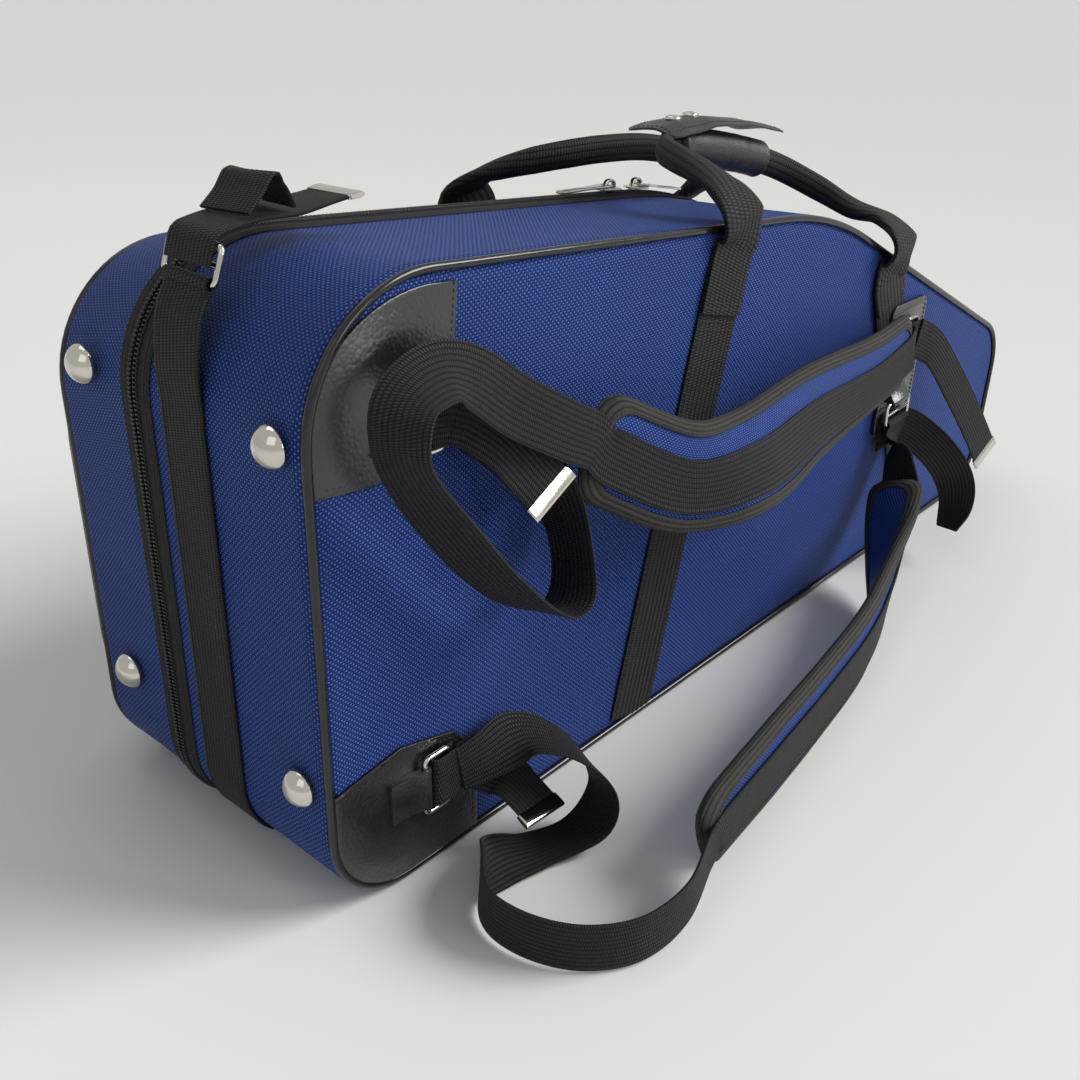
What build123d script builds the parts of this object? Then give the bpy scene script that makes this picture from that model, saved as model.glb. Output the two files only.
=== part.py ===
from build123d import *
import math
import os

# Shaped soft case for a tenor saxophone. X runs along the case with the bell end at -X, the back
# with the carrying straps faces -Y, the lid faces +Y, and the case stands on its spine at z = 0.

# Overall body
LENGTH = 825.0
BELL_HEIGHT = 353.7
TOP_FALL = 0.075
CREST_FROM_BELL = 454.6
NARROW_FALL = 0.441
BASE_DEPTH = 131.5
LID_DEPTH = 78.5
ZIP_DROP = 6.0
FRONT_DROP = 21.0
BELL_FOOT_RADIUS = 55.0
NARROW_FOOT_RADIUS = 50.0
NOSE_RADIUS = 55.0
CREST_RADIUS = 360.0
BELL_TOP_RADIUS = 75.0
WALL = 14.0

# Zip and spine hinge
TAPE = 1.2
TAPE_LAP = 6.0
RIM_SETBACK = 7.0
ZIP_GAP = 1.6
COIL_WIDTH = 2.8
COIL_HEIGHT = 2.4
ZIP_END_HEIGHT = 10.0
HINGE_STRIP = 1.6
HINGE_LAP = 16.0
HINGE_SLIT = 0.6
SLIDER_LENGTH = 22.0
SLIDER_WIDTH = 12.0
SLIDER_PLATE = 1.4
SLIDER_CLEARANCE = 0.6
LEFT_SLIDER_X = -35.0
RIGHT_SLIDER_TURN = 2.4
BAIL_RADIUS = 6.0
BAIL_WIRE = 1.6
PULL_LENGTH = 52.0
PULL_WIDTH = 9.0
PULL_THICKNESS = 1.6
PULL_BAR = 1.8
PULL_EYE = 5.6
PULL_LIFT = 1.5
PULL_TILT = 2.4
CREST_PULL_TILT = 4.0

# Piping, studs and bands
PIPING_RADIUS = 2.5
STUD_RADIUS = 11.0
STUD_HEIGHT = 11.0
STUD_NECK = 7.0
STUD_LIFT = 2.5
STUD_RIM = 1.0
STUD_INSET = 18.0
LID_STUD_INSET = 33.5
STUD_BELOW_CORNER = 2.7
STUD_BOTTOM = 86.0
BAND_WIDTH = 44.0
BAND = 1.8
BAND_A_FOOT = -153.5
BAND_A_LEAN = 0.237
BAND_B_FOOT = 267.5
BAND_B_LEAN = -0.474
BAND_TOP_MARGIN = 18.0

# Fitted lining
FIT = 0.4
INSERT_RECESS = 92.0
INSERT_RIM = 8.0
TUBE_CHANNEL_Z = 74.0
TUBE_CHANNEL_BOW = 52.0
TUBE_CHANNEL_NECK = 34.0
BOW_RADIUS = 104.0
BELL_CENTRE_Z = 232.0
BELL_RADIUS = 76.0
BELL_LENGTH = 300.0
BELL_FLARE = 60.0
BELL_AT_BOW = 0.75
BELL_THROAT = 0.8
BELL_LIP_FALL = 8.0
BOW_MARGIN = 22.0
TUBE_END_MARGIN = 40.0
RECESS_MARGIN = 6.0
DIVIDER = 22.0
DIVIDER_RISE = 46.0
DIVIDER_START = 40.0
DIVIDER_OVERRUN = 10.0
NECK_START = 36.0
NECK_END = 170.0
NECK_FOOT = 132.0
NECK_LOW_TOP = 178.0
NECK_HIGH_TOP = 232.0
NECK_RAISE = 25.0
NECK_CORNER = 14.0
LID_PAD = 10.0

# Pocket on the lid
POCKET_DEPTH = 29.0
POCKET_SIDE = 17.0
POCKET_INSET = 8.0
POCKET_CROWN_INSET = 24.0
POCKET_END = 48.0
POCKET_FOOT = 26.0
POCKET_LIP = 25.0
POCKET_WALL = 3.0
POCKET_TAPE = 6.5
POCKET_SLOT = 4.6
POCKET_SLIDER_X = -25.0
POCKET_SLIDER_WIDTH = 8.0
POCKET_FOOT_RADIUS = 56.0
POCKET_TOP_RADIUS = 88.0
POCKET_END_RADIUS = 36.0
POCKET_ZIP_END = 40.0
POCKET_ZIP_FOOT = 60.0

# Carrying straps and handle
STRAP_WIDTH = 32.0
STRAP = 2.0
PAD_WIDTH = 64.0
PAD = 12.0
PAD_EDGE = 5.0
END_STRAP_WIDTH = 36.0
END_STRAP_Y = -15.5
WIRE_RADIUS = 1.6
BAR_PITCH = 9.0
LOOP_WIDTH = 13.0
LOOP_HEIGHT = 19.0
GRIP_WIDTH = 25.0
GRIP_HEIGHT = 27.0
LEATHER = 1.8
FLAP_Y = -15.0
FLAP_Z = 372.0
FLAP_FALL = 0.08
FLAP_TILT = 4.6
FLAP_BACK = 15.0
FLAP_FRONT = 28.0
SNAP_RADIUS = 5.5
SNAP_HEIGHT = 2.0
SNAP_OFFSET = 6.0
SNAP_PLACES = (-14.0, 6.0)
SLIDE_LIFT = 3.9
HUNG_LIFT = 7.0
TAB_WIDTH = 26.0
TAB_LENGTH = 24.0
TAB_SLOPE = 12.0
STUB = 15.0
HEM = 12.0
END_STRAP_FOOT = 12.0
END_STRAP_OVER_CORNER = 5.3
BUCKLE_INSET = 14.0
BUCKLE_RISE = 60.0
BUCKLE_UP = (0.34, 0, 0.94)
BUCKLE_OUT = (-0.94, 0, 0.34)
PATCH_CORNER = 6.0
ANCHOR_CORNER = 8.0
TOP_SLIDE_X = -341.0
TOP_SLIDE_Z = 277.0
FOOT_SLIDE_X = -340.0
FOOT_SLIDE_Z = 60.0
LOWER_ROOT_Z = 121.0
LOWER_ROOT_BACK = 14.0
ANCHOR_X = 192.0
ANCHOR_Z = 172.0
UPPER_SLIDE_X = 189.0
UPPER_SLIDE_Z = 197.0
LOWER_SLIDE_X = 183.0
LOWER_SLIDE_Z = 140.0
ANCHOR_WIDTH = 60.0
ANCHOR_LENGTH = 112.0
LOWER_LEAN = 4.0
UPPER_LEAN = -8.9
TIP = 3.2
TIP_LENGTH = 8.0
BEAD_LIFT = 5.2
SEAT = 0.3
PART_GAP = 0.4

BELL_X = -LENGTH / 2
NARROW_X = LENGTH / 2
BACK_Y = -(BASE_DEPTH + LID_DEPTH) / 2
ZIP_Y = BACK_Y + BASE_DEPTH
FRONT_Y = ZIP_Y + LID_DEPTH
CREST_X = BELL_X + CREST_FROM_BELL
CREST_Z = BELL_HEIGHT - TOP_FALL * CREST_FROM_BELL
NARROW_HEIGHT = CREST_Z - NARROW_FALL * (LENGTH - CREST_FROM_BELL)
BASE_RIM = ZIP_Y - RIM_SETBACK
LID_RIM = ZIP_Y + RIM_SETBACK
ZIP_BACK = BASE_RIM - TAPE_LAP
ZIP_FRONT = LID_RIM + TAPE_LAP
SPINE_START = BELL_X + BELL_FOOT_RADIUS
SPINE_END = NARROW_X - NARROW_FOOT_RADIUS
STUD_TOP = BELL_HEIGHT - BELL_TOP_RADIUS - STUD_BELOW_CORNER
END_STRAP_TOP = BELL_HEIGHT - BELL_TOP_RADIUS + END_STRAP_OVER_CORNER

os.makedirs("parts", exist_ok=True)


def drop_at(y):
    """How far the top edge has fallen from the back edge's height on the plane y"""
    if y <= ZIP_BACK:
        return ZIP_DROP * (y - BACK_Y) / (ZIP_BACK - BACK_Y)
    if y <= ZIP_FRONT:
        return ZIP_DROP
    return ZIP_DROP + (FRONT_DROP - ZIP_DROP) * (y - ZIP_FRONT) / (FRONT_Y - ZIP_FRONT)


def top_at(x, y):
    """Height of the case's top line at x on the plane y, without its rounded crest"""
    if x <= CREST_X:
        return BELL_HEIGHT - TOP_FALL * (x - BELL_X) - drop_at(y)
    return CREST_Z - NARROW_FALL * (x - CREST_X) - drop_at(y)


def grown(points, grow):
    """Corners of a convex anticlockwise outline moved outwards by grow"""
    lines = []
    for (x0, z0), (x1, z1) in zip(points, points[1:] + points[:1]):
        run, rise = x1 - x0, z1 - z0
        length = math.hypot(run, rise)
        lines.append((x0 + grow * rise / length, z0 - grow * run / length, run, rise))
    moved = []
    for (ax, az, au, aw), (bx, bz, bu, bw) in zip(lines[-1:] + lines[:-1], lines):
        t = ((bx - ax) * bw - (bz - az) * bu) / (au * bw - aw * bu)
        moved.append((ax + t * au, az + t * aw))
    return moved


def outline(y, grow=0.0):
    """Closed side outline of the case on the plane y, grown or drawn in"""
    drop = drop_at(y)
    corners = [
        (BELL_X, 0),
        (NARROW_X, 0),
        (NARROW_X, NARROW_HEIGHT - drop),
        (CREST_X, CREST_Z - drop),
        (BELL_X, BELL_HEIGHT - drop),
    ]
    radii = [BELL_FOOT_RADIUS, NARROW_FOOT_RADIUS, NOSE_RADIUS, CREST_RADIUS, BELL_TOP_RADIUS]
    path = FilletPolyline(*grown(corners, grow), radius=[r + grow for r in radii], close=True)
    return Plane.XZ.offset(-y) * path


def slab(y0, y1, grow=0.0):
    """Solid that fills the case's outline between two planes"""
    planes = [y0] + [y for y in (ZIP_BACK, ZIP_FRONT) if y0 < y < y1] + [y1]
    return loft([make_face(outline(y, grow)) for y in planes], ruled=True)


def ring(y0, y1, inner, outer):
    """Band that follows the outside of the case between two planes"""
    return slab(y0, y1, outer) - slab(y0, y1, inner)


def box(x0, x1, y0, y1, z0, z1):
    """Box between corner coordinates"""
    size = (x1 - x0, y1 - y0, z1 - z0)
    return Pos((x0 + x1) / 2, (y0 + y1) / 2, (z0 + z1) / 2) * Box(*size)


def side_prism(points, y0, y1, radius=0.0):
    """Outline drawn in X and Z, extruded from y0 to y1"""
    face = make_face(Polyline(*points, close=True))
    if radius:
        face = fillet(face.vertices(), radius)
    return extrude(Plane.XZ.offset(-y0) * face, -(y1 - y0))


def framed(route):
    """Cross-section planes along a route of points with the outward normal at each"""
    points = [Vector(*point) for point, _ in route]
    ends = [points[0]] + points + [points[-1]]
    planes = []
    for (point, normal), before, after in zip(route, ends, ends[2:]):
        travel = (after - before).normalized()
        across = Vector(*normal).cross(travel).normalized()
        planes.append(Plane(origin=point, x_dir=across, z_dir=travel))
    return planes


def through(planes, sections):
    """Ruled loft through one section on each plane"""
    return loft([plane * section for plane, section in zip(planes, sections)], ruled=True)


def webbing(route, width=STRAP_WIDTH, thickness=STRAP):
    """Flat webbing along a route"""
    return through(framed(route), [Rectangle(width, thickness)] * len(route))


def crowned(width, thickness, edge):
    """Section of a pad that is thinner at its bound edges than in the middle"""
    half = width / 2
    upper = [(-half, edge / 2), (-half * 0.7, thickness * 0.46), (0, thickness / 2)]
    upper += [(half * 0.7, thickness * 0.46), (half, edge / 2)]
    lower = [(x, -y) for x, y in reversed(upper)]
    return make_face(Polyline(*upper, *lower, close=True))


def chamfered(width, height):
    """Eight-sided section of a rolled loop"""
    w, h = width / 2, height / 2
    c = min(w, h) * 0.58
    corners = [(-w, h - c), (-w + c, h), (w - c, h), (w, h - c)]
    corners += [(w, c - h), (w - c, -h), (c - w, -h), (-w, c - h)]
    return make_face(Polyline(*corners, close=True))


def beyond(origin, direction):
    """Half space ahead of a plane"""
    return Plane(origin=origin, z_dir=direction).location * Pos(0, 0, 1000) * Box(2000, 2000, 2000)


def save(shape, name):
    """Writes one sub-part"""
    export_step(shape, f"parts/{name}.step")


def band_top(foot, lean, y):
    """Centre of a band's top end on a flat side, where the handle's webbing goes on"""
    high = top_at(foot, y) - BAND_TOP_MARGIN
    for _ in range(8):
        high = top_at(foot + lean * high, y) - BAND_TOP_MARGIN
    return foot + lean * high, high


def handle_line(y):
    """The two points where a carrying loop leaves its bands, on the flat side y"""
    return band_top(BAND_A_FOOT, BAND_A_LEAN, y), band_top(BAND_B_FOOT, BAND_B_LEAN, y)


def band_strip(foot, lean, side, y0, y1):
    """Slanting webbing band on a flat side, from the spine up to the handle's line"""
    (ax, az), (bx, bz) = handle_line(side)
    slope = (bz - az) / (bx - ax)
    x, z = band_top(foot, lean, side)
    half = BAND_WIDTH / 2
    corners = [(foot - half, 0), (foot + half, 0)]
    corners += [(x + half, z + slope * half), (x - half, z - slope * half)]
    return side_prism(corners, y0, y1)


def pipe(y):
    """Piping bead along the edge of a flat side"""
    path = outline(y, -PIPING_RADIUS)
    wire = path.wire() if hasattr(path, "wire") else path
    return sweep(Plane(wire @ 0, z_dir=wire % 0) * Circle(PIPING_RADIUS), wire)


back_pipe = pipe(BACK_Y)
front_pipe = pipe(FRONT_Y)
save(back_pipe, "base_piping")
save(front_pipe, "lid_piping")


def spine_band(foot, y0, y1):
    """Stretch of a band that passes flush under the spine"""
    return box(foot - BAND_WIDTH / 2, foot + BAND_WIDTH / 2, y0, y1, 0, BAND)


def shells():
    """Padded base tray and lid tray, open towards each other"""
    base = slab(BACK_Y, BASE_RIM) - slab(BACK_Y + WALL, BASE_RIM, -WALL)
    lid = slab(LID_RIM, FRONT_Y) - slab(LID_RIM, FRONT_Y - WALL, -WALL)
    for foot in (BAND_A_FOOT, BAND_B_FOOT):
        base -= spine_band(foot, BACK_Y, BASE_RIM)
        lid -= spine_band(foot, LID_RIM, FRONT_Y)
    strip = (SPINE_START, SPINE_END)
    base -= box(*strip, ZIP_Y - HINGE_LAP, BASE_RIM, 0, BAND + HINGE_STRIP)
    lid -= box(*strip, LID_RIM, ZIP_Y + HINGE_LAP, 0, BAND + HINGE_STRIP)
    return base - back_pipe, lid - front_pipe


base_shell, lid_shell = shells()
save(base_shell, "base_shell")
save(lid_shell, "lid_shell")


def spine_strips():
    """The two leaves of the fabric hinge along the spine, cleared for the bands"""
    ends = (SPINE_START, SPINE_END)
    leaves = []
    near, far = ZIP_Y - HINGE_SLIT / 2, ZIP_Y + HINGE_SLIT / 2
    for y0, y1 in ((ZIP_Y - HINGE_LAP, near), (far, ZIP_Y + HINGE_LAP)):
        leaf = box(*ends, y0, y1, 0, BAND + HINGE_STRIP)
        for foot in (BAND_A_FOOT, BAND_B_FOOT):
            leaf -= spine_band(foot, y0, y1)
        leaves.append(leaf)
    return leaves


for name, leaf in zip(("spine_strip_base", "spine_strip_lid"), spine_strips()):
    save(leaf, name)


def bands():
    """Webbing bands round the case, each in a base half and a lid half"""
    result = {}
    for name, foot, lean in (("a", BAND_A_FOOT, BAND_A_LEAN), ("b", BAND_B_FOOT, BAND_B_LEAN)):
        back = band_strip(foot, lean, BACK_Y, BACK_Y - BAND, BACK_Y)
        back += spine_band(foot, BACK_Y - BAND, ZIP_Y - HINGE_SLIT / 2)
        front = band_strip(foot, lean, FRONT_Y, FRONT_Y, FRONT_Y + BAND)
        front += spine_band(foot, ZIP_Y + HINGE_SLIT / 2, FRONT_Y + BAND)
        result[f"band_{name}_base"] = back - back_pipe
        result[f"band_{name}_lid"] = front - front_pipe
    return result


for name, band in bands().items():
    save(band, name)


def zip_parts():
    """Zip tapes and coil rows, from one foot of the case round the top to the other"""
    foot = box(BELL_X - 20, NARROW_X + 20, BACK_Y, FRONT_Y, -20, ZIP_END_HEIGHT)
    near, far = ZIP_Y - ZIP_GAP / 2, ZIP_Y + ZIP_GAP / 2
    top = TAPE + COIL_HEIGHT
    save(ring(BASE_RIM - TAPE_LAP, near, 0, TAPE) - foot, "base_zip_tape")
    save(ring(far, LID_RIM + TAPE_LAP, 0, TAPE) - foot, "lid_zip_tape")
    save(ring(near - COIL_WIDTH, near, TAPE, top) - foot, "base_zip_coil")
    save(ring(far, far + COIL_WIDTH, TAPE, top) - foot, "lid_zip_coil")


zip_parts()


def slider(width=SLIDER_WIDTH):
    """Zip slider on the tape plane z = 0 with its nose along X, and its bail over the top plate"""
    over = TAPE + COIL_HEIGHT + SLIDER_CLEARANCE
    half = SLIDER_LENGTH / 2
    plate = make_face(
        FilletPolyline(
            (-half, 1.5 - width / 2),
            (half - 4, -width / 2),
            (half, 0),
            (half - 4, width / 2),
            (-half, width / 2 - 1.5),
            radius=1.5,
            close=True,
        )
    )
    top = Pos(0, 0, over) * extrude(plate, SLIDER_PLATE)
    under = Pos(0, 0, -SLIDER_CLEARANCE - SLIDER_PLATE) * extrude(plate, SLIDER_PLATE)
    height = over + SLIDER_CLEARANCE
    post = Pos(half - 5, 0, over - height / 2) * Box(5, ZIP_GAP / 2, height)
    arch = Circle(BAIL_RADIUS) - Circle(BAIL_RADIUS - BAIL_WIRE)
    arch = extrude(Plane.XZ * arch, BAIL_WIRE, both=True)
    arch &= Pos(0, 0, BAIL_RADIUS) * Box(4 * BAIL_RADIUS, 4 * BAIL_WIRE, 2 * BAIL_RADIUS)
    return top + under + post + Pos(0, 0, over + SLIDER_PLATE) * arch


def pull():
    """Zip pull along -X from the bar that lies in the slider's bail, at the origin"""
    half, waist = PULL_WIDTH / 2, PULL_WIDTH / 2 - 1
    profile = FilletPolyline(
        (PULL_BAR / 2, -half),
        (PULL_BAR / 2, half),
        (-PULL_EYE - 4, half),
        (-PULL_LENGTH * 0.4, waist - 0.6),
        (-PULL_LENGTH, waist),
        (-PULL_LENGTH, -waist),
        (-PULL_LENGTH * 0.4, 0.6 - waist),
        (-PULL_EYE - 4, -half),
        radius=1.5,
        close=True,
    )
    eye = Pos(-PULL_BAR / 2 - PULL_EYE / 2, 0) * Rectangle(PULL_EYE, 2 * BAIL_WIRE + 1)
    slot = Pos(-PULL_LENGTH * 0.82, 0) * SlotOverall(PULL_LENGTH * 0.22, waist)
    return Pos(0, 0, -PULL_THICKNESS / 2) * extrude(make_face(profile) - eye - slot, PULL_THICKNESS)


def zip_pair(name, seat, tilt, width=SLIDER_WIDTH):
    """A slider and its pull in place, with the pull's axis printed for the record"""
    bar_height = TAPE + COIL_HEIGHT + SLIDER_CLEARANCE + SLIDER_PLATE + PULL_LIFT
    pivot = seat * Pos(PULL_LIFT + 0.8 - BAIL_RADIUS + BAIL_WIRE, 0, bar_height)
    save(seat * slider(width), name[0])
    save(pivot * Rot(Y=-tilt) * pull(), name[1])
    print(name[1], "turns at", [round(v, 2) for v in pivot.position])


slope = math.degrees(math.atan(TOP_FALL))
narrow_slope = math.degrees(math.atan(NARROW_FALL))
crest_run = CREST_RADIUS * math.tan(math.radians((narrow_slope - slope) / 2))
crest_start = Pos(CREST_X, ZIP_Y, CREST_Z - ZIP_DROP) * Rot(Y=slope) * Pos(-crest_run, 0, 0)
crest_centre = (crest_start * Pos(0, 0, -CREST_RADIUS)).position
print("crest centre", round(crest_centre.X, 3), round(crest_centre.Z, 3))
left_seat = Pos(LEFT_SLIDER_X, ZIP_Y, top_at(LEFT_SLIDER_X, ZIP_Y)) * Rot(Y=slope)
right_seat = Pos(crest_centre.X, ZIP_Y, crest_centre.Z) * Rot(Y=slope + RIGHT_SLIDER_TURN)
right_seat = right_seat * Pos(0, 0, CREST_RADIUS) * Rot(Z=180)
zip_pair(("zip_slider_left", "zip_pull_left"), left_seat, PULL_TILT)
zip_pair(("zip_slider_right", "zip_pull_right"), right_seat, CREST_PULL_TILT)


def stud(y, z):
    """Domed foot stud on the bell end, on its narrower neck"""
    rim = STUD_LIFT + STUD_RIM
    rise = STUD_HEIGHT - rim
    ball = (STUD_RADIUS**2 + rise**2) / (2 * rise)
    turn = math.asin(STUD_RADIUS / ball) / 2
    middle = (ball * math.sin(turn), STUD_HEIGHT - ball + ball * math.cos(turn))
    top, under = (0, STUD_HEIGHT), (STUD_RADIUS, STUD_LIFT)
    edge = Polyline(top, (0, 0), (STUD_NECK, 0), (STUD_NECK, STUD_LIFT), under, (STUD_RADIUS, rim))
    edge += ThreePointArc((STUD_RADIUS, rim), middle, top)
    return Pos(BELL_X, y, z) * Rot(Y=-90) * revolve(Plane.XZ * make_face(edge), Axis.Z)


for name, y in (("base_studs", BACK_Y + STUD_INSET), ("lid_studs", FRONT_Y - LID_STUD_INSET)):
    save(Compound([stud(y, STUD_TOP), stud(y, STUD_BOTTOM)]), name)


def bell_recess(bow_x, bell_end, floor_y, face_y):
    """Recess for the bell, from the bow to the flared lip"""
    outline_points = [
        (bow_x, BELL_CENTRE_Z - BELL_RADIUS * BELL_AT_BOW),
        (bell_end - BELL_FLARE, BELL_CENTRE_Z - BELL_RADIUS * BELL_THROAT),
        (bell_end, BELL_CENTRE_Z - BELL_RADIUS),
        (bell_end, BELL_CENTRE_Z + BELL_RADIUS - BELL_LIP_FALL),
        (bow_x, BELL_CENTRE_Z + BELL_RADIUS),
    ]
    return side_prism(outline_points, floor_y, face_y)


def insert():
    """Fitted lining block of the base with the instrument's recess and the neck pocket"""
    face_y = BASE_RIM - INSERT_RIM
    block = slab(BACK_Y + WALL + FIT, face_y, -WALL - FIT)
    floor_y = face_y - INSERT_RECESS
    bow_x = BELL_X + WALL + BOW_RADIUS + BOW_MARGIN
    tube_end = NARROW_X - WALL - TUBE_END_MARGIN
    bell_end = bow_x + BELL_LENGTH
    tube_low = TUBE_CHANNEL_Z - TUBE_CHANNEL_BOW
    tube = [
        (bow_x, tube_low),
        (tube_end, TUBE_CHANNEL_Z - TUBE_CHANNEL_NECK),
        (tube_end, TUBE_CHANNEL_Z + TUBE_CHANNEL_NECK),
        (bow_x, TUBE_CHANNEL_Z + TUBE_CHANNEL_BOW),
    ]
    bow_z = (tube_low + BELL_CENTRE_Z + BELL_RADIUS) / 2
    low_end = (Align.CENTER, Align.CENTER, Align.MIN)
    bow = Rot(X=90) * Cylinder(bow_z - tube_low, INSERT_RECESS, align=low_end)
    divider_z = TUBE_CHANNEL_Z + DIVIDER_RISE
    divider_ends = (bow_x + DIVIDER_START, bell_end + DIVIDER_OVERRUN)
    divider = box(*divider_ends, floor_y, face_y, divider_z, divider_z + DIVIDER)
    left, right = bell_end + NECK_START, bell_end + NECK_END
    neck = [(left, NECK_FOOT), (right, NECK_FOOT), (right, NECK_LOW_TOP), (left, NECK_HIGH_TOP)]
    neck_pocket = side_prism(neck, floor_y + NECK_RAISE, face_y, NECK_CORNER)
    recess = side_prism(tube, floor_y, face_y) + Pos(bow_x, face_y, bow_z) * bow
    recess += bell_recess(bow_x, bell_end, floor_y, face_y)
    recess &= slab(floor_y, face_y, -WALL - FIT - RECESS_MARGIN)
    return block - (recess - divider) - neck_pocket


save(insert(), "base_insert")
pad_y = FRONT_Y - WALL - FIT
save(slab(pad_y - LID_PAD, pad_y, -WALL - FIT), "lid_pad")


def pocket_face(inset):
    """Side outline of the pocket, drawn in from the bell end and the top edge of the lid's front"""
    left, right, foot = BELL_X + inset, POCKET_END - inset, POCKET_FOOT + inset
    rise = top_at(left, FRONT_Y) - inset - POCKET_LIP
    end_rise = rise - TOP_FALL * (right - left)
    corners = ((left, foot), (right, foot), (right, end_rise), (left, rise))
    radii = [POCKET_FOOT_RADIUS, POCKET_END_RADIUS, POCKET_END_RADIUS, POCKET_TOP_RADIUS]
    return make_face(FilletPolyline(*corners, radius=[r - inset for r in radii], close=True))


def pocket_slab(y0, y1, inset0, inset1):
    """Solid between two outlines of the pocket"""
    return loft([Plane.XZ.offset(-y) * pocket_face(i) for y, i in ((y0, inset0), (y1, inset1))], ruled=True)


def pocket_row(y0, y1, low, high):
    """Row round the pocket's side wall between two planes, from low to high above the wall"""
    outer = pocket_slab(y0, y1, POCKET_INSET - high, POCKET_INSET - high)
    return outer - pocket_slab(y0, y1, POCKET_INSET - low, POCKET_INSET - low)


def pocket():
    """Raised pocket on the lid's front, with its zip along the bell end and the top edge"""
    zip_y = FRONT_Y + POCKET_SIDE / 2
    side_y = FRONT_Y + POCKET_SIDE
    top_y = FRONT_Y + POCKET_DEPTH
    inner, crown = POCKET_INSET + POCKET_WALL, POCKET_CROWN_INSET + POCKET_WALL
    shell = pocket_slab(FRONT_Y, side_y, POCKET_INSET, POCKET_INSET)
    shell += pocket_slab(side_y, top_y, POCKET_INSET, POCKET_CROWN_INSET)
    shell -= pocket_slab(FRONT_Y, side_y, inner, inner)
    shell -= pocket_slab(side_y, top_y - POCKET_WALL, inner, crown)
    for foot, lean in ((BAND_A_FOOT, BAND_A_LEAN), (BAND_B_FOOT, BAND_B_LEAN)):
        shell -= band_strip(foot, lean, FRONT_Y, FRONT_Y, FRONT_Y + BAND)
    zip_end, zip_foot = POCKET_END - POCKET_ZIP_END, POCKET_FOOT + POCKET_ZIP_FOOT
    reach = box(BELL_X, zip_end, FRONT_Y, top_y, zip_foot, BELL_HEIGHT)
    slot = pocket_slab(zip_y - POCKET_SLOT, zip_y + POCKET_SLOT, 0, 0)
    slot -= pocket_slab(zip_y - POCKET_SLOT, zip_y + POCKET_SLOT, inner, inner)
    save(shell - (slot & reach), "pocket_shell")

    near, far = zip_y - ZIP_GAP / 2, zip_y + ZIP_GAP / 2
    top = TAPE + COIL_HEIGHT
    tape = pocket_row(zip_y - POCKET_TAPE, near, 0, TAPE) + pocket_row(far, zip_y + POCKET_TAPE, 0, TAPE)
    save(tape & reach, "pocket_zip_tape")
    coil = pocket_row(near - COIL_WIDTH, near, TAPE, top) + pocket_row(far, far + COIL_WIDTH, TAPE, top)
    save(coil & reach, "pocket_zip_coil")
    slider_z = top_at(POCKET_SLIDER_X, FRONT_Y) - POCKET_INSET - POCKET_LIP
    seat = Pos(POCKET_SLIDER_X, zip_y, slider_z) * Rot(Y=slope) * Rot(Z=180)
    zip_pair(("pocket_slider", "pocket_pull"), seat, PULL_TILT, POCKET_SLIDER_WIDTH)


pocket()


def tri_glide(width=STRAP_WIDTH):
    """Wire slide in its own X-Y plane, its three bars along Y"""
    half = width / 2 + WIRE_RADIUS + 1
    corners = ((-BAR_PITCH, -half), (BAR_PITCH, -half), (BAR_PITCH, half), (-BAR_PITCH, half))
    path = FilletPolyline(*corners, radius=WIRE_RADIUS * 1.5, close=True)
    frame = sweep(Plane(path @ 0, z_dir=path % 0) * Circle(WIRE_RADIUS), path)
    return frame + Rot(X=90) * Cylinder(WIRE_RADIUS, 2 * half)


def glide_tab(width, length, lift, bar):
    """Stitched tab that holds a slide by one bar and runs down to the surface below it"""
    outer = WIRE_RADIUS + SEAT + LEATHER
    wedge = Polyline(
        (bar, outer),
        (bar - TAB_SLOPE, 2 * LEATHER - lift),
        (bar - length, 2 * LEATHER - lift),
        (bar - length, -lift),
        (bar, -lift),
        close=True,
    )
    face = make_face(wedge) + Pos(bar, 0) * Circle(outer) - Pos(bar, 0) * Circle(WIRE_RADIUS + SEAT)
    face &= Pos(bar, 500 - lift) * Rectangle(1000, 1000)
    return extrude(Plane.XZ * face, width / 2, both=True)


def folded_stub(front, back):
    """Webbing folded round a slide's middle bar, its two layers running on along X"""
    inner = WIRE_RADIUS + SEAT
    fold = Circle(inner + STRAP) - Circle(inner)
    fold &= Pos(-50, 0) * Rectangle(100, 100)
    fold += Pos(front / 2, inner + STRAP / 2) * Rectangle(front, STRAP)
    fold += Pos(back / 2, -inner - STRAP / 2) * Rectangle(back, STRAP)
    return extrude(Plane.XZ * fold, STRAP_WIDTH / 2, both=True)


def hem(bar, reach):
    """Sewn hem of webbing round a slide's bar, with its tongue away from the slide"""
    inner = WIRE_RADIUS + SEAT
    side = math.copysign(1, bar)
    face = Pos(bar, 0) * (Circle(inner + STRAP) - Circle(inner))
    tongue = reach - inner - STRAP / 2
    face += Pos(bar + side * (reach - tongue / 2), 0) * Rectangle(tongue, STRAP)
    return extrude(Plane.XZ * face, STRAP_WIDTH / 2, both=True)


def place(x, z, lift, turn):
    """Frame of a slide on the back face, lift clear of it, its X axis turned in the face"""
    across = (math.cos(math.radians(turn)), 0, math.sin(math.radians(turn)))
    return Plane(origin=(x, BACK_Y - lift, z), x_dir=across, z_dir=(0, -1, 0)).location


def back_plate(corners, radius, y0, y1):
    """Patch on the back face inside the piping, from an outline in X and Z"""
    face = make_face(Polyline(*corners, close=True))
    face = fillet(face.vertices(), radius)
    inside = make_face(outline(0, -2 * PIPING_RADIUS - SEAT))
    patch = extrude(Plane.XZ.offset(-y0) * face, y0 - y1)
    return patch & extrude(Pos(0, y1, 0) * inside, y1 - y0)


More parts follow.
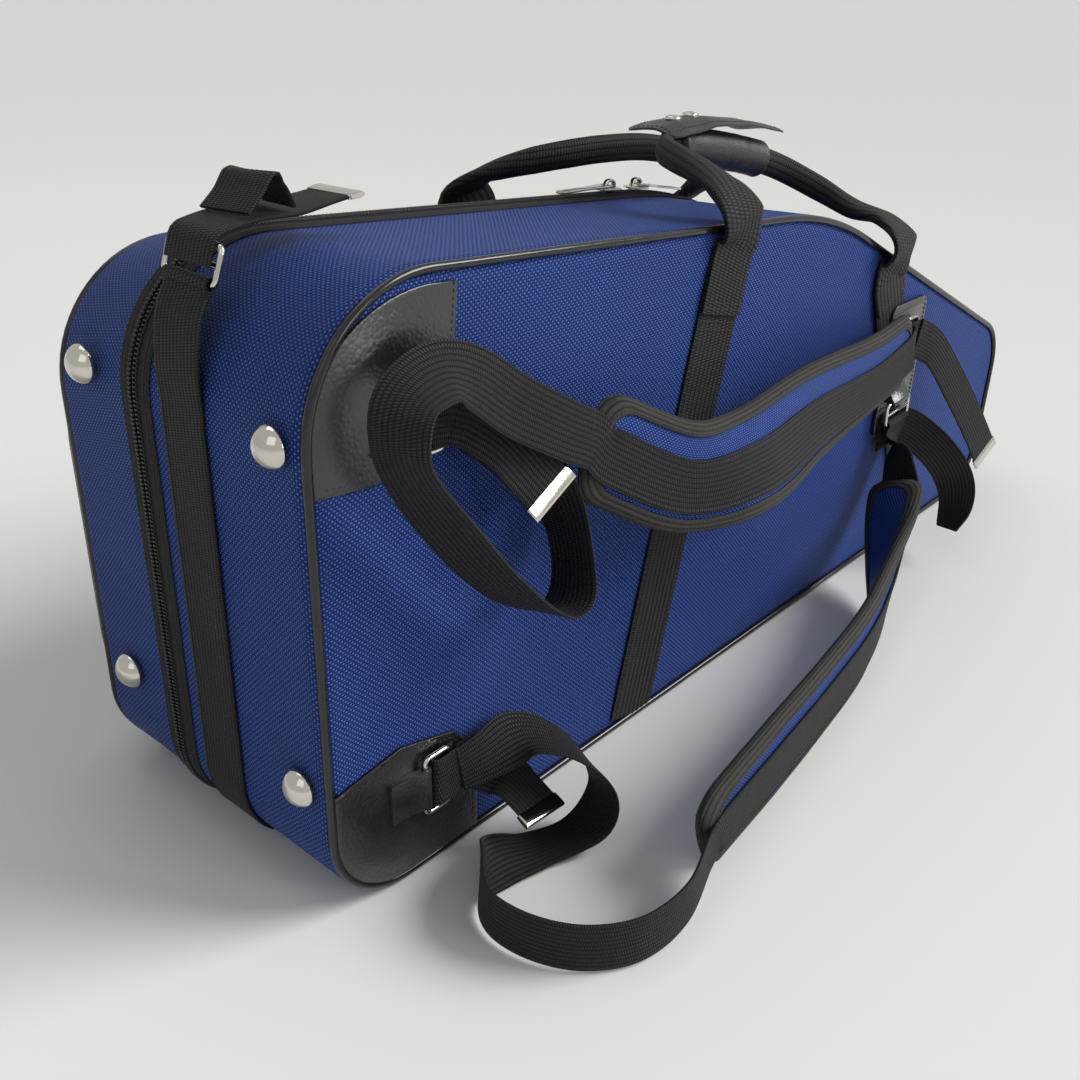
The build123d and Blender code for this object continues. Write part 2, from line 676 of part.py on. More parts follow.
top_patch = (
    (BELL_X, BELL_HEIGHT),
    (TOP_SLIDE_X + 25, BELL_HEIGHT),
    (TOP_SLIDE_X + 21, TOP_SLIDE_Z + 19),
    (TOP_SLIDE_X + 3, TOP_SLIDE_Z - 15),
    ((BELL_X + TOP_SLIDE_X) / 2 + 5, TOP_SLIDE_Z - 28),
    (BELL_X, TOP_SLIDE_Z - 23),
)
foot_patch = (
    (BELL_X, 0),
    (FOOT_SLIDE_X + 36, 0),
    (FOOT_SLIDE_X + 36, FOOT_SLIDE_Z),
    (FOOT_SLIDE_X + 18, FOOT_SLIDE_Z + 22),
    ((BELL_X + FOOT_SLIDE_X) / 2 + 14, FOOT_SLIDE_Z + 32),
    (BELL_X, FOOT_SLIDE_Z + 24),
)
save(back_plate(top_patch, PATCH_CORNER, BACK_Y - LEATHER, BACK_Y), "corner_patch_top")
save(back_plate(foot_patch, PATCH_CORNER, BACK_Y - LEATHER, BACK_Y), "corner_patch_foot")
anchor_face = BACK_Y - BAND - LEATHER
half, reach = ANCHOR_WIDTH / 2, ANCHOR_LENGTH / 2
anchor = ((ANCHOR_X - half, ANCHOR_Z - reach), (ANCHOR_X + half, ANCHOR_Z - reach + 10))
anchor += ((ANCHOR_X + half, ANCHOR_Z + reach), (ANCHOR_X - half, ANCHOR_Z + reach))
anchor = back_plate(anchor, ANCHOR_CORNER, anchor_face, BACK_Y)
save(anchor - band_strip(BAND_B_FOOT, BAND_B_LEAN, BACK_Y, BACK_Y - BAND, BACK_Y), "anchor_patch")

# Slides on the back face, and what holds each of them
patch_lift = LEATHER + SLIDE_LIFT
top_glide = place(TOP_SLIDE_X, TOP_SLIDE_Z, patch_lift, 0)
foot_glide = place(FOOT_SLIDE_X, FOOT_SLIDE_Z, patch_lift, 0)
upper_slide = place(UPPER_SLIDE_X, UPPER_SLIDE_Z, BAND + patch_lift, 0)
lower_slide = place(LOWER_SLIDE_X, LOWER_SLIDE_Z, BAND + LEATHER + HUNG_LIFT, LOWER_LEAN - 90)
save(Compound([top_glide * tri_glide(), foot_glide * tri_glide()]), "corner_slides")
save(Compound([upper_slide * tri_glide(), lower_slide * tri_glide()]), "anchor_slides")
corner_tab = glide_tab(TAB_WIDTH, TAB_LENGTH, SLIDE_LIFT, -BAR_PITCH)
save(Compound([top_glide * corner_tab, foot_glide * corner_tab]), "corner_tabs")
save(lower_slide * glide_tab(TAB_WIDTH, TAB_LENGTH, HUNG_LIFT, -BAR_PITCH), "anchor_tab")

upper_axis = Vector(math.cos(math.radians(UPPER_LEAN)), 0, math.sin(math.radians(UPPER_LEAN)))
lower_axis = Vector(math.cos(math.radians(LOWER_LEAN)), 0, math.sin(math.radians(LOWER_LEAN)))


def guard(lean, reach):
    """Space that a slide and its folded webbing keep, as far as reach along X"""
    deep = 2 * SLIDE_LIFT
    return Rot(Z=lean) * box(-2 * BAR_PITCH, reach, -STRAP_WIDTH, STRAP_WIDTH, -deep, deep)


def tip(route, width):
    """Crimped metal end over the last stretch of a webbing tail"""
    (before, _), (end, normal) = route[-2:]
    back = Vector(*end) - (Vector(*end) - Vector(*before)).normalized() * TIP_LENGTH
    plane = framed([(tuple(back), normal), (end, normal)])[1]
    block = Pos(0, 0, 0.6 - TIP_LENGTH / 2) * Box(width + 2, TIP, TIP_LENGTH + 1.2)
    return plane.location * block - webbing(route, width)


GLIDE_BACK = BACK_Y - LEATHER - STRAP / 2
GLIDE_FRONT = BACK_Y - LEATHER - SLIDE_LIFT - WIRE_RADIUS - SEAT - STRAP / 2

# Upper strap: from the top corner's slide round its loose loop, then over the pad to the anchor
upper_loop = [
    ((-331, GLIDE_BACK - SEAT, 278), (0, 1, 0)),
    ((-316, GLIDE_BACK - 3, 270), (0.1, 1, 0.1)),
    ((-298, -115, 255), (0.2, 0.95, 0.2)),
    ((-274, -119, 231), (0.35, 0.85, 0.4)),
    ((-257, -126, 201), (0.93, 0.2, 0.25)),
    ((-260, -137, 174), (0.95, -0.1, -0.3)),
    ((-275, -146, 160), (0.35, -0.15, -0.93)),
    ((-293, -143, 163), (-0.4, -0.25, -0.88)),
    ((-322, -139, 189), (-0.7, -0.4, -0.55)),
    ((-356, -137, 232), (-0.75, -0.45, -0.45)),
    ((-384, -142, 270), (-0.93, -0.3, -0.2)),
    ((-391, -145, 290), (-0.97, -0.25, 0.1)),
    ((-382, -141, 304), (-0.7, -0.4, 0.6)),
    ((-358, -137, 309), (-0.25, -0.65, 0.7)),
    ((-334, -134, 300), (-0.1, -0.9, 0.4)),
    ((-302, -133, 277), (0, -1, 0.1)),
    ((-266, -135, 255), (0, -1, 0.1)),
]
upper_pad = [
    ((-242, -129, 240), (0, -0.95, 0.2)),
    ((-230, -133, 233), (0, -1, 0.1)),
    ((-178, -151, 206), (0, -1, 0.1)),
    ((-118, -158, 200), (0, -0.89, 0.45)),
    ((-22, -144, 200), (-0.05, -0.95, 0.28)),
    ((84, -130, 195), (-0.1, -1, 0)),
    ((150, -123, 198), (0, -1, 0)),
    ((165, -121, 199), (0, -1, 0)),
]
upper_widths = (46, 60, 64, 64, 64, 64, 58, 42)
upper_tail = [
    ((-331, GLIDE_FRONT, 278), (0, -1, 0)),
    ((-316, GLIDE_FRONT - 3, 270), (0, -1, 0)),
    ((-300, -122, 256), (0, -1, 0)),
    ((-285, -129, 235), (0, -1, 0)),
    ((-277, -137, 221), (0, -1, 0)),
]

# Lower strap: from the foot corner's slide over an arch, flat on the ground, on its edge round to the pad
lower_loop = [
    ((-331, GLIDE_FRONT, 60), (0, -1, 0)),
    ((-310, -119, 64), (0, -1, 0.3)),
    ((-286, -126, 70), (0.1, -0.5, 0.85)),
    ((-270, -142, 64), (0.4, -0.25, 0.87)),
    ((-260, -156, 50), (0.75, -0.25, 0.6)),
    ((-256, -164, 33), (0.95, -0.3, 0.1)),
    ((-261, -163, 16), (0.8, -0.2, -0.55)),
    ((-275, -156, 5), (0.25, -0.2, -0.95)),
    ((-296, -147, 3), (0, 0, -1)),
    ((-324, -143, 10), (-0.25, 0.6, -0.75)),
    ((-346, -151, 17.5), (-0.61, 0.79, 0)),
    ((-361, -170, 17.5), (-0.98, 0.2, 0)),
    ((-360, -198, 17.5), (-0.97, -0.2, 0)),
    ((-346, -225, 17.5), (-0.8, -0.6, 0)),
    ((-320, -243, 17.5), (-0.3, -0.95, 0)),
    ((-284, -246, 19), (0.15, -0.98, 0)),
]
lower_pad = [
    ((-248, -229, 27), (0.2, -0.97, 0)),
    ((-234, -228, 31), (0.1, -1, 0)),
    ((-160, -220, 32.4), (0.05, -1, 0)),
    ((-80, -210, 32.4), (0.1, -1, 0)),
    ((0, -197, 32.4), (0.15, -1, 0)),
    ((70, -176, 34), (0.34, -0.87, -0.08)),
    ((118, -156, 45), (0.48, -0.64, -0.25)),
    ((152, -140, 64), (0.62, -0.4, -0.45)),
    ((172, -131, 84), (0.75, -0.15, -0.6)),
]
lower_widths = (40, 56, 64, 64, 64, 64, 62, 52, 38)
lower_tail = [
    ((-331, GLIDE_BACK - SEAT, 60), (0, -1, 0)),
    ((-312, GLIDE_BACK - 3, 57), (0, -1, 0.1)),
    ((-296, -118, 46), (0, -0.9, 0.3)),
    ((-292, -134, 36), (0.1, -0.4, 0.9)),
    ((-292, -150, 28), (0.1, -0.5, 0.85)),
]


def strap_parts(loop, pad_route, widths, ending):
    """A strap's pad and its webbing, which runs on along the pad's outer face to the anchor"""
    frames = framed(pad_route)
    pad = through(frames, [crowned(w, PAD, PAD_EDGE) for w in widths])
    flat = Rectangle(STRAP_WIDTH, STRAP)
    raised = Pos(0, PAD / 2 + SEAT + STRAP / 2) * flat
    planes = framed(loop + pad_route[:1])[:-1] + frames + framed(pad_route[-1:] + ending)[1:]
    return pad, through(planes, [flat] * len(loop) + [raised] * len(frames) + [flat] * len(ending))


upper_end = [((173, BACK_Y - 15, 198), (0.3, -1, 0)), ((175.5, BACK_Y - 8.5, 197), (0, -1, 0))]
upper_pad_solid, upper_band = strap_parts(upper_loop, upper_pad, upper_widths, upper_end)
lower_end = [
    ((181, -125, 102), (0.8, -0.5, -0.3)),
    ((183.8, -119, 112), (0.4, -0.9, -0.1)),
    ((184.4, -115.7, 121), (0, -1, 0)),
]
lower_pad_solid, lower_band = strap_parts(lower_loop, lower_pad, lower_widths, lower_end)
upper_keep = top_glide * guard(UPPER_LEAN, STUB)
lower_keep = foot_glide * guard(LOWER_LEAN, STUB)
upper_free = top_glide * guard(UPPER_LEAN, STUB + PART_GAP) + upper_slide * guard(UPPER_LEAN, 0)
lower_free = foot_glide * guard(LOWER_LEAN, STUB + PART_GAP)
corner_fold = folded_stub(2 * STUB, 2 * STUB)
corner_folds = [top_glide * corner_fold & upper_keep, foot_glide * corner_fold & lower_keep]
save(Compound(corner_folds), "corner_folds")
save(upper_slide * folded_stub(STUB, 2 * STUB), "anchor_fold")
save(upper_slide * hem(-BAR_PITCH, HEM) & upper_slide * guard(UPPER_LEAN, 100), "anchor_hem")
save(upper_pad_solid, "strap_pad_upper")
save(lower_pad_solid, "strap_pad_lower")
save(upper_band - upper_free, "strap_webbing_upper")
save(lower_band - lower_free + lower_slide * hem(BAR_PITCH, HEM), "strap_webbing_lower")
for name, route, free in (("upper", upper_tail, upper_free), ("lower", lower_tail, lower_free)):
    save(webbing(route) - free, f"strap_tail_{name}")
    save(tip(route, STRAP_WIDTH), f"strap_tip_{name}")

# Free ends of the anchor webbing at the narrow end of both straps
TAIL_X = UPPER_SLIDE_X + STUB + PART_GAP
upper_front = BACK_Y - BAND - LEATHER - SLIDE_LIFT - WIRE_RADIUS - SEAT - STRAP / 2
anchor_tail = [
    ((TAIL_X - 4, upper_front, UPPER_SLIDE_Z), (0, -1, 0)),
    ((219, -125, 184), (-0.1, -0.95, 0.1)),
    ((235, -142, 151), (-0.2, -0.9, 0.25)),
    ((251, -155, 120), (-0.2, -0.9, 0.3)),
    ((267, -166, 89), (-0.2, -0.9, 0.3)),
]
save(webbing(anchor_tail) - upper_slide * guard(0, STUB + PART_GAP), "anchor_tail_upper")
save(tip(anchor_tail, STRAP_WIDTH), "anchor_tip_upper")
root_y = BACK_Y - BAND - LEATHER - STRAP / 2
root_x = LOWER_SLIDE_X - LOWER_ROOT_BACK
root_ends = (LOWER_ROOT_Z - STRAP_WIDTH / 2, LOWER_ROOT_Z + STRAP_WIDTH / 2)
root = box(root_x, TAIL_X - PART_GAP, root_y - STRAP / 2, root_y + STRAP / 2, *root_ends)
save(root, "anchor_root_lower")
lower_anchor_tail = [
    ((TAIL_X - 4, root_y - 1, LOWER_ROOT_Z), (0, -1, 0)),
    ((217, -121, 112), (-0.3, -0.9, 0)),
    ((230, -139, 94), (-0.6, -0.75, 0.1)),
    ((239, -153, 72), (-0.8, -0.5, 0.2)),
    ((239, -159, 50), (-0.9, -0.3, -0.1)),
    ((229, -159, 29), (-0.8, -0.3, -0.5)),
]
tail_root = box(0, TAIL_X, BACK_Y - 20, BACK_Y, 80, 160)
save(webbing(lower_anchor_tail) - tail_root, "anchor_tail_lower")


def end_strap():
    """Strap up the bell end to its wire buckle, whose free end lies over the top"""
    y0, y1 = END_STRAP_Y - END_STRAP_WIDTH / 2, END_STRAP_Y + END_STRAP_WIDTH / 2
    sewn = ring(y0, y1, 0, STRAP)
    sewn &= box(BELL_X - 5, BELL_X + 40, y0, y1, END_STRAP_FOOT, END_STRAP_TOP)
    face_x = BELL_X - STRAP / 2
    free = [
        ((face_x, END_STRAP_Y, END_STRAP_TOP), (-1, 0, 0)),
        ((face_x, END_STRAP_Y, END_STRAP_TOP + 12), (-1, 0, 0)),
        ((face_x + 4, END_STRAP_Y, END_STRAP_TOP + 36), (-0.95, 0, 0.25)),
    ]
    middle = (BELL_X + BUCKLE_INSET, END_STRAP_Y, END_STRAP_TOP + BUCKLE_RISE)
    seat = Plane(origin=middle, x_dir=BUCKLE_UP, z_dir=BUCKLE_OUT)
    lower_bar = seat.location * Pos(-BAR_PITCH, 0, 0)
    hem_edge = lower_bar * Pos(-WIRE_RADIUS - SEAT - STRAP / 2, 0, 0)
    free.append((tuple(hem_edge.position), BUCKLE_OUT))
    inner = WIRE_RADIUS + SEAT
    hem_ring = extrude(Plane.XZ * (Circle(inner + STRAP) - Circle(inner)), END_STRAP_WIDTH / 2, both=True)
    bore = extrude(Plane.XZ * Circle(inner), END_STRAP_WIDTH, both=True)
    save(sewn + (webbing(free, END_STRAP_WIDTH) - lower_bar * bore) + lower_bar * hem_ring, "end_strap")
    save(seat.location * tri_glide(END_STRAP_WIDTH), "end_buckle")
    over = WIRE_RADIUS + SEAT + STRAP / 2
    crossing = [
        (-BAR_PITCH * 0.2, over, (-0.94, 0, 0.7)),
        (BAR_PITCH, over, (-0.94, 0, 0.7)),
        (BAR_PITCH + 2.4, over * 0.8, (-0.54, 0, 0.7)),
        (BAR_PITCH + 4, 1, (-0.54, 0, 0.7)),
    ]
    route = [(tuple((seat.location * Pos(x, 0, z)).position), normal) for x, z, normal in crossing]
    save(webbing(route, END_STRAP_WIDTH), "end_strap_crossing")
    return route[-1][0]


start = Vector(*end_strap())
print("end tail turns at", [round(v, 2) for v in start])


def from_start(stations):
    """Stations of the end strap's tail, given from where it leaves the buckle"""
    return [(tuple(start + Vector(*point)), normal) for point, normal in stations]


end_tail = from_start(
    [
        ((2.1, 0, 0.9), (0, 0, 1)),
        ((25, 2.5, 3.4), (0, 0, 1)),
        ((50, 4.5, 2.4), (0.05, 0, 1)),
        ((73, 4.5, 4.4), (0, 0.05, 1)),
        ((89, 3.5, 6.4), (0, 0.05, 1)),
    ]
)
end_fold = from_start(
    [
        ((18, 2.5, 6), (-0.5, 0, 0.85)),
        ((27, 3.5, 13.4), (-0.7, 0, 0.7)),
        ((35, 4.5, 21.4), (-0.5, 0, 0.85)),
        ((42, 5.5, 17.4), (0.85, 0, 0.4)),
        ((48, 5.5, 5.8), (0.7, 0, 0.6)),
    ]
)
save(webbing(end_tail, END_STRAP_WIDTH), "end_tail")
save(webbing(end_fold, END_STRAP_WIDTH), "end_tail_fold")
save(tip(end_tail, END_STRAP_WIDTH), "end_tail_tip")


def carrying_loop(name, side, out, middle, sizes):
    """Webbing carried up from both bands on a flat side and rolled round a core between them"""
    (ax, az), (bx, bz) = handle_line(side)
    slope = (bz - az) / (bx - ax)
    face = side + out * BAND / 2
    flat = (BAND_WIDTH, BAND)
    line = math.atan(slope)
    up = Vector(-math.sin(line), 0, math.cos(line))
    roots = []
    for x, z in ((ax, az), (bx, bz)):
        low = Vector(x, face, z) - up * 8
        high = Vector(x, side + out * BEAD_LIFT, z) + up * 5
        roots.append([(tuple(low), (0, out, 0)), (tuple(high), (0, out, 0))])
    planes = framed(roots[0] + middle + roots[1][::-1])
    sections = [flat, (BAND_WIDTH - 2, 3)] + sizes + [(BAND_WIDTH - 2, 3), flat]
    loop = through(planes, [chamfered(*size) for size in sections])
    under = Pos(ax, face, az + PART_GAP) * Rot(Y=-math.degrees(line)) * Pos(150, 0, -50) * Box(600, 30, 100)
    print(name, "turns about", [round(v, 2) for v in (ax, side + out * BAND, az, bx, bz)])
    return loop - under, planes


rolled = (LOOP_WIDTH, LOOP_HEIGHT)
near_middle = [
    ((-80, -112, 335), (0, -0.85, 0.5)),
    ((-79, -98, 347), (0, -0.5, 0.87)),
    ((-75, -78, 353), (0, -0.2, 1)),
    ((-66, -52, 357), (0, 0, 1)),
    ((-50, -30, 358), (0, 0, 1)),
    ((-22, -16, 356.5), (0, 0, 1)),
    ((12, -15, 352), (0, 0, 1)),
    ((51, -15, 345), (0.1, 0, 1)),
    ((88, -16, 336.5), (0.2, 0, 1)),
    ((116, -22, 327), (0.3, 0, 1)),
    ((136, -44, 313), (0.3, -0.1, 0.9)),
    ((144, -70, 301), (0.1, -0.4, 0.9)),
    ((146, -96, 297), (0.15, -0.6, 0.8)),
    ((147, -115, 284), (0.1, -0.9, 0.4)),
]
near_sizes = [(34, 8), (22, 14)] + [rolled] * 10 + [(22, 14), (34, 8)]
near_loop, near_planes = carrying_loop("handle_loop_near", BACK_Y, -1, near_middle, near_sizes)
save(near_loop, "handle_loop_near")
far_middle = [
    ((-94, 112, 316), (0, 0.85, 0.5)),
    ((-92, 99, 328), (0, 0.5, 0.87)),
    ((-87, 82, 336), (0, 0.2, 1)),
    ((-74, 62, 343), (0, 0, 1)),
    ((-54, 48, 347), (0, 0, 1)),
    ((-26, 42, 348), (0, 0, 1)),
    ((20, 41, 345), (0, 0, 1)),
    ((70, 41, 336), (0.1, 0, 1)),
    ((112, 43, 325), (0.2, 0, 1)),
    ((136, 54, 313), (0.3, 0.1, 0.9)),
    ((151, 74, 300), (0.2, 0.3, 0.9)),
    ((158, 94, 285), (0, 0.6, 0.8)),
    ((161, 114, 270), (0.1, 0.9, 0.4)),
]
far_sizes = [(34, 8), (22, 14)] + [rolled] * 9 + [(22, 14), (34, 8)]
far_loop, _ = carrying_loop("handle_loop_far", FRONT_Y, 1, far_middle, far_sizes)
save(far_loop, "handle_loop_far")

# Leather grip round the near loop, and the flap that closes over it
grip_planes = near_planes[7:11]
bore = (LOOP_WIDTH + 2 * SEAT, LOOP_HEIGHT + 2 * SEAT)
grip = through(grip_planes, [chamfered(GRIP_WIDTH, GRIP_HEIGHT)] * len(grip_planes))
grip -= through(grip_planes, [chamfered(*bore)] * len(grip_planes))
save(grip, "grip_roll")


def arched():
    """Section of the flap, its crown at the origin and its longer side to the lid"""
    back, front = FLAP_BACK, FLAP_FRONT
    upper = [(-back, -3), (-back / 2, -0.6), (0, 0), (front / 2, -1.2), (front, -5)]
    lower = [(y, z - LEATHER) for y, z in reversed(upper)]
    return make_face(Polyline(*upper, *lower, close=True))


flap_route = ((-42, FLAP_Z + 2), (0, FLAP_Z), (50, FLAP_Z - 5), (96, FLAP_Z - 10), (104, FLAP_Z - 13))
flap_planes = [Plane(origin=(x, FLAP_Y, z), x_dir=(0, 1, 0), z_dir=(1, 0, 0)) for x, z in flap_route]
save(through(flap_planes, [arched()] * len(flap_planes)), "grip_flap")
snap = Rot(Y=FLAP_TILT) * Cylinder(SNAP_RADIUS, SNAP_HEIGHT, align=(Align.CENTER, Align.CENTER, Align.MIN))
snaps = [Pos(x, FLAP_Y + SNAP_OFFSET, FLAP_Z - FLAP_FALL * x) * snap for x in SNAP_PLACES]
save(Compound(snaps), "flap_snaps")
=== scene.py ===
"""Looks for a shaped soft tenor saxophone case with padded carrying straps.

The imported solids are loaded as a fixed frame. Each sub-assembly of the real case is a class
that makes its pieces in their place, dresses them and puts them on the right moving body.
Sizes of the pieces are written in millimetres and turned into metres where a mesh is made.
"""

from __future__ import annotations

import logging
import math
from dataclasses import dataclass, field
from enum import Enum
from typing import Iterable, Sequence

import bmesh
import bpy
import numpy as np
from mathutils import Matrix, Vector, noise

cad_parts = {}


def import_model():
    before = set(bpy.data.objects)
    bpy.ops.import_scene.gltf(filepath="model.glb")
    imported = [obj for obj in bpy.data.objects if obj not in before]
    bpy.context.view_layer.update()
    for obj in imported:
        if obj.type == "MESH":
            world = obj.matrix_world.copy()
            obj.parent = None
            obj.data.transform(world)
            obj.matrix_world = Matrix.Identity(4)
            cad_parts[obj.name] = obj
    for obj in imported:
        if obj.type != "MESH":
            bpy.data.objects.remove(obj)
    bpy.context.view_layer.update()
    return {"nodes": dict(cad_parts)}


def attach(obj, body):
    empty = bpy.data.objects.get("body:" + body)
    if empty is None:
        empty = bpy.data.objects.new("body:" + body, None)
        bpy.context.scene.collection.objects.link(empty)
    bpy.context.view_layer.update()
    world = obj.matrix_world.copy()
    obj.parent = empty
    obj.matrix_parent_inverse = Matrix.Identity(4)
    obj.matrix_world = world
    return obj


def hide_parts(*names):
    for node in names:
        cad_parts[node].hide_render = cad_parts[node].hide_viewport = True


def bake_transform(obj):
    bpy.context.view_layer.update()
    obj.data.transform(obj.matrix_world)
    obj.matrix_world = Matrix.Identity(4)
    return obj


LOG = logging.getLogger("saxophone_case")
MM = 0.001

Point = tuple[float, float, float]
Station = tuple[Point, Point]


class Slot(Enum):
    """Material slots of the record."""

    SHELL = "shell_fabric"
    PAD = "pad_fabric"
    LINING = "lining"
    PIPING = "piping"
    TAPE = "zip_tape"
    COIL = "zip_coil"
    NICKEL = "nickel"
    WEBBING = "webbing"
    LEATHER = "leather"


class Body(Enum):
    """Moving bodies of the case."""

    BASE = "base"
    LID = "lid"
    SLIDER_LEFT = "slider_left"
    PULL_LEFT = "pull_left"
    SLIDER_RIGHT = "slider_right"
    PULL_RIGHT = "pull_right"
    SLIDER_POCKET = "slider_pocket"
    PULL_POCKET = "pull_pocket"
    HANDLE_NEAR = "handle_near"
    FLAP = "flap"
    HANDLE_FAR = "handle_far"
    STRAP_UPPER = "strap_upper"
    STRAP_LOWER = "strap_lower"
    TAIL_UPPER = "tail_upper"
    TAIL_LOWER = "tail_lower"
    TAIL_END = "tail_end"


class Shader:
    """Short way to write a material's nodes."""

    def __init__(self, name: str) -> None:
        """Starts a material with an empty node tree.

        Args:
            name: The material's name.
        """
        self.material = bpy.data.materials.new(name)
        self.material.use_nodes = True
        self.tree = self.material.node_tree
        self.tree.nodes.clear()
        self.output = self.tree.nodes.new("ShaderNodeOutputMaterial")
        self.bsdf = self.tree.nodes.new("ShaderNodeBsdfPrincipled")
        self.tree.links.new(self.bsdf.outputs["BSDF"], self.output.inputs["Surface"])

    def set(self, **values: float | Sequence[float]) -> None:
        """Sets the surface shader's own sockets, with underscores for the spaces in their names."""
        for name, value in values.items():
            self.bsdf.inputs[name.replace("_", " ")].default_value = value

    def feed(self, socket: bpy.types.NodeSocket, value: object) -> None:
        """Links a socket to another, or gives it a number or colour.

        Args:
            socket: The socket that takes the value.
            value: A socket, number or colour, or None to leave it as it is.
        """
        if isinstance(value, bpy.types.NodeSocket):
            self.tree.links.new(value, socket)
        elif value is not None:
            socket.default_value = value

    def math(self, operation: str, a: object, b: object = None, c: object = None) -> bpy.types.NodeSocket:
        """One Math node.

        Args:
            operation: Name of the operation.
            a: First number or socket.
            b: Second number or socket.
            c: Third number or socket.

        Returns:
            The node's result.
        """
        node = self.tree.nodes.new("ShaderNodeMath")
        node.operation = operation
        for socket, value in zip(node.inputs, (a, b, c)):
            self.feed(socket, value)
        return node.outputs[0]

    def blend(self, share: object, low: object, high: object) -> bpy.types.NodeSocket:
        """A colour between two colours.

        Args:
            share: How much of the second colour.
            low: Colour at 0.
            high: Colour at 1.

        Returns:
            The mixed colour.
        """
        node = self.tree.nodes.new("ShaderNodeMix")
        node.data_type = "RGBA"
        for socket, value in zip((node.inputs[0], node.inputs[6], node.inputs[7]), (share, low, high)):
            self.feed(socket, value)
        return node.outputs[2]

    def cloth(self) -> tuple[bpy.types.NodeSocket, bpy.types.NodeSocket]:
        """Reads the piece's own cloth coordinates.

        Returns:
            Distance along and across, in metres.
        """
        uv = self.tree.nodes.new("ShaderNodeUVMap")
        uv.uv_map = "cloth"
        split = self.tree.nodes.new("ShaderNodeSeparateXYZ")
        self.feed(split.inputs[0], uv.outputs[0])
        return split.outputs[0], split.outputs[1]

    def place(self) -> bpy.types.NodeSocket:
        """The piece's Object coordinates."""
        return self.tree.nodes.new("ShaderNodeTexCoord").outputs["Object"]

    def noise(self, scale: float, detail: float = 2.0, where: object = None) -> bpy.types.NodeSocket:
        """Noise value.

        Args:
            scale: Cells per metre.
            detail: Octaves.
            where: Coordinates, or the Object coordinates when left out.

        Returns:
            The value from 0 to 1.
        """
        node = self.tree.nodes.new("ShaderNodeTexNoise")
        node.inputs["Scale"].default_value = scale
        node.inputs["Detail"].default_value = detail
        self.feed(node.inputs["Vector"], where or self.place())
        return node.outputs["Fac"]

    def pebbles(self, scale: float, smooth: float = 0.6) -> bpy.types.NodeSocket:
        """Distance inside rounded cells on Object coordinates.

        Args:
            scale: Cells per metre.
            smooth: How rounded the cells are.

        Returns:
            The distance.
        """
        node = self.tree.nodes.new("ShaderNodeTexVoronoi")
        node.feature = "SMOOTH_F1"
        node.inputs["Scale"].default_value = scale
        node.inputs["Smoothness"].default_value = smooth
        self.feed(node.inputs["Vector"], self.place())
        return node.outputs["Distance"]

    def bump(self, height: object, distance: float, strength: float = 1.0) -> None:
        """Raises the surface shader's normal by a height.

        Args:
            height: Height socket from 0 to 1.
            distance: Height in metres.
            strength: Share of the effect.
        """
        node = self.tree.nodes.new("ShaderNodeBump")
        node.inputs["Distance"].default_value = distance
        node.inputs["Strength"].default_value = strength
        self.feed(node.inputs["Height"], height)
        self.feed(self.bsdf.inputs["Normal"], node.outputs[0])

    def colour(self, value: object) -> None:
        """Gives the surface its base colour."""
        self.feed(self.bsdf.inputs["Base Color"], value)

    def roughness(self, value: object) -> None:
        """Gives the surface its roughness."""
        self.feed(self.bsdf.inputs["Roughness"], value)


@dataclass(frozen=True)
class WovenCloth:
    """Plain-woven heavy cloth: round threads that pass over and under each other."""

    name: str
    thread: float
    # The first colour is painted shade between the threads; the second is the thread's own blue with painted
    # highlight on its crowns.
    gap_shade_colour: tuple[float, float, float, float]
    thread_and_highlight_colour: tuple[float, float, float, float]
    roughness: float = 0.5
    relief: float = 0.0005
    sheen: float = 0.015

    def build(self) -> bpy.types.Material:
        """Makes the material.

        Returns:
            The material.
        """
        s = Shader(self.name)
        u, v = s.cloth()
        u = s.math("DIVIDE", u, self.thread)
        v = s.math("DIVIDE", v, self.thread)
        parity = s.math("FLOORED_MODULO", s.math("ADD", s.math("FLOOR", u), s.math("FLOOR", v)), 2.0)
        over_u = s.math("SINE", s.math("MULTIPLY", s.math("FRACT", u), math.pi))
        over_v = s.math("SINE", s.math("MULTIPLY", s.math("FRACT", v), math.pi))
        warp = s.math("MULTIPLY", s.math("POWER", over_v, 0.6), s.math("MULTIPLY_ADD", over_u, 0.55, 0.45))
        weft = s.math("MULTIPLY", s.math("POWER", over_u, 0.6), s.math("MULTIPLY_ADD", over_v, 0.55, 0.3))
        step = s.math("SUBTRACT", weft, warp)
        height = s.math("MULTIPLY_ADD", step, parity, warp)
        worn = s.noise(7.0, 3.0)
        fleck = s.noise(420.0, 1.0)
        # Colour follows the thread height: painted highlight on the crowns and painted shade in the gaps.
        # Cells where the weft lies on top are darker by painted shade. Fleck and worn are random tone.
        shaded = s.math("MULTIPLY_ADD", parity, -0.62, 1.0)
        share = s.math("MULTIPLY", s.math("POWER", height, 1.5), shaded)
        share = s.math("MULTIPLY", share, s.math("MULTIPLY_ADD", fleck, 0.6, 0.75))
        share = s.math("MULTIPLY", share, s.math("MULTIPLY_ADD", worn, 0.3, 0.9))
        s.colour(s.blend(share, self.gap_shade_colour, self.thread_and_highlight_colour))
        s.roughness(s.math("MULTIPLY_ADD", fleck, 0.2, self.roughness - 0.1))
        s.set(Sheen_Weight=self.sheen, Sheen_Roughness=0.5, Specular_IOR_Level=0.1)
        s.bump(height, self.relief, 0.9)
        return s.material


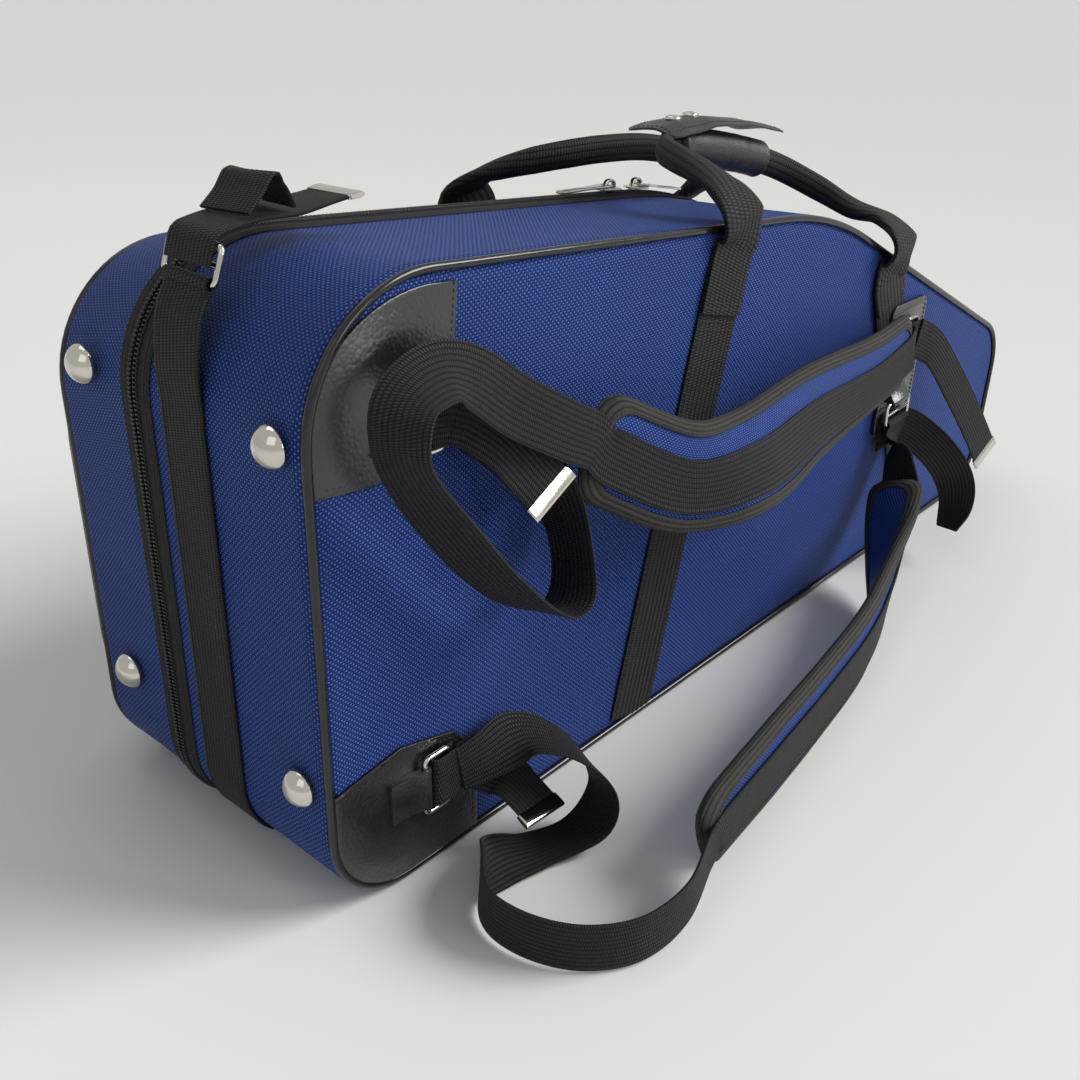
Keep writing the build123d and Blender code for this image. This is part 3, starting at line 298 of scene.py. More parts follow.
@dataclass(frozen=True)
class RibbedWebbing:
    """Narrow webbing: raised columns along the strap, each a stack of slanting floats."""

    name: str
    column: float
    float_length: float
    # low is painted shade in the grooves between ribs and floats; high is the webbing's own dark grey with
    # painted highlight on their crowns.
    low: tuple[float, float, float, float] = (0.0012, 0.0012, 0.0014, 1)
    high: tuple[float, float, float, float] = (0.046, 0.045, 0.046, 1)
    slant: float = 0.35
    relief: float = 0.0007

    def build(self) -> bpy.types.Material:
        """Makes the material.

        Returns:
            The material.
        """
        s = Shader(self.name)
        along, across = s.cloth()
        columns = s.math("DIVIDE", across, self.column)
        in_column = s.math("FRACT", columns)
        odd = s.math("FLOORED_MODULO", s.math("FLOOR", columns), 2.0)
        floats = s.math("DIVIDE", along, self.float_length)
        floats = s.math("MULTIPLY_ADD", odd, 0.5, floats)
        floats = s.math("MULTIPLY_ADD", in_column, self.slant, floats)
        ridge = s.math("POWER", s.math("SINE", s.math("MULTIPLY", in_column, math.pi)), 0.45)
        knot = s.math("POWER", s.math("SINE", s.math("MULTIPLY", s.math("FRACT", floats), math.pi)), 0.7)
        height = s.math("MULTIPLY", ridge, s.math("MULTIPLY_ADD", knot, 0.75, 0.25))
        fleck = s.noise(600.0, 1.0)
        worn = s.noise(22.0, 2.0)
        # Colour follows the rib and float height: painted shade in the grooves and painted highlight on the
        # crowns. Fleck and worn are random tone.
        share = s.math("MULTIPLY", s.math("POWER", height, 1.7), s.math("MULTIPLY_ADD", fleck, 0.7, 0.5))
        share = s.math("MULTIPLY", share, s.math("MULTIPLY_ADD", worn, 0.5, 0.7))
        s.colour(s.blend(share, self.low, self.high))
        s.roughness(s.math("MULTIPLY_ADD", fleck, 0.25, 0.45))
        s.set(Sheen_Weight=0.02, Sheen_Roughness=0.4, Specular_IOR_Level=0.16)
        s.bump(height, self.relief, 0.9)
        return s.material


@dataclass(frozen=True)
class PebbledLeather:
    """Black embossed leather with a soft gloss."""

    name: str
    cells: float = 470.0
    roughness: float = 0.34
    relief: float = 0.00024
    gloss: float = 0.5
    tint: tuple[float, float, float, float] = (0.009, 0.009, 0.01, 1)

    def build(self) -> bpy.types.Material:
        """Makes the material.

        Returns:
            The material.
        """
        s = Shader(self.name)
        cell = s.pebbles(self.cells)
        crease = s.noise(160.0, 4.0)
        height = s.math("SUBTRACT", s.math("MULTIPLY", crease, 0.2), s.math("MULTIPLY", cell, 1.5))
        s.colour(s.blend(crease, (0.003, 0.003, 0.0035, 1), self.tint))
        s.roughness(s.math("MULTIPLY_ADD", s.noise(40.0, 3.0), 0.25, self.roughness - 0.1))
        s.set(Specular_IOR_Level=0.6, Coat_Weight=self.gloss, Coat_Roughness=0.26)
        s.bump(height, self.relief, 0.8)
        return s.material


@dataclass(frozen=True)
class GlossVinyl:
    """Black plastic skin or moulding, from glossy to matt."""

    name: str
    roughness: float = 0.14
    tint: tuple[float, float, float, float] = (0.006, 0.006, 0.007, 1)
    waviness: float = 0.0003

    def build(self) -> bpy.types.Material:
        """Makes the material.

        Returns:
            The material.
        """
        s = Shader(self.name)
        wave = s.noise(55.0, 2.0)
        s.colour(s.blend(wave, self.tint, (0.016, 0.016, 0.018, 1)))
        s.roughness(s.math("MULTIPLY_ADD", s.noise(120.0, 3.0), 0.12, self.roughness - 0.04))
        s.set(Specular_IOR_Level=0.5)
        s.bump(wave, self.waviness, 0.6)
        return s.material


@dataclass(frozen=True)
class WovenTape:
    """Thin herringbone tape of a zip, or a grosgrain binding."""

    name: str
    rib: float = 0.0009
    tint: tuple[float, float, float, float] = (0.024, 0.024, 0.027, 1)
    slant: float = 1.0

    def build(self) -> bpy.types.Material:
        """Makes the material.

        Returns:
            The material.
        """
        s = Shader(self.name)
        along, across = s.cloth()
        back_and_forth = s.math("PINGPONG", across, 0.0022)
        ribs = s.math("DIVIDE", s.math("MULTIPLY_ADD", back_and_forth, self.slant, along), self.rib)
        height = s.math("SINE", s.math("MULTIPLY", s.math("FRACT", ribs), math.pi))
        fuzz = s.noise(500.0, 2.0)
        # Colour follows the rib height: painted shade between the ribs and lighter crowns. Fuzz is random
        # tone.
        share = s.math("MULTIPLY", s.math("MULTIPLY_ADD", height, 0.5, 0.4), s.math("ADD", fuzz, 0.5))
        s.colour(s.blend(share, (0.003, 0.003, 0.0035, 1), self.tint))
        s.roughness(0.72)
        s.set(Sheen_Weight=0.04, Sheen_Roughness=0.5, Specular_IOR_Level=0.22)
        s.bump(height, 0.0002, 0.7)
        return s.material


@dataclass(frozen=True)
class RidgedBinding:
    """Grosgrain binding of the shoulder pads, with ridges along it and fine ribs across."""

    name: str
    ridge: float = 0.0022
    rib: float = 0.0009
    # low is painted shade between the ridges; high is the binding's own grey with painted highlight on the
    # crests.
    low: tuple[float, float, float, float] = (0.004, 0.004, 0.004, 1)
    high: tuple[float, float, float, float] = (0.072, 0.069, 0.06, 1)

    def build(self) -> bpy.types.Material:
        """Makes the material.

        Returns:
            The material.
        """
        s = Shader(self.name)
        along, across = s.cloth()
        ridges = s.math("FRACT", s.math("DIVIDE", across, self.ridge))
        crest = s.math("POWER", s.math("SINE", s.math("MULTIPLY", ridges, math.pi)), 0.6)
        ribs = s.math("FRACT", s.math("DIVIDE", along, self.rib))
        ribs = s.math("SINE", s.math("MULTIPLY", ribs, math.pi))
        height = s.math("MULTIPLY", crest, s.math("MULTIPLY_ADD", ribs, 0.25, 0.75))
        fuzz = s.noise(500.0, 2.0)
        # Colour follows the ridge height: painted shade between the ridges and painted highlight on the
        # crests. Fuzz is random tone.
        share = s.math("MULTIPLY", height, s.math("MULTIPLY_ADD", fuzz, 0.7, 0.35))
        s.colour(s.blend(share, self.low, self.high))
        s.roughness(0.7)
        s.set(Sheen_Weight=0.04, Sheen_Roughness=0.5, Specular_IOR_Level=0.2)
        s.bump(height, 0.0006, 0.9)
        return s.material


@dataclass(frozen=True)
class Plush:
    """Short black plush of the lining."""

    name: str
    tint: tuple[float, float, float, float] = (0.03, 0.03, 0.034, 1)

    def build(self) -> bpy.types.Material:
        """Makes the material.

        Returns:
            The material.
        """
        s = Shader(self.name)
        pile = s.noise(900.0, 3.0)
        brushed = s.noise(14.0, 3.0)
        share = s.math("MULTIPLY", pile, s.math("ADD", brushed, 0.5))
        s.colour(s.blend(share, (0.008, 0.008, 0.009, 1), self.tint))
        s.roughness(0.9)
        s.set(Sheen_Weight=0.5, Sheen_Roughness=0.4, Specular_IOR_Level=0.15)
        s.bump(pile, 0.0006, 0.8)
        return s.material


@dataclass(frozen=True)
class Nickel:
    """Polished nickel plate with faint smears."""

    name: str
    roughness: float = 0.1
    tint: tuple[float, float, float, float] = (0.72, 0.69, 0.62, 1)

    def build(self) -> bpy.types.Material:
        """Makes the material.

        Returns:
            The material.
        """
        s = Shader(self.name)
        smear = s.noise(70.0, 4.0)
        s.colour(s.blend(smear, (0.55, 0.53, 0.48, 1), self.tint))
        s.roughness(s.math("MULTIPLY_ADD", smear, 0.16, self.roughness - 0.06))
        s.set(Metallic=1.0)
        s.bump(s.noise(260.0, 2.0), 0.00006, 0.5)
        return s.material


@dataclass
class Finishes:
    """Every finish of the case, each made once."""

    shell: bpy.types.Material = field(init=False)
    pad: bpy.types.Material = field(init=False)
    band: bpy.types.Material = field(init=False)
    strap: bpy.types.Material = field(init=False)
    binding: bpy.types.Material = field(init=False)
    ridged: bpy.types.Material = field(init=False)
    tape: bpy.types.Material = field(init=False)
    piping: bpy.types.Material = field(init=False)
    coil: bpy.types.Material = field(init=False)
    thread: bpy.types.Material = field(init=False)
    leather: bpy.types.Material = field(init=False)
    soft_leather: bpy.types.Material = field(init=False)
    plush: bpy.types.Material = field(init=False)
    nickel: bpy.types.Material = field(init=False)

    def __post_init__(self) -> None:
        """Makes the materials."""
        blue = ((0.002, 0.004, 0.024, 1), (0.062, 0.15, 0.60, 1))
        self.shell = WovenCloth("blue_woven_shell", 0.0016, *blue).build()
        pad_blue = ((0.003, 0.006, 0.03, 1), (0.07, 0.165, 0.64, 1))
        self.pad = WovenCloth("blue_woven_pad", 0.0013, *pad_blue).build()
        self.band = RibbedWebbing("heavy_webbing", 0.0049, 0.0019).build()
        self.strap = RibbedWebbing("strap_webbing", 0.0029, 0.0014).build()
        self.binding = WovenTape("grosgrain_binding", 0.0011, slant=0.0).build()
        self.ridged = RidgedBinding("ridged_binding").build()
        self.tape = WovenTape("zip_tape_cloth").build()
        self.piping = GlossVinyl("piping_vinyl").build()
        self.coil = GlossVinyl("coil_plastic", 0.24, waviness=0.00005).build()
        self.thread = GlossVinyl("sewing_thread", 0.6, (0.012, 0.012, 0.013, 1), 0.00005).build()
        self.leather = PebbledLeather("pebbled_leather").build()
        self.soft_leather = PebbledLeather("grip_leather", 900.0, 0.42, 0.00018, 0.15).build()
        self.plush = Plush("plush_lining").build()
        self.nickel = Nickel("polished_nickel").build()


@dataclass
class Skin:
    """Grids of points with their cloth coordinates, joined into one mesh."""

    points: list[np.ndarray] = field(default_factory=list)
    faces: list[tuple[int, ...]] = field(default_factory=list)
    cloth: list[tuple[tuple[float, float], ...]] = field(default_factory=list)
    count: int = 0

    def grid(self, points: np.ndarray, cloth: np.ndarray) -> None:
        """Adds a grid of quads whose last column joins the first.

        Args:
            points: Rows of points, in millimetres.
            cloth: Cloth coordinates in millimetres, with one column more than the points.
        """
        rows, columns = points.shape[:2]
        start = self.count
        self.points.append(points.reshape(-1, 3))
        self.count += rows * columns
        for i in range(rows - 1):
            for j in range(columns):
                k = (j + 1) % columns
                at = start + i * columns
                self.faces.append((at + j, at + k, at + columns + k, at + columns + j))
                corners = (cloth[i, j], cloth[i, j + 1], cloth[i + 1, j + 1], cloth[i + 1, j])
                self.cloth.append(tuple((c[0] * MM, c[1] * MM) for c in corners))

    def plate(self, loop: np.ndarray) -> None:
        """Adds one flat face that closes an end.

        Args:
            loop: Its corners, in millimetres.
        """
        start = self.count
        self.points.append(loop)
        self.count += len(loop)
        self.faces.append(tuple(range(start, self.count)))
        self.cloth.append(tuple((p[0] * MM, p[2] * MM) for p in loop))

    def tube(self, rows: np.ndarray, cloth: np.ndarray | None = None) -> None:
        """Adds a closed tube with both ends covered.

        Args:
            rows: Rows of points round it, in millimetres.
            cloth: Cloth coordinates, or None where the finish needs none.
        """
        if cloth is None:
            cloth = np.zeros((len(rows), rows.shape[1] + 1, 2))
        self.grid(rows, cloth)
        self.plate(rows[0])
        self.plate(rows[-1][::-1])

    def piece(self, name: str, finish: bpy.types.Material | None, crease: float = 40.0) -> bpy.types.Object:
        """Makes the mesh and its object, with shared points merged and faces outwards.

        Args:
            name: Name of the piece.
            finish: Its material, or None for a small shape that a row repeats.
            crease: Angle in degrees past which an edge is sharp.

        Returns:
            The new object.
        """
        mesh = bpy.data.meshes.new(name)
        mesh.from_pydata(np.concatenate(self.points) * MM, [], self.faces)
        layer = mesh.uv_layers.new(name="cloth")
        layer.data.foreach_set("uv", np.array([xy for face in self.cloth for xy in face]).ravel())
        if finish:
            mesh.materials.append(finish)
        work = bmesh.new()
        work.from_mesh(mesh)
        bmesh.ops.remove_doubles(work, verts=work.verts, dist=1e-6)
        bmesh.ops.dissolve_degenerate(work, edges=work.edges, dist=1e-7)
        bmesh.ops.recalc_face_normals(work, faces=work.faces)
        work.to_mesh(mesh)
        work.free()
        mesh.polygons.foreach_set("use_smooth", [True] * len(mesh.polygons))
        mesh.set_sharp_from_angle(angle=math.radians(crease))
        return put_in_scene(name, mesh)


def put_in_scene(name: str, data: bpy.types.ID) -> bpy.types.Object:
    """Makes an object at the origin and links it to the scene.

    Args:
        name: Its name.
        data: Its mesh, lamp or camera.

    Returns:
        The object.
    """
    made = bpy.data.objects.new(name, data)
    bpy.context.scene.collection.objects.link(made)
    return made


def unit(vectors: np.ndarray) -> np.ndarray:
    """Vectors scaled to length 1."""
    return vectors / np.maximum(np.linalg.norm(vectors, axis=-1, keepdims=True), 1e-12)


def run_along(points: np.ndarray) -> np.ndarray:
    """Distance along a line at each of its points."""
    return np.concatenate([[0.0], np.cumsum(np.linalg.norm(np.diff(points, axis=0), axis=1))])


def same_way(way: Point, count: int) -> np.ndarray:
    """One direction for each of several points."""
    return np.tile(way, (count, 1))


def fitted(
    piece: bpy.types.Object,
    body: Body,
    slot: Slot,
    replaces: Iterable[str] = (),
) -> bpy.types.Object:
    """Puts a finished piece on its body.

    Args:
        piece: The piece.
        body: Body that it moves with.
        slot: Material slot of the record; not used.
        replaces: Nodes that it stands for.

    Returns:
        The same piece.
    """
    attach(piece, body.value)
    if replaces:
        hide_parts(*replaces)
    LOG.info("%s on %s, %d faces", piece.name, body.value, len(piece.data.polygons))
    return piece


def bent(
    piece: bpy.types.Object,
    bodies: tuple[Body, Body],
    span: tuple[Point, Point],
    slot: Slot,
    replaces: Iterable[str],
) -> None:
    """Fixes a piece of webbing that spans a joint where it stands and hides the nodes that it replaces; it
    is put on neither body.

    Args:
        piece: The piece.
        bodies: The bodies at its two ends.
        span: Where it leaves the first body and where it follows the second, in millimetres.
        slot: Material slot of the record; not used.
        replaces: Nodes that it stands for.
    """
    start, end = (tuple(v * MM for v in p) for p in span)
    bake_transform(piece)
    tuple(start)
    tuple(end)
    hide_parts(*replaces)
    LOG.info("%s bends from %s to %s", piece.name, bodies[0].value, bodies[1].value)


@dataclass
class Route:
    """Smooth line through stations of a point and the outward normal there."""

    points: np.ndarray
    normals: np.ndarray

    @classmethod
    def of(cls, stations: Sequence[Station]) -> Route:
        """A route from a list of stations, in millimetres."""
        return cls(np.array([p for p, _ in stations], float), np.array([n for _, n in stations], float))

    def smooth(self, step: float = 4.0) -> Frames:
        """Frames along a smooth line through the stations.

        Args:
            step: Distance between frames, in millimetres.

        Returns:
            The frames.
        """
        chord = np.linalg.norm(np.diff(self.points, axis=0), axis=1)
        knots = np.concatenate([[0.0], np.cumsum(np.sqrt(np.maximum(chord, 1e-6)))])
        spots, normals, station = [], [], []
        for i in range(len(knots) - 1):
            steps = max(1, int(round(chord[i] / step)))
            for t in np.linspace(knots[i], knots[i + 1], steps, endpoint=False):
                spots.append(self.at(self.points, knots, i, t))
                normals.append(self.at(self.normals, knots, i, t))
                station.append(i + (t - knots[i]) / (knots[i + 1] - knots[i]))
        spots.append(self.points[-1])
        normals.append(self.normals[-1])
        frames = Frames.along(np.array(spots), np.array(normals))
        frames.station = np.array(station + [len(knots) - 1.0])
        return frames

    @staticmethod
    def at(values: np.ndarray, knots: np.ndarray, i: int, t: float) -> np.ndarray:
        """Value between two stations, with smooth slopes at both.

        Args:
            values: Value at each station.
            knots: Parameter at each station.
            i: Station before.
            t: Parameter.

        Returns:
            The value.
        """

        def slope(k: int) -> np.ndarray:
            """Change per unit of the parameter at a station."""
            low, high = max(k - 1, 0), min(k + 1, len(values) - 1)
            return (values[high] - values[low]) / (knots[high] - knots[low])

        span = knots[i + 1] - knots[i]
        s = (t - knots[i]) / span
        a, b = values[i], values[i + 1]
        ta, tb = slope(i) * span, slope(i + 1) * span
        return (
            a * (2 * s**3 - 3 * s**2 + 1)
            + ta * (s**3 - 2 * s**2 + s)
            + b * (3 * s**2 - 2 * s**3)
            + tb * (s**3 - s**2)
        )


@dataclass
class Frames:
    """Points along a line with the directions along it, across it and outwards."""

    spots: np.ndarray
    across: np.ndarray
    outward: np.ndarray
    travel: np.ndarray
    run: np.ndarray
    station: np.ndarray | None = None

    @classmethod
    def along(cls, spots: np.ndarray, normals: np.ndarray, closed: bool = False) -> Frames:
        """Frames along points.

        Args:
            spots: The points.
            normals: Outward direction near each point.
            closed: Whether the line joins its start.

        Returns:
            The frames.
        """
        if closed:
            ahead, behind = np.roll(spots, -1, axis=0), np.roll(spots, 1, axis=0)
        else:
            ahead, behind = np.vstack([spots[1:], spots[-1:]]), np.vstack([spots[:1], spots[:-1]])
        travel = unit(ahead - behind)
        across = unit(np.cross(normals, travel))
        outward = np.cross(travel, across)
        return cls(spots, across, outward, travel, run_along(spots))

    def part(self, which: np.ndarray) -> Frames:
        """The frames at some places of the line."""
        taken = (self.spots, self.across, self.outward, self.travel, self.run)
        return Frames(*(each[which] for each in taken))

    def beside(self, side: int, offset: float, lift: float) -> np.ndarray:
        """Line that runs beside the middle and over it.

        Args:
            side: 1 or -1.
            offset: Its distance from the middle.
            lift: Its height over the middle.

        Returns:
            Its points.
        """
        return self.spots + self.across * side * offset + self.outward * lift


@dataclass(frozen=True)
class StrapSection:
    """Cross-section of webbing with rounded edges and shallow lengthwise ribs."""

    width: float
    thickness: float
    column: float = 4.0
    groove: float = 0.14
    cup: float = 0.0

    def outline(self) -> np.ndarray:
        """Draws the section.

        Returns:
            Its corners, across and outwards, in millimetres.
        """
        half, high = self.width / 2, self.thickness / 2
        columns = max(2, int(round((self.width - self.thickness) / self.column)))
        flat = np.linspace(high - half, half - high, 2 * columns + 1)
        top = [(x, high - self.groove * (i % 2 == 0)) for i, x in enumerate(flat)]
        edge = [(half - high + high * math.cos(a), high * math.sin(a)) for a in (0.9, 0.0, -0.9)]
        bottom = [(x, -y) for x, y in reversed(top)]
        other = [(-x, -y) for x, y in edge]
        corners = np.array(top + edge + bottom + other)
        corners[:, 1] += self.cup * ((2 * corners[:, 0] / self.width) ** 2 - 0.33)
        return corners


@dataclass(frozen=True)
class RolledSection:
    """Cross-section between flat webbing and webbing rolled round a core."""

    width: float
    height: float
    sides: int = 36
    seam: float = 0.0

    def outline(self) -> np.ndarray:
        """Draws the section.

        Returns:
            Its corners, across and outwards, in millimetres.
        """
        flatness = 2.0 + 6.0 * max(0.0, 1 - self.height / (0.35 * self.width))
        corners = []
        for turn in np.linspace(0, 2 * math.pi, self.sides, endpoint=False):
            c, s = math.cos(turn), math.sin(turn)
            reach = (abs(c) ** flatness + abs(s) ** flatness) ** (-1 / flatness)
            dip = 1 - self.seam * math.exp(-(((turn - 5.1) / 0.16) ** 2))
            corners.append((self.width / 2 * c * reach * dip, self.height / 2 * s * reach * dip))
        return np.array(corners)


def swept(skin: Skin, frames: Frames, sections: np.ndarray | Sequence[np.ndarray]) -> None:
    """Adds a closed section carried along frames, with both ends covered.

    Args:
        skin: Skin that takes the faces.
        frames: The frames.
        sections: One section, or one for each frame with the same number of corners.
    """
    if isinstance(sections, np.ndarray) and sections.ndim == 2:
        sections = [sections] * len(frames.spots)
    rows, cloth = [], []
    for i, section in enumerate(sections):
        rows.append(frames.spots[i] + section[:, :1] * frames.across[i] + section[:, 1:] * frames.outward[i])
        girth = run_along(np.vstack([section, section[:1]]))
        cloth.append(np.stack([np.full(len(girth), frames.run[i]), girth], axis=1))
    skin.tube(np.array(rows), np.array(cloth))


def strap(
    name: str,
    frames: Frames,
    material: bpy.types.Material,
    width: float = 32.0,
    thickness: float = 2.0,
    column: float = 3.0,
) -> bpy.types.Object:
    """A length of flat webbing.

    Args:
        name: Name of the piece.
        frames: Frames along its middle.
        material: Its finish.
        width: Its width in millimetres.
        thickness: Its thickness in millimetres.
        column: Width of one rib in millimetres.

    Returns:
        The new object.
    """
    skin = Skin()
    swept(skin, frames, StrapSection(width, thickness, column).outline())
    return skin.piece(name, material)


@dataclass(frozen=True)
class RoundedCorners:
    """Rounding of an outline's corners, with as many points on every plane."""

    radii: tuple[float, ...]
    arc_steps: tuple[int, ...]
    straight_steps: tuple[int, ...]

    def ring(self, sharp: np.ndarray, y: float, inset: float = 0.0, grow: float = 0.0) -> np.ndarray:
        """Points round an outline.

        Args:
            sharp: Its sharp corners, each as x and z.
            y: The plane that it lies on.
            inset: How much smaller each radius is.
            grow: How far outside the outline the points lie.

        Returns:
            The points: an arc and a straight stretch from each corner.
        """
        count = len(sharp)
        arcs = []
        for i in range(count):
            before, here, after = sharp[i - 1], sharp[i], sharp[(i + 1) % count]
            u, v = unit(before - here), unit(after - here)
            half = math.acos(float(np.clip(np.dot(u, v), -1, 1))) / 2
            radius = self.radii[i] - inset
            centre = here + unit(u + v) * radius / math.sin(half)
            start = math.atan2(*(here + u * radius / math.tan(half) - centre)[::-1])
            turns = start + np.linspace(0, math.pi - 2 * half, self.arc_steps[i] + 1)
            arcs.append(centre + (radius + grow) * np.stack([np.cos(turns), np.sin(turns)], axis=1))
        parts = []
        for i in range(count):
            between = np.linspace(arcs[i][-1], arcs[(i + 1) % count][0], self.straight_steps[i] + 1)
            parts += [arcs[i], between[1:-1]]
        flat = np.concatenate(parts)
        return np.stack([flat[:, 0], np.full(len(flat), y), flat[:, 1]], axis=1)


@dataclass(frozen=True)
class CaseForm:
    """Side outline of the case, in millimetres, and how it falls away towards the front."""

    length: float = 825.0
    bell_height: float = 353.7
    top_fall: float = 0.075
    crest_from_bell: float = 454.6
    narrow_fall: float = 0.441
    back: float = -105.0
    zip: float = 26.5
    front: float = 105.0
    tape_back: float = 13.5
    tape_front: float = 39.5
    zip_drop: float = 6.0
    front_drop: float = 21.0
    rounding: RoundedCorners = RoundedCorners(
        radii=(55.0, 50.0, 55.0, 360.0, 75.0),
        arc_steps=(14, 13, 12, 22, 18),
        straight_steps=(84, 8, 32, 36, 24),
    )
    zip_foot: float = 10.0
    rim_gap: float = 7.0
    teeth_gap: float = 0.8
    leaf_gap: float = 0.4
    leaf_width: float = 15.4
    band_feet: tuple[float, float] = (-153.5, 267.5)
    band_leans: tuple[float, float] = (0.237, -0.474)

    @property
    def bell_x(self) -> float:
        """The bell end's flat."""
        return -self.length / 2

    @property
    def narrow_x(self) -> float:
        """The narrow end's flat."""
        return self.length / 2

    @property
    def crest_x(self) -> float:
        """Where the top line bends."""
        return self.bell_x + self.crest_from_bell

    @property
    def crest_z(self) -> float:
        """Height of that bend on the back."""
        return self.bell_height - self.top_fall * self.crest_from_bell

    def drop(self, y: float) -> float:
        """How far the top has fallen from the back's height.

        Args:
            y: The plane.

        Returns:
            The fall there.
        """
        if y <= self.tape_back:
            return self.zip_drop * (y - self.back) / (self.tape_back - self.back)
        if y <= self.tape_front:
            return self.zip_drop
        share = (y - self.tape_front) / (self.front - self.tape_front)
        return self.zip_drop + (self.front_drop - self.zip_drop) * share

    def top(self, x: float, y: float) -> float:
        """Height of the top line.

        Args:
            x: The place along the case.
            y: The plane.

        Returns:
            The height there.
        """
        if x <= self.crest_x:
            return self.bell_height - self.top_fall * (x - self.bell_x) - self.drop(y)
        return self.crest_z - self.narrow_fall * (x - self.crest_x) - self.drop(y)

    def corners(self, y: float) -> np.ndarray:
        """Sharp corners of the outline.

        Args:
            y: The plane.

        Returns:
            The corners, each as x and z.
        """
        drop = self.drop(y)
        narrow_top = self.crest_z - self.narrow_fall * (self.length - self.crest_from_bell)
        return np.array(
            [
                (self.bell_x, 0.0),
                (self.narrow_x, 0.0),
                (self.narrow_x, narrow_top - drop),
                (self.crest_x, self.crest_z - drop),
                (self.bell_x, self.bell_height - drop),
            ]
        )

    def ring(self, y: float, grow: float = 0.0) -> np.ndarray:
        """Points round the case on the plane y, always as many and in the same order.

        Args:
            y: The plane.
            grow: How far outside the outline.

        Returns:
            The points, from the bell end's foot corner along the spine and back over the top.
        """
        return self.rounding.ring(self.corners(y), y, grow=grow)

    def zip_span(self) -> slice:
        """Finds the points of a ring that lie along the zip.

        Returns:
            Their span, from the narrow end's foot to the bell end's.
        """
        ring = self.ring(self.zip)
        low = ring[:, 2] < self.zip_foot
        first_arc = self.rounding.arc_steps[0] + self.rounding.straight_steps[0]
        start = first_arc + int(np.argmin(low[first_arc:]))
        return slice(start, len(ring))

    def open_ring(self, y: float, grow: float = 0.0) -> np.ndarray:
        """The ring's stretch along the zip, down to just above the spine at both ends.

        Args:
            y: The plane.
            grow: How far outside the outline.

        Returns:
            Its points.
        """
        ring = self.ring(y, grow)
        start = self.zip_span().start
        low_arc = ring[: self.rounding.arc_steps[0] + 1]
        return np.vstack([ring[start:], low_arc[low_arc[:, 2] > self.zip_foot]])

    def outward(self, ring: np.ndarray) -> np.ndarray:
        """Outward direction at each point of an open ring, in its plane."""
        travel = unit(np.gradient(ring, axis=0))
        return np.stack([travel[:, 2], np.zeros(len(ring)), -travel[:, 0]], axis=1)


def cloth_round(rings: Sequence[np.ndarray], depth: Sequence[float]) -> np.ndarray:
    """Cloth coordinates of closed rings.

    Args:
        rings: The rings.
        depth: Depth of each ring in the cloth.

    Returns:
        Distance round the case and depth, at each point and again where the ring closes.
    """
    base = rings[len(rings) // 2]
    run = run_along(np.vstack([base, base[:1]]))
    return np.array([np.stack([run, np.full(len(run), deep)], axis=1) for deep in depth])


def cloth_flat(rows: Sequence[np.ndarray]) -> np.ndarray:
    """Cloth coordinates of closed rings in a flat face: their place in it."""
    return np.array([np.vstack([row, row[:1]])[:, [0, 2]] for row in rows])


def drawn_in(edge: np.ndarray, middle: tuple[tuple[float, float], tuple[float, float]]) -> np.ndarray:
    """Where a ring ends when it is drawn in to a face's middle line.

    Args:
        edge: Points of the ring.
        middle: Both ends of the middle line, each as its x and z.

    Returns:
        The nearest place on the middle line for each point, in the ring's plane.
    """
    start, end = np.array(middle)
    run = end - start
    share = np.clip(((edge[:, [0, 2]] - start) @ run) / (run @ run), 0, 1)
    target = edge.copy()
    target[:, [0, 2]] = start + share[:, None] * run
    return target


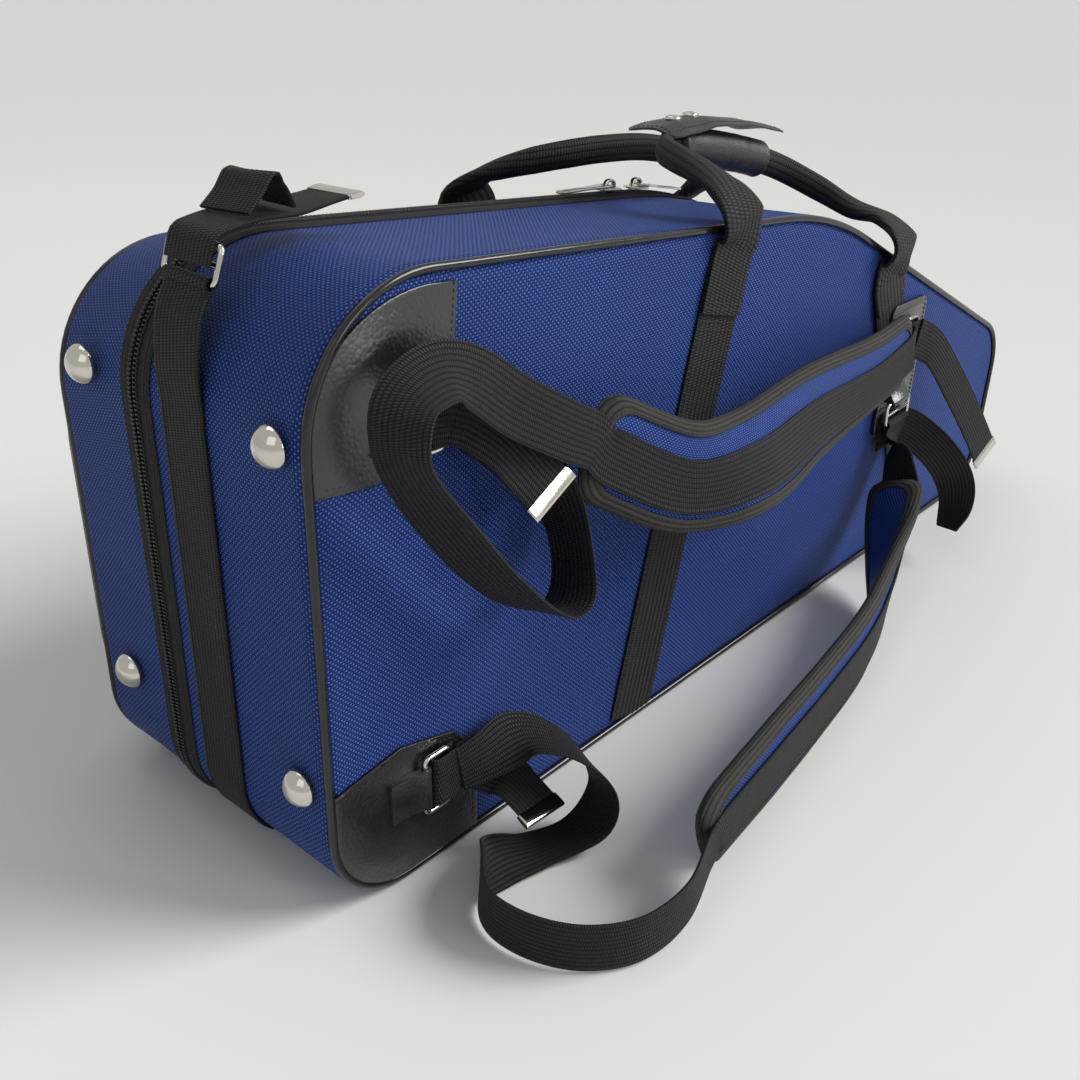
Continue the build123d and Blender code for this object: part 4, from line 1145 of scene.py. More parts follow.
@dataclass
class Shell:
    """One padded tray of the case: woven outside, turned rim and plush wall inside."""

    form: CaseForm
    finishes: Finishes
    body: Body
    face: float
    rim: float
    wall_floor: float
    wall: float = 14.0
    bead: float = 5.0
    middle: tuple[tuple[float, float], tuple[float, float]] = ((-235.0, 160.0), (180.0, 120.0))
    band_half: float = 23.0
    band_clear: float = 2.1
    strip_clear: float = 3.6
    strip_half: float = 16.6

    def spine_cleared(self, ring: np.ndarray) -> np.ndarray:
        """Lifts the fabric under the spine where the bands and the hinge strip lie in it.

        Args:
            ring: A ring of the tray.

        Returns:
            The lifted ring.
        """
        ring = ring.copy()
        near_spine = ring[:, 2] < 6.0
        for foot in self.form.band_feet:
            under = near_spine & (np.abs(ring[:, 0] - foot) < self.band_half)
            ring[under, 2] = np.maximum(ring[under, 2], self.band_clear)
        if abs(ring[0, 1] - self.form.zip) < self.strip_half:
            inside = (ring[:, 0] > self.form.bell_x + 52) & (ring[:, 0] < self.form.narrow_x - 48)
            ring[inside & near_spine, 2] = np.maximum(ring[inside & near_spine, 2], self.strip_clear)
        return ring

    def face_rows(self) -> list[np.ndarray]:
        """Draws the flat face.

        Returns:
            Its rings, from beside the piping to the middle line.
        """
        inward = 1.0 if self.face < self.form.zip else -1.0
        rows = [self.form.ring(self.face + inward * 1.4, -self.bead + 0.8)]
        rows.append(self.form.ring(self.face + inward * 0.7, -self.bead - 0.6))
        edge = self.form.ring(self.face, -self.bead - 3.0)
        target = drawn_in(edge, self.middle)
        for step in np.linspace(0, 1, 34):
            row = edge + (target - edge) * step
            for point in row:
                wave = noise.noise(Vector((point[0] / 95.0, point[2] / 95.0, self.face)))
                point[1] += inward * (0.45 + 0.45 * wave) * min(1.0, 6 * step)
            rows.append(row)
        return rows

    def wall_rows(self) -> list[np.ndarray]:
        """Draws the side wall.

        Returns:
            Its rings, from the piping to the rim.
        """
        toward = 1.0 if self.rim > self.face else -1.0
        rows = [self.form.ring(self.face + toward * 1.2, -2.4)]
        rows.append(self.form.ring(self.face + toward * 3.2, -1.1))
        depth = abs(self.rim - self.face)
        for step in np.linspace(0, 1, 26):
            y = self.face + toward * (6.0 + (depth - 6.0) * step)
            ring = self.form.ring(y)
            middle = np.array([self.form.narrow_x * 0.1, 0.0, 150.0])
            for point in ring:
                wave = noise.noise(Vector((point[0] / 80.0, y / 60.0, point[2] / 80.0)))
                away = unit((point - middle) * np.array([1.0, 0.0, 1.0]))
                point -= away * (0.35 + 0.35 * wave) * math.sin(math.pi * step) ** 0.5
            rows.append(self.spine_cleared(ring))
        return rows

    def inner_rows(self) -> list[np.ndarray]:
        """Draws the rim and the inner wall.

        Returns:
            Their rings, from the outside over the rim and down.
        """
        toward = 1.0 if self.rim > self.face else -1.0
        rows = []
        over = ((0.0, -0.3), (0.5, -1.6), (0.6, -4.0), (0.5, -9.0), (0.2, -12.4), (-0.9, -self.wall))
        for lift, grow in over:
            rows.append(self.spine_cleared(self.form.ring(self.rim + toward * lift, grow)))
        for y in np.linspace(self.rim - toward * 4.0, self.wall_floor, 7):
            rows.append(self.form.ring(y, -self.wall))
        return rows

    def build(self) -> None:
        """Makes the outer cover and the inner wall."""
        cover = Skin()
        face = self.face_rows()
        cover.grid(np.array(face), cloth_flat(face))
        wall = self.wall_rows()
        cover.grid(np.array(wall), cloth_round(wall, [row[0, 1] for row in wall]))
        node = f"{self.body.value}_shell"
        piece = cover.piece(f"{self.body.value}_cover", self.finishes.shell)
        fitted(piece, self.body, Slot.SHELL, [node])
        inside = Skin()
        rows = self.inner_rows()
        inside.grid(np.array(rows), cloth_round(rows, [6.0 * i for i in range(len(rows))]))
        piece = inside.piece(f"{self.body.value}_inner_wall", self.finishes.plush)
        fitted(piece, self.body, Slot.LINING, [node])


@dataclass
class RowOfPieces:
    """Geometry Nodes tree that stands copies of one small piece along lines of points."""

    name: str
    group: bpy.types.NodeTree = field(init=False)
    inputs: dict[str, str] = field(init=False, default_factory=dict)

    def __post_init__(self) -> None:
        """Builds the tree."""
        self.group = bpy.data.node_groups.new(self.name, "GeometryNodeTree")
        self.group.is_modifier = True
        face = self.group.interface
        face.new_socket("Geometry", in_out="INPUT", socket_type="NodeSocketGeometry")
        for title, kind in (
            ("Piece", "NodeSocketObject"),
            ("Pitch", "NodeSocketFloat"),
            ("Shift", "NodeSocketFloat"),
            ("Unevenness", "NodeSocketFloat"),
            ("Finish", "NodeSocketMaterial"),
        ):
            socket = face.new_socket(title, in_out="INPUT", socket_type=kind)
            self.inputs[title] = socket.identifier
        face.new_socket("Geometry", in_out="OUTPUT", socket_type="NodeSocketGeometry")
        self.wire()

    def wire(self) -> None:
        """Adds the nodes and their links."""
        add = self.group.nodes.new
        given = add("NodeGroupInput")
        curve = add("GeometryNodeMeshToCurve")
        spaced = add("GeometryNodeResampleCurve")
        spaced.mode = "LENGTH"
        tangent = add("GeometryNodeInputTangent")
        slide = add("ShaderNodeVectorMath")
        slide.operation = "SCALE"
        moved = add("GeometryNodeSetPosition")
        upward = add("GeometryNodeInputNamedAttribute")
        upward.data_type = "FLOAT_VECTOR"
        upward.inputs["Name"].default_value = "upward"
        along = add("FunctionNodeAlignRotationToVector")
        along.axis = "X"
        upright = add("FunctionNodeAlignRotationToVector")
        upright.axis = "Z"
        upright.pivot_axis = "X"
        piece = add("GeometryNodeObjectInfo")
        uneven = add("FunctionNodeRandomValue")
        uneven.data_type = "FLOAT"
        uneven.inputs["Seed"].default_value = 7
        least = add("ShaderNodeMath")
        least.operation = "SUBTRACT"
        least.inputs[0].default_value = 1.0
        stand = add("GeometryNodeInstanceOnPoints")
        real = add("GeometryNodeRealizeInstances")
        finish = add("GeometryNodeSetMaterial")
        result = add("NodeGroupOutput")
        links = (
            (given, "Geometry", curve, "Mesh"),
            (curve, "Curve", spaced, "Curve"),
            (given, "Pitch", spaced, "Length"),
            (tangent, "Tangent", slide, 0),
            (given, "Shift", slide, "Scale"),
            (spaced, "Curve", moved, "Geometry"),
            (slide, "Vector", moved, "Offset"),
            (tangent, "Tangent", along, "Vector"),
            (along, "Rotation", upright, "Rotation"),
            (upward, "Attribute", upright, "Vector"),
            (given, "Piece", piece, "Object"),
            (given, "Unevenness", least, 1),
            (moved, "Geometry", stand, "Points"),
            (piece, "Geometry", stand, "Instance"),
            (upright, "Rotation", stand, "Rotation"),
            (stand, "Instances", real, "Geometry"),
            (real, "Geometry", finish, "Geometry"),
            (given, "Finish", finish, "Material"),
            (finish, "Geometry", result, "Geometry"),
        )
        for source, output, target, socket in links:
            self.group.links.new(source.outputs[output], target.inputs[socket])
        low, high = [s for s in uneven.inputs if s.enabled and s.name in ("Min", "Max")]
        high.default_value = 1.0
        self.group.links.new(least.outputs[0], low)
        self.group.links.new([s for s in uneven.outputs if s.enabled][0], stand.inputs["Scale"])

    def along(
        self,
        name: str,
        lines: Sequence[tuple[np.ndarray, np.ndarray]],
        piece: bpy.types.Object,
        pitch: float,
        finish: bpy.types.Material,
        shift: float = 0.0,
        unevenness: float = 0.0,
    ) -> bpy.types.Object:
        """Stands copies of a piece along lines.

        Args:
            name: Name of the result.
            lines: Points of each line and the upward direction at each point, in millimetres.
            piece: The small piece, with +X along the line and +Z upward.
            pitch: Distance between copies, in millimetres.
            finish: Material of the copies.
            shift: Distance by which every copy is moved along the line, in millimetres.
            unevenness: How much smaller a copy may be, as a share.

        Returns:
            One plain mesh of all the copies.
        """
        mesh = bpy.data.meshes.new(f"{name}_line")
        points = np.concatenate([line for line, _ in lines]) * MM
        edges, start = [], 0
        for line, _ in lines:
            edges += [(start + i, start + i + 1) for i in range(len(line) - 1)]
            start += len(line)
        mesh.from_pydata(points, edges, [])
        upward = mesh.attributes.new("upward", "FLOAT_VECTOR", "POINT")
        upward.data.foreach_set("vector", unit(np.concatenate([up for _, up in lines])).ravel())
        holder = put_in_scene(f"{name}_row", mesh)
        modifier = holder.modifiers.new("row", "NODES")
        modifier.node_group = self.group
        modifier[self.inputs["Piece"]] = piece
        modifier[self.inputs["Pitch"]] = pitch * MM
        modifier[self.inputs["Shift"]] = shift * MM
        modifier[self.inputs["Unevenness"]] = unevenness
        modifier[self.inputs["Finish"]] = finish
        evaluated = holder.evaluated_get(bpy.context.evaluated_depsgraph_get())
        result = bpy.data.meshes.new_from_object(evaluated)
        result.name = name
        made = put_in_scene(name, result)
        bpy.data.objects.remove(holder)
        LOG.info("%s: %d faces along %d lines", name, len(result.polygons), len(lines))
        return made


@dataclass
class SmallParts:
    """The small shapes that rows repeat. They are kept only until every row is made."""

    made: list[bpy.types.Object] = field(default_factory=list)

    def keep(self, skin: Skin, name: str) -> bpy.types.Object:
        """Makes a small shape's object.

        Args:
            skin: Its faces.
            name: Its name.

        Returns:
            The object.
        """
        piece = skin.piece(name, None, 60.0)
        self.made.append(piece)
        return piece

    def rod(
        self, name: str, length: float, width: float, height: float, arch: float = 0.0
    ) -> bpy.types.Object:
        """Short rounded rod along X, such as one stitch.

        Args:
            name: Its name.
            length: Length along X, in millimetres.
            width: Width along Y.
            height: Height along Z.
            arch: How far its middle stands above its ends.

        Returns:
            The object.
        """
        rows = []
        rings = ((-1.0, 0.35), (-0.75, 0.85), (-0.25, 1.0), (0.25, 1.0), (0.75, 0.85), (1.0, 0.35))
        for share, size in rings:
            middle = np.array([share * length / 2, 0.0, arch * (1 - share**2)])
            turns = np.linspace(0, 2 * math.pi, 6, endpoint=False)
            ring = [(0.0, width / 2 * size * math.cos(a), height / 2 * size * math.sin(a)) for a in turns]
            rows.append(middle + np.array(ring))
        skin = Skin()
        skin.tube(np.array(rows))
        return self.keep(skin, name)

    def clear(self) -> None:
        """Removes the small shapes."""
        for piece in self.made:
            bpy.data.objects.remove(piece)
        self.made.clear()


@dataclass
class Workshop:
    """What every sub-assembly uses: the case's form, its finishes, rows and small shapes."""

    form: CaseForm
    finishes: Finishes
    nodes: dict[str, bpy.types.Object]
    rows: RowOfPieces = field(default_factory=lambda: RowOfPieces("row_along_lines"))
    small: SmallParts = field(default_factory=SmallParts)
    stitch: bpy.types.Object = field(init=False)
    tooth: bpy.types.Object = field(init=False)

    def __post_init__(self) -> None:
        """Makes the stitch, and the zip tooth with its long way across the zip."""
        self.stitch = self.small.rod("stitch_shape", 2.5, 0.62, 0.42, 0.12)
        self.tooth = self.small.rod("tooth_shape", 2.9, 1.55, 1.9)
        self.tooth.data.transform(Matrix.Rotation(math.pi / 2, 4, "Z"))

    def stitched(
        self,
        name: str,
        body: Body,
        lines: Sequence[tuple[np.ndarray, np.ndarray]],
        slot: Slot,
        pitch: float = 3.2,
    ) -> None:
        """Makes rows of stitches along lines.

        Args:
            name: Name of the piece.
            body: Body that it rides on.
            lines: Points of each line with the upward directions.
            slot: Material slot of what is sewn.
            pitch: Distance between stitches, in millimetres.
        """
        piece = self.rows.along(name, lines, self.stitch, pitch, self.finishes.thread, unevenness=0.12)
        fitted(piece, body, slot)


def lengthwise(skin: Skin, lines: Sequence[np.ndarray], girth: np.ndarray) -> None:
    """Adds a closed strip from the lines along its corners.

    Args:
        skin: Skin that takes the faces.
        lines: Points along each corner of its section.
        girth: Distance round the section at each corner, and where it closes.
    """
    rows = np.array(lines).transpose(1, 0, 2)
    skin.tube(rows, np.stack(np.meshgrid(run_along(rows[:, 0]), girth, indexing="ij"), axis=2))


def strip_round(skin: Skin, form: CaseForm, section: Sequence[tuple[float, float]]) -> None:
    """Adds a strip that runs along the zip from one foot of the case to the other.

    Args:
        skin: Skin that takes the faces.
        form: The case's form.
        section: Closed section, each corner as its plane y and how far outside the outline it lies.
    """
    closed = np.array([*section, section[0]])
    lengthwise(skin, [form.open_ring(y, grow) for y, grow in section], run_along(closed))


@dataclass
class Piping:
    """Vinyl bead round a flat face."""

    shop: Workshop
    body: Body
    face: float
    radius: float = 2.5
    sides: int = 14

    def build(self) -> None:
        """Makes the bead."""
        path = self.shop.form.ring(self.face, -self.radius)
        middle = np.mean(path, axis=0)
        frames = Frames.along(path, path - middle, closed=True)
        rows = []
        for turn in np.linspace(0, 2 * math.pi, self.sides, endpoint=False):
            offset = frames.outward * math.cos(turn) + frames.across * math.sin(turn)
            swell = np.array([1 + 0.05 * noise.noise(Vector(p / 23.0)) for p in path])[:, None]
            rows.append(path + offset * self.radius * (swell - 0.05))
        rows.append(rows[0])
        run = np.append(run_along(path), 0.0)
        cloth = np.stack(np.meshgrid(np.arange(len(rows)) * 1.1, run, indexing="ij"), axis=2)
        skin = Skin()
        skin.grid(np.array(rows), cloth)
        piece = skin.piece(f"{self.body.value}_bead", self.shop.finishes.piping, 70.0)
        fitted(piece, self.body, Slot.PIPING, [f"{self.body.value}_piping"])


@dataclass
class ZipSide:
    """One side of the main zip: its tape, its teeth and the stitches that hold the tape."""

    shop: Workshop
    body: Body
    outer: float
    inner: float
    tape: float = 1.2
    tooth_width: float = 2.8
    pitch: float = 2.4

    def build(self) -> None:
        """Makes the tape, teeth and stitches."""
        form, side = self.shop.form, self.body.value
        toward = 1.0 if self.inner > self.outer else -1.0
        width = abs(self.inner - self.outer)
        section = [(self.outer, 0.0), (self.outer, 0.8)]
        for share, high in ((0.06, 1.1), (0.3, 1.0), (0.42, 1.25), (0.55, 1.0), (0.72, 1.25), (1.0, 1.1)):
            section.append((self.outer + toward * width * share, high))
        section.append((self.inner, 0.0))
        skin = Skin()
        strip_round(skin, form, section)
        tape = skin.piece(f"{side}_tape", self.shop.finishes.tape)
        fitted(tape, self.body, Slot.TAPE, [f"{side}_zip_tape"])
        line = form.open_ring(self.inner - toward * self.tooth_width / 2, self.tape + 0.9)
        shift = 0.0 if self.body is Body.BASE else self.pitch / 2
        teeth = self.shop.rows.along(
            f"{side}_teeth",
            [(line, form.outward(line))],
            self.shop.tooth,
            self.pitch,
            self.shop.finishes.coil,
            shift,
        )
        fitted(teeth, self.body, Slot.COIL, [f"{side}_zip_coil"])
        cord = Skin()
        near = self.inner - toward * self.tooth_width
        far = near + toward * 0.9
        strip_round(cord, form, [(near, 1.0), (near, 2.0), (far, 2.0), (far, 1.0)])
        fitted(cord.piece(f"{side}_coil_cord", self.shop.finishes.thread), self.body, Slot.COIL)
        seams = []
        for y, high in ((self.outer + toward * 1.6, 1.25), (self.outer + toward * 4.4, 1.35)):
            line = form.open_ring(y, high)
            seams.append((line, form.outward(line)))
        self.shop.stitched(f"{side}_tape_stitches", self.body, seams, Slot.TAPE, 2.9)


@dataclass
class SpineStrip:
    """One leaf of the fabric hinge along the spine."""

    shop: Workshop
    body: Body
    low: float
    high: float
    start: float = -357.5
    end: float = 362.5
    thickness: float = 3.2

    def build(self) -> None:
        """Makes the leaf, lying over the bands that pass under it."""
        places = np.arange(self.start, self.end + 1, 7.5)
        middle = (self.low + self.high) / 2
        spots = np.array([(x, middle, self.thickness / 2 + self.lift(x)) for x in places])
        frames = Frames.along(spots, same_way((0.0, 0.0, -1.0), len(spots)))
        section = StrapSection(self.high - self.low, self.thickness - 0.4, 5.0, 0.05).outline()
        skin = Skin()
        swept(skin, frames, section)
        piece = skin.piece(f"hinge_leaf_{self.body.value}", self.shop.finishes.binding)
        fitted(piece, self.body, Slot.TAPE, [f"spine_strip_{self.body.value}"])

    def lift(self, x: float) -> float:
        """How far the leaf rises over a band."""
        near = min(abs(x - foot) for foot in self.shop.form.band_feet)
        return 0.9 * float(np.clip((30.0 - near) / 7.0, 0.0, 1.0))


@dataclass
class FlatBand:
    """A webbing band: up a flat face to the handle's line, and under the spine to the hinge."""

    shop: Workshop
    name: str
    body: Body
    face: float
    foot: float
    lean: float
    hinge: float
    width: float = 44.0
    thickness: float = 1.8
    top_margin: float = 18.0
    stitch_inset: float = 2.6
    stitch_lift: float = 0.95
    cross_seam: float | None = None

    def top(self) -> tuple[float, float]:
        """Finds the middle of the band's top end.

        Returns:
            Its x and z on the face.
        """
        high = self.shop.form.top(self.foot, self.face) - self.top_margin
        for _ in range(8):
            high = self.shop.form.top(self.foot + self.lean * high, self.face) - self.top_margin
        return self.foot + self.lean * high, high

    def build(self) -> None:
        """Makes both stretches and their stitches."""
        out = -1.0 if self.face < 0 else 1.0
        y = self.face + out * (self.thickness / 2 - 0.15)
        x, z = self.top()
        low, high = np.array([self.foot + self.lean * 5.0, y, 5.0]), np.array([x, y, z])
        spots = np.linspace(low, high, 60)
        for spot in spots:
            spot[1] -= out * 0.15 * noise.noise(Vector((0.0, spot[2] / 30.0, self.foot)))
        up = same_way((0.0, out, 0.0), len(spots))
        frames = Frames.along(spots, up)
        section = StrapSection(self.width, self.thickness, 5.2, 0.3).outline()
        skin = Skin()
        swept(skin, frames, section)
        inner = self.face - out * 3.0
        under = np.linspace((self.foot, inner, 1.0), (self.foot, self.hinge, 1.0), 24)
        frames_under = Frames.along(under, same_way((0.0, 0.0, -1.0), len(under)))
        swept(skin, frames_under, StrapSection(self.width, self.thickness - 0.2, 5.2, 0.2).outline())
        for block in skin.points:
            block[:, 2] = np.maximum(block[:, 2], 0.2)
        piece = skin.piece(f"{self.name}_webbing_{self.body.value}", self.shop.finishes.band)
        fitted(piece, self.body, Slot.WEBBING, [f"{self.name}_{self.body.value}"])
        seams = []
        for side in (-1, 1):
            line = frames.beside(side, self.width / 2 - self.stitch_inset, self.stitch_lift)
            seams.append((line[line[:, 2] > 3.0], up[line[:, 2] > 3.0]))
        if self.cross_seam is not None:
            at = int(np.argmin(np.abs(frames.run - (frames.run[-1] - self.cross_seam))))
            for shift in (0, 1):
                middle = frames.spots[at - shift] + frames.outward[at] * self.stitch_lift
                reach = np.linspace(-self.width / 2 + 3, self.width / 2 - 3, 14)
                seams.append((middle + reach[:, None] * frames.across[at], up[: len(reach)]))
        self.shop.stitched(f"{self.name}_stitches_{self.body.value}", self.body, seams, Slot.WEBBING, 3.4)


def nearest(spots: np.ndarray, first: np.ndarray, second: np.ndarray) -> tuple[np.ndarray, np.ndarray]:
    """Nearest places on straight edges.

    Args:
        spots: Points in a plane.
        first: Start of each edge.
        second: End of each edge.

    Returns:
        Distance of each point from the edges, and the place on them that is nearest to it.
    """
    along = second - first
    square = np.maximum((along**2).sum(axis=1), 1e-14)
    share = np.clip(((spots[:, None] - first) * along).sum(axis=2) / square, 0.0, 1.0)
    places = first + along * share[:, :, None]
    far = np.linalg.norm(places - spots[:, None], axis=2)
    best = far.argmin(axis=1)
    rows = np.arange(len(spots))
    return far[rows, best], places[rows, best]


@dataclass(frozen=True)
class Swell:
    """Soft rise of a padded leather patch, which falls to nothing at its edges."""

    middle: tuple[float, float]
    spread: tuple[float, float]
    rise: float
    reach: float = 15.0
    step: float = 3.0

    def apply(self, work: bmesh.types.BMesh) -> None:
        """Cuts the patch's outer face into small squares and raises them.

        Args:
            work: The patch's mesh, in metres.
        """
        face = min(f.calc_center_median().y for f in work.faces if f.normal.y < -0.99)
        flat = self.outer_faces(work, face)
        rim = [e for e in work.edges if len([f for f in e.link_faces if f in flat]) == 1]
        ends = np.array([[tuple(v.co) for v in e.verts] for e in rim])[:, :, [0, 2]]
        for axis in (0, 2):
            way = tuple(1.0 if k == axis else 0.0 for k in range(3))
            low, high = ends[:, :, axis // 2].min(), ends[:, :, axis // 2].max()
            for place in np.arange(low + self.step * MM, high, self.step * MM):
                cut = self.outer_faces(work, face)
                touched = {e for f in cut for e in f.edges}
                verts = {v for e in touched for v in e.verts}
                spot = tuple(float(place) * w for w in way)
                geom = list(verts) + list(touched) + cut
                bmesh.ops.bisect_plane(work, geom=geom, dist=1e-7, plane_co=spot, plane_no=way)
        verts = [v for v in work.verts if abs(v.co.y - face) < 1e-5]
        spots = np.array([(v.co.x, v.co.z) for v in verts])
        near, _ = nearest(spots, ends[:, 0], ends[:, 1])
        rim_share = np.minimum(near / MM / self.reach, 1.0)
        off = (((spots / MM - np.array(self.middle)) / np.array(self.spread)) ** 2).sum(axis=1)
        rise = self.rise * rim_share * (2.0 - rim_share) * np.exp(-off)
        for vert, high, share in zip(verts, rise, rim_share):
            fold = 0.24 * noise.noise(Vector((vert.co.x * 45.0, vert.co.z * 60.0, 2.0))) * share
            vert.co.y -= (high + fold) * MM

    def outer_faces(self, work: bmesh.types.BMesh, face: float) -> list[bmesh.types.BMFace]:
        """Faces of the patch that lie in its outer plane.

        Args:
            work: The patch's mesh.
            face: The y of that plane, in metres.

        Returns:
            The faces.
        """
        outward = [f for f in work.faces if f.normal.y < -0.99]
        return [f for f in outward if abs(f.calc_center_median().y - face) < 1e-5]


@dataclass
class Hardware:
    """Metal and moulded fittings, made from the solids with rounded edges or turned and bent in code."""

    shop: Workshop

    def refined(
        self,
        name: str,
        body: Body,
        slot: Slot,
        nodes: Sequence[str],
        finish: bpy.types.Material,
        round_by: float = 0.25,
        swell: Swell | None = None,
    ) -> bpy.types.Object:
        """A merged copy of rigid solids with rounded edges.

        Args:
            name: Name of the piece.
            body: Body that it rides on.
            slot: Its material slot.
            nodes: Nodes that it copies and replaces.
            finish: Its material.
            round_by: Radius of its edges in millimetres.
            swell: Rise of its outer face, if it is padded.

        Returns:
            The piece.
        """
        work = bmesh.new()
        for node in nodes:
            work.from_mesh(self.shop.nodes[node].data)
        bmesh.ops.remove_doubles(work, verts=work.verts, dist=2e-6)
        bmesh.ops.dissolve_limit(work, angle_limit=math.radians(0.8), verts=work.verts, edges=work.edges)
        bmesh.ops.recalc_face_normals(work, faces=work.faces)
        sharp = [e for e in work.edges if len(e.link_faces) == 2 and e.calc_face_angle() > math.radians(38)]
        bmesh.ops.bevel(
            work,
            geom=sharp,
            offset=round_by * MM,
            segments=2,
            profile=0.5,
            affect="EDGES",
            clamp_overlap=True,
        )
        if swell:
            swell.apply(work)
        bmesh.ops.triangulate(work, faces=[f for f in work.faces if len(f.verts) > 4])
        mesh = bpy.data.meshes.new(name)
        work.to_mesh(mesh)
        work.free()
        mesh.materials.clear()
        mesh.materials.append(finish)
        mesh.polygons.foreach_set("use_smooth", [True] * len(mesh.polygons))
        mesh.polygons.foreach_set("material_index", [0] * len(mesh.polygons))
        mesh.set_sharp_from_angle(angle=math.radians(34))
        return fitted(put_in_scene(name, mesh), body, slot, nodes)

    def turned(
        self, skin: Skin, profile: Sequence[tuple[float, float]], seat: Matrix, sides: int = 40
    ) -> None:
        """Adds a shape turned about its own Z axis.

        Args:
            skin: Skin that takes the faces.
            profile: Radius and height of each ring, in millimetres, both ends on the axis.
            seat: Where its axis stands.
            sides: Number of sides.
        """
        turns = np.linspace(0, 2 * math.pi, sides, endpoint=False)
        rows = []
        for radius, height in profile:
            ring = [seat @ Vector((radius * math.cos(a), radius * math.sin(a), height)) for a in turns]
            rows.append(np.array([tuple(p) for p in ring]))
        skin.grid(np.array(rows), np.zeros((len(rows), sides + 1, 2)))

    def wire(self, skin: Skin, path: np.ndarray, radius: float, closed: bool, sides: int = 14) -> None:
        """Adds a round wire along a path.

        Args:
            skin: Skin that takes the faces.
            path: Points along its middle, in one plane.
            radius: Its radius in millimetres.
            closed: Whether it joins its start.
            sides: Number of sides.
        """
        middle = path.mean(axis=0)
        normals = path - middle if closed else same_way((0.0, 0.0, 1.0), len(path))
        frames = Frames.along(path, normals, closed)
        turns = np.linspace(0, 2 * math.pi, sides, endpoint=False)
        rows = [path + radius * (frames.outward * math.cos(a) + frames.across * math.sin(a)) for a in turns]
        points = np.array(rows).transpose(1, 0, 2)
        if closed:
            points = np.concatenate([points, points[:1]])
            skin.grid(points, np.zeros((len(points), sides + 1, 2)))
        else:
            skin.tube(points)


@dataclass(frozen=True)
class SlideSeat:
    """Place of a wire slide: its middle, its length direction and its outward direction."""

    middle: Point
    along: Point
    outward: Point

    def matrix(self) -> Matrix:
        """Works out the slide's frame.

        Returns:
            The frame, with X along the strap and Z outward.
        """
        x, z = Vector(self.along).normalized(), Vector(self.outward).normalized()
        y = z.cross(x)
        turned = Matrix((x, y, z)).transposed().to_4x4()
        return Matrix.Translation(self.middle) @ turned

    def point(self, x: float, y: float, z: float) -> np.ndarray:
        """A point of the slide's frame in the case's frame."""
        return np.array(self.matrix() @ Vector((x, y, z)))

    def way(self, x: float, y: float, z: float) -> np.ndarray:
        """A direction of the slide's frame in the case's frame."""
        return np.array(self.matrix().to_3x3() @ Vector((x, y, z)))


@dataclass
class WireSlide:
    """Bent wire slide with three bars, as on bag straps."""

    shop: Workshop
    seat: SlideSeat
    strap: float = 32.0
    radius: float = 1.6
    bar_pitch: float = 9.0
    webbing: float = 2.0

    def shape(self, skin: Skin) -> None:
        """Adds the frame and the middle bar.

        Args:
            skin: Skin that takes the faces.
        """
        half, corner = self.strap / 2 + self.radius + 1, self.radius * 2.2
        path = []
        for i, (sx, sy) in enumerate(((1, -1), (1, 1), (-1, 1), (-1, -1))):
            centre = (sx * (self.bar_pitch - corner), sy * (half - corner))
            for turn in np.linspace(-math.pi / 2, 0, 7) + i * math.pi / 2:
                path.append((centre[0] + corner * math.cos(turn), centre[1] + corner * math.sin(turn)))
        points = np.array([self.seat.point(x, y, 0.0) for x, y in path])
        hardware = Hardware(self.shop)
        hardware.wire(skin, points, self.radius, True)
        bar = np.array([self.seat.point(0.0, y, 0.0) for y in np.linspace(-half, half, 9)])
        hardware.wire(skin, bar, self.radius * 0.92, False)

    def fold(self, skin: Skin, reach: float, lean: float) -> None:
        """Adds webbing folded round the middle bar, its two layers running on along the strap.

        Args:
            skin: Skin that takes the faces.
            reach: Length of both layers.
            lean: Angle in degrees between the strap and the slide.
        """
        round_it = self.radius + 0.3 + self.webbing / 2
        spots = [(x, round_it) for x in np.linspace(reach, 2.0, 6)]
        spots += [(-round_it * math.sin(a), round_it * math.cos(a)) for a in np.linspace(0, math.pi, 11)]
        spots += [(x, -round_it) for x in np.linspace(2.0, reach, 6)]
        ways = [(0.0, 1.0)] * 6
        ways += [(-math.sin(a), math.cos(a)) for a in np.linspace(0, math.pi, 11)] + [(0.0, -1.0)] * 6
        slope = math.tan(math.radians(lean))
        points = np.array([self.seat.point(x, max(x, 0.0) * slope, z) for x, z in spots])
        normals = np.array([self.seat.way(x, 0.0, z) for x, z in ways])
        frames = Frames.along(points, normals)
        swept(skin, frames, StrapSection(self.strap, self.webbing - 0.1, 3.0, 0.14).outline())

    def hem(self, skin: Skin, bar: float, reach: float) -> None:
        """Adds a hem of webbing round an outer bar, with its tongue away from the slide.

        Args:
            skin: Skin that takes the faces.
            bar: Place of the bar along the slide.
            reach: Length of the tongue.
        """
        side = math.copysign(1.0, bar)
        round_it = self.radius + 0.25 + self.webbing / 2
        turns = np.linspace(math.pi * 0.86, -math.pi * 0.86, 19)
        spots = [(bar - side * round_it * math.cos(a), round_it * math.sin(a)) for a in turns]
        ways = [(-side * math.cos(a), math.sin(a)) for a in turns]
        spots = [(bar + side * reach, 0.55)] + spots + [(bar + side * reach, -0.55)]
        ways = [(0.0, 1.0)] + ways + [(0.0, -1.0)]
        points = np.array([self.seat.point(x, 0.0, z) for x, z in spots])
        frames = Frames.along(points, np.array([self.seat.way(x, 0.0, z) for x, z in ways]))
        swept(skin, frames, StrapSection(self.strap, self.webbing - 0.7, 3.0, 0.1).outline())


